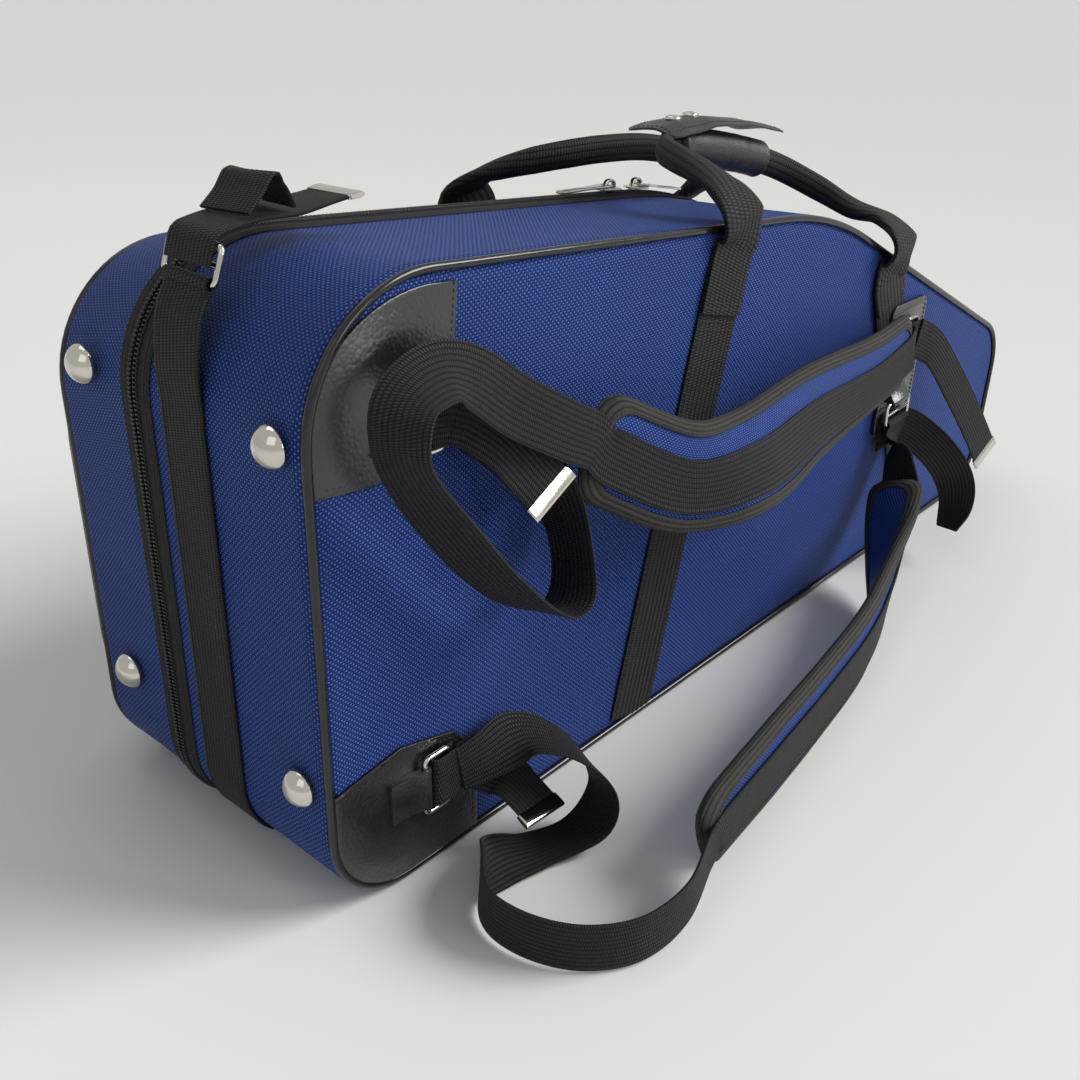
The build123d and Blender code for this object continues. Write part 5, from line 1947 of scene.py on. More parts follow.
@dataclass
class Crimp:
    """Folded metal end over the last stretch of a strap, its open edge plain or cut into small teeth."""

    name: str
    width: float
    toothed: bool = False
    length: float = 8.0
    height: float = 3.2

    def build(self, shop: Workshop, frames: Frames, body: Body, node: str) -> None:
        """Makes the metal end.

        Args:
            shop: The workshop.
            frames: Frames along the strap.
            body: Body that it rides on.
            node: Node that it stands for.
        """
        end, travel = frames.spots[-1], frames.travel[-1]
        across, outward = frames.across[-1], frames.outward[-1]
        half = self.width / 2 + 1
        skin, rows = Skin(), []
        places = np.linspace(-half, half, 49)
        for i, place in enumerate(places):
            bite = self.toothed and i % 4 < 2
            tooth, press = (0.7, 0.18) if bite else (0.0, 0.0)
            edge = 0.35 if i in (0, len(places) - 1) else 0.0
            high = self.height / 2 - edge
            section = [(-self.length + tooth, high - 0.35 - press), (-self.length * 0.6, high - press)]
            section += [(-1.2, high), (0.2, high * 0.86), (0.9, high * 0.5), (1.15, 0.0)]
            section += [(x, -y) for x, y in reversed(section[:-1])]
            section += [(-self.length + tooth, -high + 1.0), (-self.length + tooth, high - 1.0)]
            rows.append([end + place * across + a * travel + b * outward for a, b in section])
        skin.tube(np.array(rows))
        piece = skin.piece(self.name, shop.finishes.nickel, 35.0)
        fitted(piece, body, Slot.NICKEL, [node])


@dataclass
class Studs:
    """Domed feet on the bell end."""

    shop: Workshop
    body: Body
    y: float
    heights: tuple[float, float] = (276.0, 86.0)
    radius: float = 11.0
    height: float = 11.0
    neck: float = 7.0
    lift: float = 2.5

    def build(self) -> None:
        """Makes the domes."""
        skin = Skin()
        rise = self.height - self.lift - 1.0
        ball = (self.radius**2 + rise**2) / (2 * rise)
        widest = math.asin(self.radius / ball)
        profile = [(0.0, 0.0), (self.neck, 0.0), (self.neck, self.lift), (self.radius - 0.8, self.lift)]
        profile += [(self.radius, self.lift + 0.3), (self.radius, self.lift + 0.9)]
        for turn in np.linspace(widest, 0, 12):
            profile.append((ball * math.sin(turn), self.height - ball + ball * math.cos(turn)))
        hardware = Hardware(self.shop)
        for z in self.heights:
            place = Matrix.Translation((self.shop.form.bell_x, self.y, z))
            hardware.turned(skin, profile, place @ Matrix.Rotation(-math.pi / 2, 4, "Y"))
        piece = skin.piece(f"{self.body.value}_domes", self.shop.finishes.nickel, 50.0)
        fitted(piece, self.body, Slot.NICKEL, [f"{self.body.value}_studs"])


@dataclass
class Lining:
    """Fitted plush block in the base and quilted pad in the lid."""

    shop: Workshop
    voxel: float = 4.5
    pad_face: float = 80.8
    pad_back: float = 90.4
    wall: float = 14.6
    quilt: float = 62.0
    middle: tuple[tuple[float, float], tuple[float, float]] = ((-235.0, 150.0), (165.0, 110.0))

    def block(self) -> None:
        """Makes the fitted block, softened all over."""
        work = bmesh.new()
        work.from_mesh(self.shop.nodes["base_insert"].data)
        bmesh.ops.remove_doubles(work, verts=work.verts, dist=2e-6)
        mesh = bpy.data.meshes.new("block_shape")
        work.to_mesh(mesh)
        work.free()
        holder = put_in_scene("block_shape", mesh)
        remesh = holder.modifiers.new("even", "REMESH")
        remesh.mode = "VOXEL"
        remesh.voxel_size = self.voxel * MM
        smooth = holder.modifiers.new("soft", "SMOOTH")
        smooth.factor = 0.5
        smooth.iterations = 7
        evaluated = holder.evaluated_get(bpy.context.evaluated_depsgraph_get())
        result = bpy.data.meshes.new_from_object(evaluated)
        bpy.data.objects.remove(holder)
        result.materials.clear()
        result.materials.append(self.shop.finishes.plush)
        result.polygons.foreach_set("use_smooth", [True] * len(result.polygons))
        fitted(put_in_scene("fitted_block", result), Body.BASE, Slot.LINING, ["base_insert"])

    def pad(self) -> None:
        """Makes the quilted pad with its drawn-in seams."""
        form = self.shop.form
        edge = form.ring(self.pad_face, -self.wall - 0.6)
        target = drawn_in(edge, self.middle)
        rows = [form.ring(self.pad_back, -self.wall), form.ring(self.pad_face + 3.0, -self.wall)]
        for step in np.linspace(0, 1, 40):
            row = edge + (target - edge) * step
            u = (row[:, 0] + row[:, 2]) / self.quilt
            v = (row[:, 0] - row[:, 2]) / self.quilt
            near = np.minimum(np.abs(u - np.round(u)), np.abs(v - np.round(v))) * self.quilt
            row[:, 1] = self.pad_face + 3.2 * np.exp(-((near / 5.0) ** 2)) + 2.0 * (1 - min(1.0, step * 12))
            rows.append(row)
        skin = Skin()
        skin.grid(np.array(rows), cloth_flat(rows))
        back = [form.ring(self.pad_back, -self.wall)]
        centre = np.array([-40.0, self.pad_back, 140.0])
        back.append(back[0] + 0.5 * (centre - back[0]))
        skin.grid(np.array(back), cloth_flat(back))
        skin.plate(back[-1])
        piece = skin.piece("quilted_pad", self.shop.finishes.plush, 60.0)
        fitted(piece, Body.LID, Slot.LINING, ["lid_pad"])


@dataclass
class Pocket:
    """Raised pocket on the lid's front with its own zip."""

    shop: Workshop
    right: float = 48.0
    foot: float = 26.0
    lip: float = 25.0
    side: float = 17.0
    depth: float = 29.0
    inset: float = 8.0
    crown: float = 24.0
    rounding: RoundedCorners = RoundedCorners(
        radii=(56.0, 36.0, 36.0, 88.0), arc_steps=(12, 9, 9, 14), straight_steps=(40, 18, 40, 20)
    )
    middle: tuple[tuple[float, float], tuple[float, float]] = ((-260.0, 150.0), (-100.0, 150.0))
    tape_reach: float = 6.5
    zip_end: float = 8.0
    zip_foot: float = 86.0

    def ring(self, y: float, inset: float) -> np.ndarray:
        """Closed outline of the pocket.

        Args:
            y: The plane.
            inset: How far it is drawn in.

        Returns:
            The points.
        """
        form = self.shop.form
        left = form.bell_x + inset
        rise = form.top(left, form.front) - inset - self.lip
        end_rise = rise - form.top_fall * (self.right - inset - left)
        low, right = self.foot + inset, self.right - inset
        sharp = np.array([(left, low), (right, low), (right, end_rise), (left, rise)])
        return self.rounding.ring(sharp, y, inset)

    def cover(self) -> None:
        """Makes the pocket's cloth."""
        face = self.shop.form.front
        zip_y = face + self.side / 2
        rows = [self.ring(face + 0.3, self.inset + 0.2), self.ring(face + 1.0, self.inset)]
        rows += [self.ring(zip_y - self.tape_reach, self.inset), self.ring(zip_y - 2.0, self.inset + 0.8)]
        rows += [self.ring(zip_y + 2.0, self.inset + 0.8), self.ring(zip_y + self.tape_reach, self.inset)]
        rows.append(self.ring(face + self.side, self.inset + 0.6))
        for turn in np.linspace(0.2, 1.0, 6):
            angle = turn * math.pi / 2
            out = face + self.side + (self.depth - self.side) * math.sin(angle)
            inward = (self.crown - self.inset) * (1 - math.cos(angle))
            rows.append(self.ring(out, self.inset + 0.6 + inward))
        edge = rows[-1]
        target = drawn_in(edge, self.middle)
        for step in np.linspace(0.05, 1, 18):
            row = edge + (target - edge) * step
            for point in row:
                wave = noise.noise(Vector((point[0] / 70.0, 3.0, point[2] / 70.0)))
                point[1] -= (0.8 + 0.9 * wave) * min(1.0, 4 * step)
            rows.append(row)
        skin = Skin()
        split = 13
        skin.grid(np.array(rows[:split]), cloth_round(rows[:split], [2.0 * i for i in range(split)]))
        skin.grid(np.array(rows[split - 1 :]), cloth_flat(rows[split - 1 :]))
        piece = skin.piece("pocket_cover", self.shop.finishes.shell)
        fitted(piece, Body.LID, Slot.SHELL, ["pocket_shell"])

    def open_ring(self, y: float, inset: float) -> np.ndarray:
        """The outline's stretch along the zip.

        Args:
            y: The plane.
            inset: How far it is drawn in.

        Returns:
            Its points.
        """
        ring = self.ring(y, inset)
        base = self.ring(y, self.inset)
        along = (base[:, 0] < self.zip_end) & (base[:, 2] > self.zip_foot)
        return ring[along]

    def zip(self) -> None:
        """Makes both tapes and rows of teeth."""
        zip_y = self.shop.form.front + self.side / 2
        tapes, lines = Skin(), []
        for side in (-1.0, 1.0):
            near, far = zip_y + side * 0.8, zip_y + side * self.tape_reach
            section = [(far, 0.0), (far, -1.0), ((near + far) / 2, -1.25), (near, -1.2), (near, 0.0)]
            corners = [self.open_ring(y, self.inset + grow) for y, grow in section]
            lengthwise(tapes, corners, np.arange(len(section) + 1) * 2.0)
            line = self.open_ring(zip_y + side * 2.2, self.inset - 2.1)
            lines.append((line, self.shop.form.outward(line)))
        piece = tapes.piece("pocket_tapes", self.shop.finishes.tape)
        fitted(piece, Body.LID, Slot.TAPE, ["pocket_zip_tape"])
        teeth = self.shop.rows.along("pocket_teeth", lines, self.shop.tooth, 2.4, self.shop.finishes.coil)
        fitted(teeth, Body.LID, Slot.COIL, ["pocket_zip_coil"])

    def build(self) -> None:
        """Makes the pocket."""
        self.cover()
        self.zip()


@dataclass
class StrapSurface:
    """Places on and beside a strap: distance along it, across it and outward from its middle."""

    frames: Frames

    def at(self, along: np.ndarray, across: np.ndarray, outward: np.ndarray) -> np.ndarray:
        """Points from their three distances.

        Args:
            along: Distance along the strap.
            across: Distance across it.
            outward: Distance outward from its middle.

        Returns:
            The points.
        """
        run = self.frames.run

        def mixed(values: np.ndarray) -> np.ndarray:
            """Values between the frames."""
            return np.stack([np.interp(along, run, values[:, k]) for k in range(3)], axis=1)

        past = along - np.clip(along, run[0], run[-1])
        spots = mixed(self.frames.spots) + mixed(self.frames.travel) * past[:, None]
        return spots + mixed(self.frames.across) * across[:, None] + self.up(along) * outward[:, None]

    def up(self, along: np.ndarray) -> np.ndarray:
        """Outward direction at distances along the strap."""
        values = self.frames.outward
        return unit(np.stack([np.interp(along, self.frames.run, values[:, k]) for k in range(3)], axis=1))


@dataclass
class ShoulderPad:
    """Padded part of a shoulder strap: swelling cloth cushion with a wide ribbed binding."""

    shop: Workshop
    name: str
    body: Body
    node: str
    stations: Sequence[Station]
    widths: Sequence[float]
    thickness: float = 12.0
    edge: float = 5.2
    binding: float = 8.0
    corner: float = 13.0

    def __post_init__(self) -> None:
        """Works out the frames and half widths."""
        route = Route.of(self.stations)
        self.frames = route.smooth(3.2)
        self.surface = StrapSurface(self.frames)
        self.half = np.interp(self.frames.station, np.arange(len(self.widths)), self.widths) / 2
        ends = np.minimum(self.frames.run, self.frames.run[-1] - self.frames.run)
        inside = np.clip(1 - ends / self.corner, 0, 1)
        self.half = self.half - self.corner * (1 - np.sqrt(np.maximum(1 - inside**2, 0.0))) * 0.8
        self.end_share = np.clip(ends / 9.0, 0, 1) ** 0.5

    def half_thickness(self, i: int, v: np.ndarray) -> np.ndarray:
        """Half the pad's thickness at a frame.

        Args:
            i: Which frame.
            v: Shares of the half width there.

        Returns:
            The thickness at each share.
        """
        core = np.clip(1 - np.abs(v) ** 2.6, 0, 1) ** 0.75
        full = self.edge / 2 + (self.thickness / 2 - self.edge / 2) * core
        return full * (0.45 + 0.55 * self.end_share[i])

    def build(self) -> None:
        """Makes the cushion, its binding and stitches."""
        places = np.sin(np.linspace(-math.pi / 2, math.pi / 2, 25))
        sections = []
        inner = np.nonzero((self.frames.run > 2.2) & (self.frames.run < self.frames.run[-1] - 2.2))[0]
        for i in inner:
            half = self.half[i]
            high = self.half_thickness(i, places)
            run = self.frames.run[i] / 26.0
            wrinkle = [noise.noise(Vector((run, v * half / 15.0, 5.0))) for v in places]
            top = high + 0.5 * np.array(wrinkle) * (1 - np.abs(places) ** 3)
            upper = np.stack([places * (half - 1.9), top], axis=1)
            lower = np.stack([places[::-1] * (half - 1.9), -high[::-1]], axis=1)[1:-1]
            sections.append(np.vstack([upper[::-1], lower[::-1]]))
        skin = Skin()
        swept(skin, self.frames.part(inner), sections)
        piece = skin.piece(f"{self.name}_cushion", self.shop.finishes.pad, 60.0)
        fitted(piece, self.body, Slot.PAD, [self.node])
        self.bind()

    def edge_loop(self, depth: float) -> tuple[np.ndarray, np.ndarray]:
        """Closed line inside the pad's edge.

        Args:
            depth: How far inside it lies, or outside where it is negative.

        Returns:
            Distances along and across the strap.
        """
        run, length = self.frames.run, self.frames.run[-1]
        side = depth + run * (length - 2 * depth) / length
        half = np.maximum(np.interp(run, run, self.half) - depth, 1.0)
        cross = np.linspace(-1, 1, 11)[1:-1]
        along = np.concatenate([side, np.full(9, side[-1]), side[::-1], np.full(9, side[0])])
        across = np.concatenate([half, -cross * half[-1], -half[::-1], cross * half[0]])
        return along, across

    def height(self, along: np.ndarray, across: np.ndarray) -> np.ndarray:
        """Half the pad's thickness at places on it.

        Args:
            along: Distances along it.
            across: Distances across it.

        Returns:
            The thickness at each place.
        """
        run = self.frames.run
        at = np.clip(along, 0, run[-1])
        share = np.clip(np.abs(across) / np.interp(at, run, self.half), 0, 1)
        core = np.clip(1 - share**2.6, 0, 1) ** 0.75
        full = self.edge / 2 + (self.thickness / 2 - self.edge / 2) * core
        return full * (0.45 + 0.55 * np.interp(at, run, self.end_share))

    def bind(self) -> None:
        """Makes the binding round the edge and the stitches on it."""
        rows = []
        section = [(self.binding, -0.4), (self.binding, 0.75), (self.binding * 0.6, 0.85)]
        section += [(self.binding * 0.25, 0.7), (-0.2, -0.6), (-0.9, -9.0)]
        section += [(depth, lift) for depth, lift in reversed(section[:-1])]
        for place, (depth, lift) in enumerate(section):
            along, across = self.edge_loop(depth)
            high = np.zeros(len(along)) if lift < -5 else self.height(along, across) + lift
            side = -1.0 if place > 5 else 1.0
            rows.append(self.surface.at(along, across, side * high))
        points = np.array(rows).transpose(1, 0, 2)
        points = np.concatenate([points, points[:1]])
        girth = np.arange(len(section) + 1) * 2.2
        cloth = np.stack(np.meshgrid(run_along(points[:, 4]), girth, indexing="ij"), axis=2)
        skin = Skin()
        skin.grid(points, cloth)
        piece = skin.piece(f"{self.name}_binding", self.shop.finishes.ridged, 50.0)
        fitted(piece, self.body, Slot.PAD)
        along, across = self.edge_loop(self.binding - 1.7)
        line = self.surface.at(along, across, self.height(along, across) + 0.95)
        lines = [(line, self.surface.up(along))]
        self.shop.stitched(f"{self.name}_edge_stitches", self.body, lines, Slot.PAD, 3.0)


@dataclass
class LongStrap:
    """Webbing of a shoulder strap: its slack loop, the stretch on the pad and the run to the anchor."""

    shop: Workshop
    name: str
    body: Body
    node: str
    loop: Sequence[Station]
    pad: Sequence[Station]
    ending: Sequence[Station]
    width: float = 32.0
    thickness: float = 2.0
    pad_lift: float = 6.9
    pad_shift: float = 0.0
    clearance: float = 0.4

    def build(self) -> None:
        """Makes the webbing and its stitches on the pad."""
        pad_route = Route.of(self.pad)
        pad_frames = Frames.along(pad_route.points, pad_route.normals)
        lifted = pad_route.points + pad_frames.outward * self.pad_lift
        inner = np.sin(np.linspace(0.0, math.pi, len(lifted))) ** 0.6
        lifted = lifted + pad_frames.across * (self.pad_shift * inner)[:, None]
        points = [p for p, _ in self.loop] + [tuple(p) for p in lifted] + [p for p, _ in self.ending]
        normals = [n for _, n in self.loop] + [n for _, n in self.pad] + [n for _, n in self.ending]
        frames = Route(np.array(points, float), np.array(normals, float)).smooth(4.0)
        low = frames.spots[:, 2] - np.abs(frames.across[:, 2]) * self.width / 2
        low = low - np.abs(frames.outward[:, 2]) * self.thickness / 2
        lift = np.pad(np.maximum(self.clearance - low, 0.0), 3, mode="edge")
        frames.spots[:, 2] += np.max([lift[k : len(low) + k] for k in range(7)], axis=0)
        piece = strap(f"{self.name}_webbing", frames, self.shop.finishes.strap, self.width, self.thickness)
        fitted(piece, self.body, Slot.WEBBING, [self.node])
        first, last = len(self.loop), len(self.loop) + len(self.pad) - 1
        on_pad = (frames.station > first + 0.3) & (frames.station < last - 0.3)
        seams = []
        for side in (-1, 1):
            line = frames.beside(side, self.width / 2 - 2.4, self.thickness / 2)
            seams.append((line[on_pad], frames.outward[on_pad]))
        self.shop.stitched(f"{self.name}_webbing_stitches", self.body, seams, Slot.WEBBING, 3.2)


@dataclass
class BackHardware:
    """Everything sewn to the back face that the straps hang from."""

    shop: Workshop
    leather: float = 1.8
    band: float = 1.8
    slide_lift: float = 3.9
    hung_lift: float = 7.0
    upper_lean: float = -8.9
    lower_lean: float = 4.0
    top_slide: tuple[float, float] = (-341.0, 277.0)
    foot_slide: tuple[float, float] = (-340.0, 60.0)
    upper_slide: tuple[float, float] = (189.0, 197.0)
    lower_slide: tuple[float, float] = (183.0, 140.0)
    inset: float = 3.4
    bead: float = 4.4

    @property
    def back(self) -> float:
        """The plane of the back face."""
        return self.shop.form.back

    def seat(self, place: tuple[float, float], lift: float, turn: float = 0.0) -> SlideSeat:
        """Seat of a slide on the back face.

        Args:
            place: Its x and z.
            lift: How far it stands off the face.
            turn: Its turn in the face, in degrees.

        Returns:
            The seat.
        """
        a = math.radians(turn)
        middle = (place[0], self.back - lift, place[1])
        return SlideSeat(middle, (math.cos(a), 0.0, math.sin(a)), (0.0, -1.0, 0.0))

    def build(self) -> None:
        """Makes the slides, folds, tabs and patches."""
        over = self.leather + self.slide_lift
        top, foot = self.seat(self.top_slide, over), self.seat(self.foot_slide, over)
        upper = self.seat(self.upper_slide, self.band + over)
        lower = self.seat(self.lower_slide, self.band + self.leather + self.hung_lift, self.lower_lean - 90)
        self.slides("corner_wire_slides", (top, foot), "corner_slides")
        self.slides("anchor_wire_slides", (upper, lower), "anchor_slides")
        skin = Skin()
        WireSlide(self.shop, top).fold(skin, 15.6, self.upper_lean)
        WireSlide(self.shop, foot).fold(skin, 15.6, self.lower_lean)
        self.sewn(skin, "corner_strap_folds", "corner_folds")
        skin = Skin()
        WireSlide(self.shop, upper).fold(skin, 15.3, 0.0)
        self.sewn(skin, "anchor_strap_fold", "anchor_fold")
        skin = Skin()
        WireSlide(self.shop, upper).hem(skin, -9.0, 12.0)
        self.sewn(skin, "anchor_strap_hem", "anchor_hem")
        self.root()
        self.lower_hem(lower)
        self.patches()

    def slides(self, name: str, seats: Sequence[SlideSeat], node: str) -> None:
        """Makes wire slides in one piece.

        Args:
            name: Name of the piece.
            seats: Where they sit.
            node: Node that they stand for.
        """
        skin = Skin()
        for seat in seats:
            WireSlide(self.shop, seat).shape(skin)
        fitted(skin.piece(name, self.shop.finishes.nickel, 70.0), Body.BASE, Slot.NICKEL, [node])

    def sewn(self, skin: Skin, name: str, node: str) -> None:
        """Makes a piece of strap webbing that is sewn to the base."""
        fitted(skin.piece(name, self.shop.finishes.strap), Body.BASE, Slot.WEBBING, [node])

    def lower_hem(self, lower: SlideSeat) -> None:
        """Makes the hem of the lower strap round its hung slide.

        Args:
            lower: Seat of that slide.
        """
        skin = Skin()
        WireSlide(self.shop, lower).hem(skin, 9.0, 12.0)
        piece = skin.piece("lower_strap_hem", self.shop.finishes.strap)
        fitted(piece, Body.STRAP_LOWER, Slot.WEBBING, ["strap_webbing_lower"])

    def root(self) -> None:
        """Sewn root of the lower anchor's webbing, with its box of stitches."""
        y = self.back - self.band - self.leather - 1.0
        spots = np.linspace((169.0, y, 121.0), (204.0, y, 121.0), 12)
        frames = Frames.along(spots, same_way((0.0, -1.0, 0.0), len(spots)))
        piece = strap("lower_anchor_root", frames, self.shop.finishes.strap)
        fitted(piece, Body.BASE, Slot.WEBBING, ["anchor_root_lower"])
        corners = [(173, 109), (199, 109), (199, 133), (173, 133), (173, 109), (199, 133)]
        line = np.array([(x, y - 1.0, z) for x, z in corners], float)
        lines = [(line, same_way((0.0, -1.0, 0.0), len(line)))]
        self.shop.stitched("lower_anchor_box", Body.BASE, lines, Slot.WEBBING, 2.8)

    def patches(self) -> None:
        """Leather patches and tabs with their stitches."""
        leather = self.shop.finishes.leather
        hardware = Hardware(self.shop)
        swells = {"top": Swell((-386, 316), (40, 40), 5.0), "foot": Swell((-386, 34), (34, 26), 3.0)}
        for where, swell in swells.items():
            name, node = f"{where}_corner_leather", f"corner_patch_{where}"
            self.widen(hardware.refined(name, Body.BASE, Slot.LEATHER, [node], leather, 0.55, swell))
        hardware.refined("anchor_leather", Body.BASE, Slot.LEATHER, ["anchor_patch"], leather, 0.55)
        hardware.refined("corner_leather_tabs", Body.BASE, Slot.LEATHER, ["corner_tabs"], leather, 0.4)
        hardware.refined("anchor_leather_tab", Body.BASE, Slot.LEATHER, ["anchor_tab"], leather, 0.4)
        bell = self.shop.form.bell_x
        tx, tz = self.top_slide
        fx, fz = self.foot_slide
        top_edge = [(tx + 25, tz + 62), (tx + 21, tz + 19), (tx + 3, tz - 15)]
        top_edge += [((bell + tx) / 2 + 5, tz - 28), (bell + 8, tz - 23)]
        foot_edge = [(bell + 8, fz + 24), ((bell + fx) / 2 + 14, fz + 32)]
        foot_edge += [(fx + 18, fz + 22), (fx + 36, fz), (fx + 36, 8)]
        lines = [self.inside(edge, self.back - self.leather - 0.1) for edge in (top_edge, foot_edge)]
        box = [(165.4, 221.0), (218.6, 225.0), (218.6, 126.0), (165.4, 119.5), (165.4, 221.0)]
        face = self.back - self.leather - self.band - 0.1
        square = np.array([(x, face, z) for x, z in box])
        lines.append((square, same_way((0.0, -1.0, 0.0), len(square))))
        self.shop.stitched("patch_stitches", Body.BASE, lines, Slot.LEATHER, 3.6)

    def widen(self, patch: bpy.types.Object) -> None:
        """Moves a corner patch's round edge out to the piping.

        Args:
            patch: The patch.
        """
        ring = self.shop.form.ring(self.back, 0.0)[:, [0, 2]]
        mesh = patch.data
        verts = mesh.vertices
        sides = {key for p in mesh.polygons if abs(p.normal.y) < 0.2 for key in p.edge_keys}
        pairs = [(verts[a].co, verts[b].co) for a, b in sides if abs(verts[a].co.y - verts[b].co.y) < 1e-6]
        ends = np.array([[(a.x, a.z), (b.x, b.z)] for a, b in pairs]) / MM
        spots = np.array([(v.co.x, v.co.z) for v in verts]) / MM
        depth, own = nearest(spots, ends[:, 0], ends[:, 1])
        gap, places = nearest(own, ring, np.roll(ring, -1, axis=0))
        share = np.clip(1.0 - depth / 5.0, 0.0, 1.0) * np.clip((11.0 - gap) / 2.0, 0.0, 1.0)
        move = (gap - self.bead) * share
        spots += unit(places - own) * move[:, None]
        LOG.info("%s moved out by up to %.1f mm", patch.name, float(move.max()))
        for vert, (x, z) in zip(verts, spots):
            vert.co.x, vert.co.z = x * MM, z * MM

    def inside(self, edge: Sequence[tuple[float, float]], face: float) -> tuple[np.ndarray, np.ndarray]:
        """Line of stitches inside a patch's free edge.

        Args:
            edge: Corners of the free edge, each as its x and z.
            face: The y of the patch's outer face.

        Returns:
            The line's points and the outward directions there.
        """
        corners = np.array(edge)
        travel = unit(np.diff(corners, axis=0))
        inward = np.stack([travel[:, 1], -travel[:, 0]], axis=1)
        points = []
        for i in range(len(travel)):
            points.append(corners[i] + inward[i] * self.inset + travel[i] * 3)
            points.append(corners[i + 1] + inward[i] * self.inset - travel[i] * 3)
        line = np.array([(x, face, z) for x, z in points])
        return line, same_way((0.0, -1.0, 0.0), len(line))


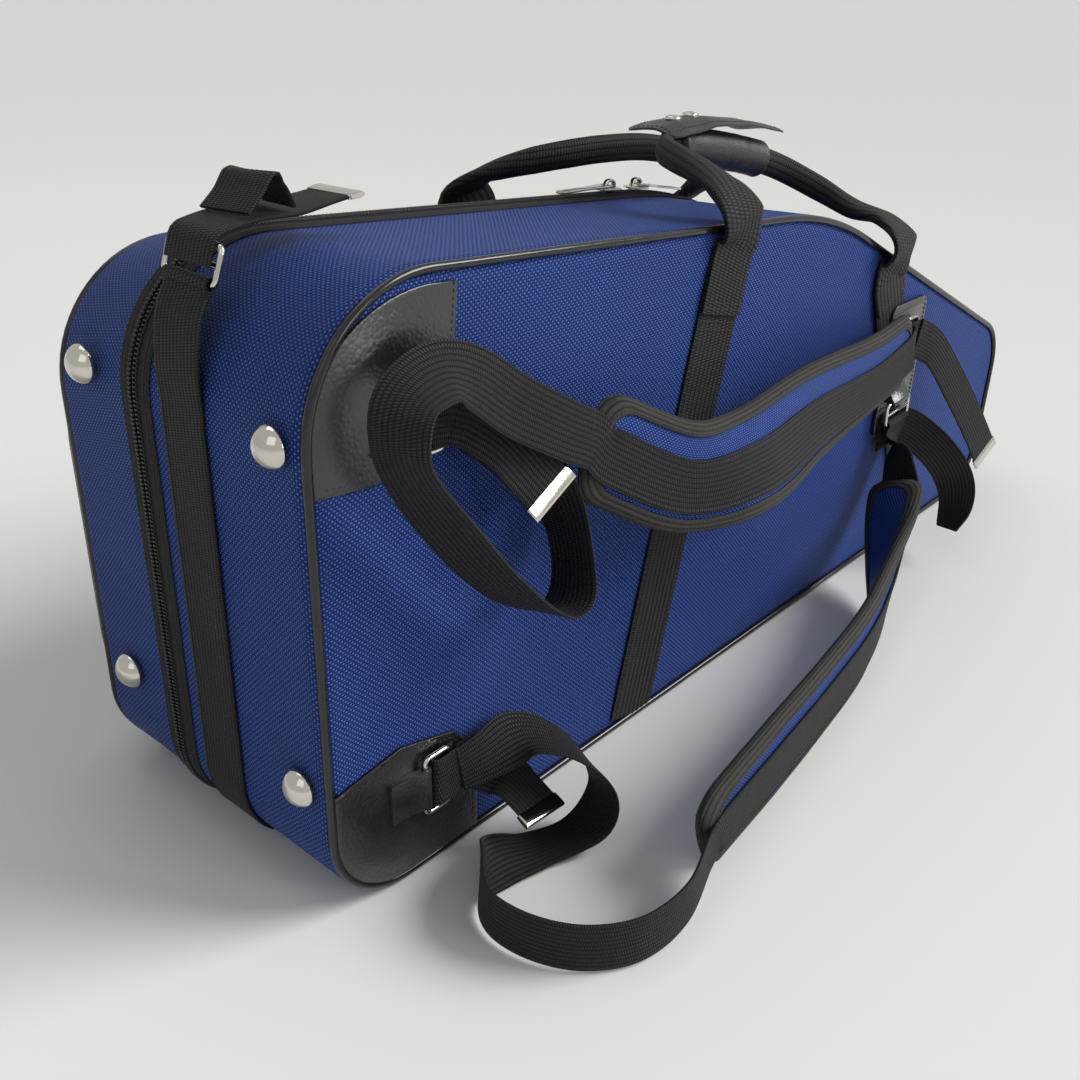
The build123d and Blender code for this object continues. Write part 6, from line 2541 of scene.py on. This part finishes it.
@dataclass
class ShoulderStraps:
    """Both carrying straps with their pads, slack loops, tails and anchors."""

    shop: Workshop
    upper_loop: Sequence[Station] = (
        ((-326, -109.2, 275.3), (0.05, 1, 0.05)),
        ((-316, -110.8, 270), (0.1, 1, 0.1)),
        ((-298, -115, 255), (0.2, 0.95, 0.2)),
        ((-274, -119, 231), (0.35, 0.85, 0.4)),
        ((-257, -126, 201), (0.93, 0.2, 0.25)),
        ((-260, -137, 174), (0.95, -0.1, -0.3)),
        ((-275, -146, 160), (0.35, -0.15, -0.93)),
        ((-293, -143, 163), (-0.4, -0.25, -0.88)),
        ((-322, -139, 189), (-0.7, -0.4, -0.55)),
        ((-356, -137, 232), (-0.75, -0.45, -0.45)),
        ((-384, -142, 270), (-0.93, -0.3, -0.2)),
        ((-391, -145, 290), (-0.97, -0.25, 0.1)),
        ((-382, -141, 304), (-0.7, -0.4, 0.6)),
        ((-358, -137, 309), (-0.25, -0.65, 0.7)),
        ((-334, -134, 300), (-0.1, -0.9, 0.4)),
        ((-302, -133, 277), (0, -1, 0.1)),
        ((-266, -135, 255), (0, -1, 0.1)),
    )
    upper_pad: Sequence[Station] = (
        ((-242, -129, 240), (0, -0.95, 0.2)),
        ((-230, -133, 233), (0, -1, 0.1)),
        ((-178, -151, 206), (0, -1, 0.1)),
        ((-118, -158, 200), (0, -0.89, 0.45)),
        ((-22, -144, 200), (-0.05, -0.95, 0.28)),
        ((84, -130, 195), (-0.1, -1, 0)),
        ((150, -123, 198), (0, -1, 0)),
        ((165, -121, 199), (0, -1, 0)),
    )
    upper_widths: Sequence[float] = (54, 61, 64, 64, 64, 64, 60, 50)
    upper_end: Sequence[Station] = (((173, -120, 198), (0.3, -1, 0)), ((175.5, -113.5, 197), (0, -1, 0)))
    upper_tail: Sequence[Station] = (
        ((-326, -113.8, 275.3), (0, -1, 0)),
        ((-316, -116.6, 270), (0, -1, 0)),
        ((-300, -122, 256), (0, -1, 0)),
        ((-285, -129, 235), (0, -1, 0)),
        ((-277, -137, 221), (0, -1, 0)),
    )
    lower_loop: Sequence[Station] = (
        ((-325.6, -114.8, 61), (0, -1, 0.05)),
        ((-310, -119, 64), (0, -1, 0.3)),
        ((-286, -126, 70), (0.1, -0.5, 0.85)),
        ((-270, -142, 64), (0.4, -0.25, 0.87)),
        ((-260, -156, 50), (0.75, -0.25, 0.6)),
        ((-256, -164, 33), (0.95, -0.3, 0.1)),
        ((-261, -163, 16), (0.8, -0.2, -0.55)),
        ((-275, -156, 5), (0.25, -0.2, -0.95)),
        ((-296, -147, 3), (0, 0, -1)),
        ((-324, -143, 10), (-0.25, 0.6, -0.75)),
        ((-346, -151, 17.5), (-0.61, 0.79, 0)),
        ((-361, -170, 17.5), (-0.98, 0.2, 0)),
        ((-360, -198, 17.5), (-0.97, -0.2, 0)),
        ((-346, -225, 17.5), (-0.8, -0.6, 0)),
        ((-320, -243, 17.5), (-0.3, -0.95, 0)),
        ((-284, -246, 19), (0.15, -0.98, 0)),
    )
    lower_pad: Sequence[Station] = (
        ((-248, -229, 27), (0.2, -0.97, 0)),
        ((-234, -228, 31), (0.1, -1, 0)),
        ((-160, -220, 32.4), (0.05, -1, 0)),
        ((-80, -210, 32.4), (0.1, -1, 0)),
        ((0, -197, 32.4), (0.15, -1, 0)),
        ((70, -176, 34), (0.34, -0.87, -0.08)),
        ((118, -156, 45), (0.48, -0.64, -0.25)),
        ((152, -140, 64), (0.62, -0.4, -0.45)),
        ((172, -131, 84), (0.75, -0.15, -0.6)),
    )
    lower_widths: Sequence[float] = (50, 58, 64, 64, 64, 64, 62, 54, 44)
    lower_end: Sequence[Station] = (
        ((181, -125, 102), (0.8, -0.5, -0.3)),
        ((183.8, -119, 112), (0.4, -0.9, -0.1)),
        ((184.4, -115.7, 121), (0, -1, 0)),
    )
    lower_tail: Sequence[Station] = (
        ((-325.6, -109.0, 59), (0, -1, 0)),
        ((-312, -110.8, 57), (0, -1, 0.1)),
        ((-296, -118, 46), (0, -0.9, 0.3)),
        ((-292, -134, 36), (0.1, -0.4, 0.9)),
        ((-292, -150, 28), (0.1, -0.5, 0.85)),
    )
    anchor_upper_tail: Sequence[Station] = (
        ((194.5, -117.4, 198.6), (0, -1, 0)),
        ((204.4, -117.6, 195.0), (0, -1, 0)),
        ((219, -125, 184), (-0.1, -0.95, 0.1)),
        ((235, -142, 151), (-0.2, -0.9, 0.25)),
        ((251, -155, 120), (-0.2, -0.9, 0.3)),
        ((267, -166, 89), (-0.2, -0.9, 0.3)),
    )
    anchor_lower_tail: Sequence[Station] = (
        ((192.0, -111.7, 120.6), (0, -1, 0)),
        ((204.4, -112.2, 119.6), (0, -1, 0)),
        ((217, -121, 112), (-0.3, -0.9, 0)),
        ((230, -139, 94), (-0.6, -0.75, 0.1)),
        ((239, -153, 72), (-0.88, -0.4, 0.25)),
        ((239, -159, 50), (-0.97, 0.1, 0.1)),
        ((229, -159, 29), (-0.75, 0.62, 0.1)),
    )

    def tail(self, name: str, body: Body, node: str, stations: Sequence[Station], tip: str | None) -> None:
        """A loose end of webbing, with a metal end or a heat-cut one.

        Args:
            name: Name of the piece.
            body: Body that it rides on.
            node: Node that it stands for.
            stations: Its stations.
            tip: Node of its metal end, or None.
        """
        frames = Route.of(stations).smooth(3.0)
        piece = strap(name, frames, self.shop.finishes.strap)
        if body in (Body.TAIL_UPPER, Body.TAIL_LOWER):
            span = (tuple(frames.spots[0]), tuple(frames.spots[5]))
            bent(piece, (Body.BASE, body), span, Slot.WEBBING, [node])
        else:
            fitted(piece, body, Slot.WEBBING, [node])
        if tip:
            toothed = body is Body.TAIL_UPPER
            Crimp(f"{name}_metal_end", 32.0, toothed).build(self.shop, frames, body, tip)

    def build(self) -> None:
        """Makes both straps and the anchors' loose ends."""
        upper = (self.upper_loop, self.upper_pad, self.upper_end)
        lower = (self.lower_loop, self.lower_pad, self.lower_end)
        for which, body, (loop, pad, ending), widths, shift in (
            ("upper", Body.STRAP_UPPER, upper, self.upper_widths, -5.5),
            ("lower", Body.STRAP_LOWER, lower, self.lower_widths, 0.0),
        ):
            ShoulderPad(self.shop, f"{which}_pad", body, f"strap_pad_{which}", pad, widths).build()
            node = f"strap_webbing_{which}"
            LongStrap(self.shop, f"{which}_strap", body, node, loop, pad, ending, pad_shift=shift).build()
        long_tail = (Body.TAIL_UPPER, "anchor_tail_upper", self.anchor_upper_tail, "anchor_tip_upper")
        short_tail = (Body.TAIL_LOWER, "anchor_tail_lower", self.anchor_lower_tail, None)
        for name, (body, node, stations, tip) in {
            "upper": (Body.STRAP_UPPER, "strap_tail_upper", self.upper_tail, "strap_tip_upper"),
            "lower": (Body.STRAP_LOWER, "strap_tail_lower", self.lower_tail, "strap_tip_lower"),
            "upper_anchor": long_tail,
            "lower_anchor": short_tail,
        }.items():
            self.tail(f"{name}_loose_end", body, node, stations, tip)


@dataclass
class EndStrap:
    """Strap up the bell end, its buckle and the loose tail over the top."""

    shop: Workshop
    y: float = -15.5
    width: float = 36.0
    thickness: float = 2.0
    foot: float = 12.0
    top: float = 284.0
    start: Point = (-395.02, -15.5, 356.57)
    tail: Sequence[Station] = (
        ((-1.0, 0, -0.7), (-0.5, 0, 0.85)),
        ((3.4, 0.2, 1.4), (-0.2, 0, 1)),
        ((25, 2.5, 3.4), (0, 0, 1)),
        ((50, 4.5, 2.4), (0.05, 0, 1)),
        ((73, 4.5, 4.4), (0, 0.05, 1)),
        ((89, 3.5, 6.4), (0, 0.05, 1)),
    )
    fold: Sequence[Station] = (
        ((18, 2.5, 6), (-0.5, 0, 0.85)),
        ((27, 3.5, 13.4), (-0.7, 0, 0.7)),
        ((35, 4.5, 21.4), (-0.5, 0, 0.85)),
        ((42, 5.5, 17.4), (0.85, 0, 0.4)),
        ((48, 5.5, 5.8), (0.7, 0, 0.6)),
    )

    def placed(self, stations: Sequence[Station]) -> list[Station]:
        """Stations given from where the tail leaves the buckle."""
        return [(tuple(a + b for a, b in zip(self.start, point)), normal) for point, normal in stations]

    def build(self) -> None:
        """Makes the strap, buckle, crossing and tail."""
        form, finish = self.shop.form, self.shop.finishes.strap
        bell = form.bell_x
        seat = SlideSeat((bell + 14, self.y, self.top + 60), (0.34, 0, 0.94), (-0.94, 0, 0.34))
        ring = form.ring(self.y, self.thickness / 2)
        side = ring[(ring[:, 0] < bell + 40) & (ring[:, 2] > self.foot) & (ring[:, 2] < self.top - 4)]
        spots = sorted([tuple(p) for p in side], key=lambda p: p[2])
        stations: list[Station] = []
        for p in spots:
            low = max(0.0, 55.0 - p[2]) / 55.0
            stations.append((p, (-math.sqrt(max(1 - low**2, 0.05)), 0.0, -low)))
        face_x = bell - self.thickness / 2
        stations.append(((face_x, self.y, self.top + 12), (-1, 0, 0)))
        stations.append(((face_x + 4, self.y, self.top + 36), (-0.95, 0, 0.25)))
        stations.append((tuple(seat.point(-9.0 - 2.9, 0, 0)), (-0.94, 0, 0.34)))
        frames = Route.of(stations).smooth(4.0)
        skin = Skin()
        swept(skin, frames, StrapSection(self.width, self.thickness, 3.0).outline())
        buckle = WireSlide(self.shop, seat, self.width)
        buckle.hem(skin, -9.0, 12.0)
        fitted(skin.piece("end_strap_webbing", finish), Body.BASE, Slot.WEBBING, ["end_strap"])
        skin = Skin()
        buckle.shape(skin)
        wire = skin.piece("end_wire_buckle", self.shop.finishes.nickel, 70.0)
        fitted(wire, Body.BASE, Slot.NICKEL, ["end_buckle"])
        over = 2.9
        crossing = [(-1.8, over, (-0.94, 0, 0.7)), (9.0, over, (-0.94, 0, 0.7))]
        crossing += [(11.4, over * 0.8, (-0.54, 0, 0.7)), (13.0, 1.0, (-0.54, 0, 0.7))]
        route = Route.of([(tuple(seat.point(x, 0, z)), normal) for x, z, normal in crossing])
        piece = strap("end_strap_over_buckle", route.smooth(2.0), finish, self.width, self.thickness)
        fitted(piece, Body.BASE, Slot.WEBBING, ["end_strap_crossing"])
        tail = Route.of(self.placed(self.tail)).smooth(3.0)
        piece = strap("end_loose_tail", tail, finish, self.width, self.thickness)
        span = (tuple(tail.spots[0]), tuple(tail.spots[4]))
        bent(piece, (Body.BASE, Body.TAIL_END), span, Slot.WEBBING, ["end_tail"])
        fold = Route.of(self.placed(self.fold)).smooth(2.0)
        piece = strap("end_tail_standing_fold", fold, finish, self.width, self.thickness)
        fitted(piece, Body.TAIL_END, Slot.WEBBING, ["end_tail_fold"])
        Crimp("end_tail_metal_end", self.width, True).build(self.shop, tail, Body.TAIL_END, "end_tail_tip")
        seams = []
        sewn = frames.spots[:, 2] < self.top
        for edge in (-1, 1):
            line = frames.beside(edge, self.width / 2 - 2.4, self.thickness / 2)
            seams.append((line[sewn], frames.outward[sewn]))
        self.shop.stitched("end_strap_stitches", Body.BASE, seams, Slot.WEBBING, 3.2)


@dataclass
class CarryingLoop:
    """Handle loop: webbing carried up from both bands and rolled round a core between them."""

    shop: Workshop
    name: str
    body: Body
    node: str
    face: float
    middle: Sequence[Station]
    sizes: Sequence[tuple[float, float]]
    feet: tuple[tuple[float, float], tuple[float, float]]
    reach: tuple[float, float] = (38.0, 24.0)
    band_width: float = 44.0
    band_lift: float = 2.65
    bead_lift: float = 4.7
    bend: float = 10.0

    def uphill(self) -> np.ndarray:
        """Direction in the face at right angles to the line through both feet."""
        (ax, az), (bx, bz) = self.feet
        return unit(np.array([az - bz, 0.0, bx - ax]))

    def route(self) -> tuple[Frames, list[tuple[float, float]]]:
        """Lays out the whole loop.

        Returns:
            Its frames, and the width and height at each station.
        """
        out = -1.0 if self.face < 0 else 1.0
        roots = []
        for (x, z), lean, reach in zip(self.feet, self.shop.form.band_leans, self.reach):
            way = unit(np.array([lean, 0.0, 1.0]))
            foot = np.array([x, self.face + out * self.band_lift, z])
            high = np.array([x, self.face + out * self.bead_lift, z]) + self.uphill() * 9.0
            roots.append([(tuple(foot - way * reach), (0.0, out, 0.0)), (tuple(foot), (0.0, out, 0.0))])
            roots[-1].append((tuple(high), (0.0, out, 0.15)))
        stations = roots[0] + list(self.middle) + roots[1][::-1]
        flat = [(self.band_width, 1.9), (self.band_width, 1.9), (self.band_width, 2.6)]
        sizes = flat + list(self.sizes) + flat[::-1]
        return Route.of(stations).smooth(3.5), sizes

    def build(self) -> None:
        """Makes the loop and the stitches of its lengthwise seam."""
        frames, sizes = self.route()
        index = np.arange(len(sizes))
        widths = np.interp(frames.station, index, [w for w, _ in sizes])
        heights = np.interp(frames.station, index, [h for _, h in sizes])
        sections = []
        for width, height in zip(widths, heights):
            rolled = float(np.clip((height / width - 0.5) / 0.6, 0, 1))
            sections.append(RolledSection(width, height, 40, 0.07 * rolled).outline())
        skin = Skin()
        swept(skin, frames, sections)
        piece = skin.piece(f"{self.name}_roll", self.shop.finishes.band, 60.0)
        x, z = self.feet[0]
        foot = np.array([x, self.face, z])
        tray = Body.BASE if self.face < 0 else Body.LID
        span = (tuple(foot), tuple(foot + self.uphill() * self.bend))
        bent(piece, (tray, self.body), span, Slot.WEBBING, [self.node])
        self.root_stitches(frames, tray)
        rolled = heights > widths
        seam = frames.spots - frames.outward * (heights / 2 * 0.62)[:, None]
        seam = seam + frames.across * (widths / 2 * 0.68)[:, None]
        away = unit(frames.across * 0.6 - frames.outward)
        line = seam[rolled] + away[rolled] * 0.6
        self.shop.stitched(f"{self.name}_seam", self.body, [(line, away[rolled])], Slot.WEBBING, 3.6)

    def root_stitches(self, frames: Frames, tray: Body) -> None:
        """Makes the stitches that hold both ends to the bands.

        Args:
            frames: Frames of the loop.
            tray: Body that the bands are on.
        """
        lines = []
        reach = np.linspace(-self.band_width / 2 + 3.0, self.band_width / 2 - 3.0, 14)
        for from_end in (3.5, 8.0):
            for run in (from_end, frames.run[-1] - from_end):
                i = int(np.argmin(np.abs(frames.run - run)))
                line = frames.spots[i] + frames.outward[i] * 1.0 + reach[:, None] * frames.across[i]
                lines.append((line, same_way(frames.outward[i], len(line))))
        self.shop.stitched(f"{self.name}_root_stitches", tray, lines, Slot.WEBBING, 3.4)


@dataclass
class Handle:
    """Both carrying loops, the leather grip on the near one and its flap with two snaps."""

    shop: Workshop
    near_middle: Sequence[Station] = (
        ((-80, -112, 335), (0, -0.85, 0.5)),
        ((-79, -98, 347), (0, -0.5, 0.87)),
        ((-75, -78, 353), (0, -0.2, 1)),
        ((-66, -52, 357), (0, 0, 1)),
        ((-50, -30, 358), (0, 0, 1)),
        ((-22, -16, 356.5), (0, 0, 1)),
        ((12, -15, 352), (0, 0, 1)),
        ((51, -15, 345), (0.1, 0, 1)),
        ((88, -16, 336.5), (0.2, 0, 1)),
        ((116, -22, 327), (0.3, 0, 1)),
        ((136, -44, 313), (0.3, -0.1, 0.9)),
        ((144, -70, 301), (0.1, -0.4, 0.9)),
        ((146, -96, 297), (0.15, -0.6, 0.8)),
        ((147, -115, 284), (0.1, -0.9, 0.4)),
    )
    far_middle: Sequence[Station] = (
        ((-94, 112, 316), (0, 0.85, 0.5)),
        ((-92, 99, 328), (0, 0.5, 0.87)),
        ((-87, 82, 336), (0, 0.2, 1)),
        ((-74, 62, 343), (0, 0, 1)),
        ((-54, 48, 347), (0, 0, 1)),
        ((-26, 42, 348), (0, 0, 1)),
        ((20, 41, 345), (0, 0, 1)),
        ((70, 41, 336), (0.1, 0, 1)),
        ((112, 43, 325), (0.2, 0, 1)),
        ((136, 54, 313), (0.3, 0.1, 0.9)),
        ((151, 74, 300), (0.2, 0.3, 0.9)),
        ((158, 94, 285), (0, 0.6, 0.8)),
        ((161, 114, 270), (0.1, 0.9, 0.4)),
    )
    near_feet: tuple[tuple[float, float], tuple[float, float]] = ((-79.85, 310.75), (146.33, 255.64))
    far_feet: tuple[tuple[float, float], tuple[float, float]] = ((-84.74, 290.12), (158.91, 229.09))
    rolled: tuple[float, float] = (13.0, 19.0)
    grip_size: tuple[float, float] = (25.0, 27.0)
    flap_y: float = -15.0
    flap_back: float = 15.0
    flap_front: float = 28.0
    leather: float = 1.8
    flap_line: Sequence[tuple[float, float]] = (
        (-42, 370),
        (-22, 373),
        (8, 374),
        (50, 369),
        (90, 362),
        (104, 358),
    )

    def build(self) -> None:
        """Makes the loops, grip, flap and snaps."""
        ends = [(42.0, 4.2), (33.0, 9.0), (23.0, 14.5), (15.5, 18.0)]
        near_sizes = ends + [self.rolled] * 6 + ends[::-1]
        far_sizes = ends + [self.rolled] * 5 + ends[::-1]
        form = self.shop.form
        near = ("near_loop", Body.HANDLE_NEAR, "handle_loop_near", form.back, self.near_middle, near_sizes)
        far = ("far_loop", Body.HANDLE_FAR, "handle_loop_far", form.front, self.far_middle, far_sizes)
        CarryingLoop(self.shop, *near, self.near_feet).build()
        CarryingLoop(self.shop, *far, self.far_feet).build()
        self.grip()
        self.flap()
        self.snaps()

    def grip(self) -> None:
        """Leather rolled round the near loop, creased where it bends, with turned ends."""
        frames = Route.of(self.near_middle[4:10]).smooth(1.6)
        inside = (frames.station > 0.95) & (frames.station < 4.05)
        frames = Frames.along(frames.spots[inside], frames.outward[inside])
        width, height = self.grip_size
        sections = []
        for run in frames.run:
            end = min(run, frames.run[-1] - run)
            lip = 1.0 + 0.03 * math.exp(-(((end - 3.0) / 2.0) ** 2)) - 0.10 * math.exp(-((end / 1.3) ** 2))
            fold = noise.noise(Vector((run / 9.0, 0.0, 2.0)))
            fold += 0.5 * noise.noise(Vector((run / 3.6, 4.0, 0.0)))
            section = RolledSection(width - 1.0, height - 1.0, 44).outline()
            turn = np.arctan2(section[:, 1], section[:, 0])
            crease = 1 + 0.022 * fold * (0.6 + 0.4 * np.sin(turn + run / 17.0))
            sections.append(section * (lip * crease)[:, None])
        skin = Skin()
        swept(skin, frames, sections)
        piece = skin.piece("leather_grip", self.shop.finishes.soft_leather, 60.0)
        fitted(piece, Body.HANDLE_NEAR, Slot.LEATHER, ["grip_roll"])

    def flap_height(self, x: float) -> float:
        """Height of the flap's crown at x."""
        places = [p for p, _ in self.flap_line]
        return float(np.interp(x, places, [z for _, z in self.flap_line]))

    def flap_row(self, x: float, share: float, lift: float, count: int = 21) -> np.ndarray:
        """One line of points across the flap.

        Args:
            x: Its place.
            share: Share of the full width there.
            lift: How far above the upper face.
            count: Number of points.

        Returns:
            The points.
        """
        reach = np.linspace(-self.flap_back * share, self.flap_front * share, count)
        heights = np.interp(reach, (-15, -7.5, 0, 14, 28), (-3.0, -0.7, 0.0, -1.3, -5.0))
        smooth = np.convolve(np.pad(heights, 2, mode="edge"), np.ones(5) / 5, mode="valid")
        rows = []
        for y, z in zip(reach, smooth):
            wave = 0.7 * noise.noise(Vector((x / 24.0, y / 16.0, 1.0)))
            hang = 3.2 * math.exp(-(((x + 16.0) / 36.0) ** 2)) * min(max((-y - 1.0) / 14.0, 0.0), 1.0) ** 1.4
            rows.append((x, self.flap_y + y, self.flap_height(x) + z + wave - hang + lift))
        return np.array(rows)

    def flap(self) -> None:
        """Makes the flap and the stitches inside its edge."""
        left, right = self.flap_line[0][0], self.flap_line[-1][0]
        places = np.linspace(left, right, 60)
        rows = []
        for x in places:
            end = min(x - left, right - x)
            share = 1 - 0.45 * (1 - math.sqrt(1 - (1 - min(end / 12.0, 1.0)) ** 2))
            upper = self.flap_row(x, share, -0.1)
            lower = self.flap_row(x, share, -self.leather + 0.1)
            upper[0, 2] -= 0.35
            upper[-1, 2] -= 0.35
            rows.append(np.vstack([upper, lower[::-1]]))
        skin = Skin()
        skin.tube(np.array(rows))
        piece = skin.piece("handle_flap", self.shop.finishes.soft_leather, 50.0)
        fitted(piece, Body.FLAP, Slot.LEATHER, ["grip_flap"])
        lines = []
        for column in (0.14, 0.9):
            line = []
            for x in places[4:-4]:
                row = self.flap_row(x, 1.0, 0.0)
                line.append(row[int(column * 20)])
            lines.append((np.array(line), same_way((0.0, 0.0, 1.0), len(line))))
        for x in (left + 4, right - 4):
            row = self.flap_row(x, 0.85, 0.0)[2:-2]
            lines.append((row, same_way((0.0, 0.0, 1.0), len(row))))
        self.shop.stitched("flap_stitches", Body.FLAP, lines, Slot.LEATHER, 3.4)

    def snaps(self) -> None:
        """Makes the two snap caps."""
        skin = Skin()
        profile = [(0.0, -0.6), (5.6, -0.6), (5.7, 0.4), (5.3, 1.1), (4.6, 1.35), (4.2, 1.1), (3.6, 1.5)]
        profile += [(2.6, 1.95), (1.3, 2.2), (0.0, 2.25)]
        for x in (-14.0, 6.0):
            seat = Matrix.Translation((x, self.flap_y + 6.0, self.flap_height(x) - 0.2))
            seat = seat @ Matrix.Rotation(math.radians(4.6), 4, "Y")
            Hardware(self.shop).turned(skin, profile, seat, 32)
        piece = skin.piece("snap_caps", self.shop.finishes.nickel, 50.0)
        fitted(piece, Body.FLAP, Slot.NICKEL, ["flap_snaps"])


@dataclass
class ZipSliders:
    """Sliders with their bails and long slotted pulls."""

    shop: Workshop
    sets: Sequence[tuple[str, str, Body]] = (
        ("left_slider", "zip_slider_left", Body.SLIDER_LEFT),
        ("left_pull", "zip_pull_left", Body.PULL_LEFT),
        ("right_slider", "zip_slider_right", Body.SLIDER_RIGHT),
        ("right_pull", "zip_pull_right", Body.PULL_RIGHT),
        ("side_slider", "pocket_slider", Body.SLIDER_POCKET),
        ("side_pull", "pocket_pull", Body.PULL_POCKET),
    )

    def build(self) -> None:
        """Makes the metal pieces with softened edges."""
        hardware = Hardware(self.shop)
        for name, node, body in self.sets:
            hardware.refined(name, body, Slot.NICKEL, [node], self.shop.finishes.nickel, 0.3)


@dataclass
class Studio:
    """Pale floor, soft light and the camera."""

    location: Point = (-0.7026, -0.4924, 0.4818)
    right: Point = (0.6608, -0.7501, 0.0253)
    down: Point = (-0.3285, -0.3194, -0.8889)
    forward: Point = (0.6749, 0.5791, -0.4574)
    lens: float = 39.35
    floor_reach: float = 14.0
    floor_z: float = -0.0006
    floor_colour: tuple[float, float, float, float] = (0.88, 0.875, 0.845, 1.0)
    seen_light: float = 0.64
    ambient: float = 0.3

    def floor(self) -> None:
        """Makes the floor."""
        shader = Shader("pale_floor")
        shader.colour(self.floor_colour)
        shader.set(Roughness=0.7, Specular_IOR_Level=0.1)
        mesh = bpy.data.meshes.new("floor")
        signs = ((-1, -1), (1, -1), (1, 1), (-1, 1))
        corners = [(x * self.floor_reach, y * self.floor_reach, self.floor_z) for x, y in signs]
        mesh.from_pydata(corners, [], [(0, 1, 2, 3)])
        mesh.materials.append(shader.material)
        floor = put_in_scene("floor", mesh)

    def world(self) -> None:
        """Sets the even light all round, and the pale background that the camera and metal see."""
        world = bpy.data.worlds.new("studio")
        world.use_nodes = True
        tree = world.node_tree
        back = tree.nodes["Background"]
        output = tree.nodes["World Output"]
        back.inputs["Color"].default_value = (1.0, 1.0, 1.0, 1.0)
        back.inputs["Strength"].default_value = self.ambient
        seen = tree.nodes.new("ShaderNodeBackground")
        seen.inputs["Color"].default_value = self.floor_colour
        seen.inputs["Strength"].default_value = self.seen_light
        path = tree.nodes.new("ShaderNodeLightPath")
        any_of = path.outputs["Is Camera Ray"]
        for kind in ("Is Glossy Ray", "Is Transmission Ray"):
            either = tree.nodes.new("ShaderNodeMath")
            either.operation = "MAXIMUM"
            tree.links.new(any_of, either.inputs[0])
            tree.links.new(path.outputs[kind], either.inputs[1])
            any_of = either.outputs[0]
        mix = tree.nodes.new("ShaderNodeMixShader")
        for i, source in enumerate((any_of, back.outputs[0], seen.outputs[0])):
            tree.links.new(source, mix.inputs[i])
        tree.links.new(mix.outputs[0], output.inputs[0])
        bpy.context.scene.world = world

    def far_lamp(self, toward: Point, strength: float, spread: float) -> None:
        """A wide soft lamp so far away that it lights floor and case evenly.

        Args:
            toward: Direction from the case to the lamp.
            strength: Its light on a surface that faces it, in watts per square metre.
            spread: How wide it looks from the case, in degrees.
        """
        data = bpy.data.lights.new("key", "SUN")
        data.energy = strength
        data.angle = math.radians(spread)
        lamp = put_in_scene("key", data)
        lamp.location = toward
        lamp.rotation_euler = (-Vector(toward)).to_track_quat("-Z", "Y").to_euler()

    def lamp(self, name: str, place: Point, energy: float, size: float) -> None:
        """One soft lamp that points at the middle of the case.

        Args:
            name: Its name.
            place: Where it stands, in metres.
            energy: Its power in watts.
            size: Width of its square, in metres.
        """
        data = bpy.data.lights.new(name, "AREA")
        data.energy = energy
        data.size = size
        lamp = put_in_scene(name, data)
        lamp.location = place
        aim = Vector((0.0, 0.0, 0.18)) - Vector(place)
        lamp.rotation_euler = aim.to_track_quat("-Z", "Y").to_euler()

    def camera(self) -> None:
        """Puts the camera where the photograph was taken."""
        data = bpy.data.cameras.new("camera")
        data.lens = self.lens
        data.sensor_width = 36.0
        camera = put_in_scene("camera", data)
        x, y, z = Vector(self.right), -Vector(self.down), -Vector(self.forward)
        turned = Matrix((x, y, z)).transposed().to_4x4()
        camera.matrix_world = Matrix.Translation(self.location) @ turned
        bpy.context.scene.camera = camera

    def build(self) -> None:
        """Makes the floor, lights and camera."""
        self.floor()
        self.world()
        self.far_lamp((1.2, -1.1, 1.16), 2.5, 32.0)
        self.lamp("fill", (-1.7, -0.7, 1.5), 2.5, 1.2)
        self.lamp("top", (-0.2, 0.7, 2.2), 5.0, 1.2)
        self.lamp("glint", (0.1, -2.1, 0.85), 5.0, 0.6)
        self.camera()
        bpy.context.scene.view_settings.view_transform = "Standard"


def main() -> None:
    """Builds the case, piece by piece, then the studio."""
    logging.basicConfig(level=logging.INFO, format="%(name)s: %(message)s")
    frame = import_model()
    form = CaseForm()
    finishes = Finishes()
    shop = Workshop(form, finishes, frame["nodes"])
    Shell(form, finishes, Body.BASE, form.back, form.zip - form.rim_gap, wall_floor=11.5).build()
    Shell(form, finishes, Body.LID, form.front, form.zip + form.rim_gap, wall_floor=80.0).build()
    Piping(shop, Body.BASE, form.back).build()
    Piping(shop, Body.LID, form.front).build()
    ZipSide(shop, Body.BASE, form.tape_back, form.zip - form.teeth_gap).build()
    ZipSide(shop, Body.LID, form.tape_front, form.zip + form.teeth_gap).build()
    near, far = form.zip - form.leaf_gap, form.zip + form.leaf_gap
    SpineStrip(shop, Body.BASE, near - form.leaf_width, near).build()
    SpineStrip(shop, Body.LID, far, far + form.leaf_width).build()
    for name, foot, lean, seam in zip(("band_a", "band_b"), form.band_feet, form.band_leans, (40.0, None)):
        FlatBand(shop, name, Body.BASE, form.back, foot, lean, near, cross_seam=seam).build()
        FlatBand(shop, name, Body.LID, form.front, foot, lean, far).build()
    Studs(shop, Body.BASE, y=-87.0).build()
    Studs(shop, Body.LID, y=71.5).build()
    lining = Lining(shop)
    lining.block()
    lining.pad()
    Pocket(shop).build()
    ZipSliders(shop).build()
    BackHardware(shop).build()
    ShoulderStraps(shop).build()
    EndStrap(shop).build()
    Handle(shop).build()
    shop.small.clear()
    Studio().build()


if __name__ == "__main__":
    main()
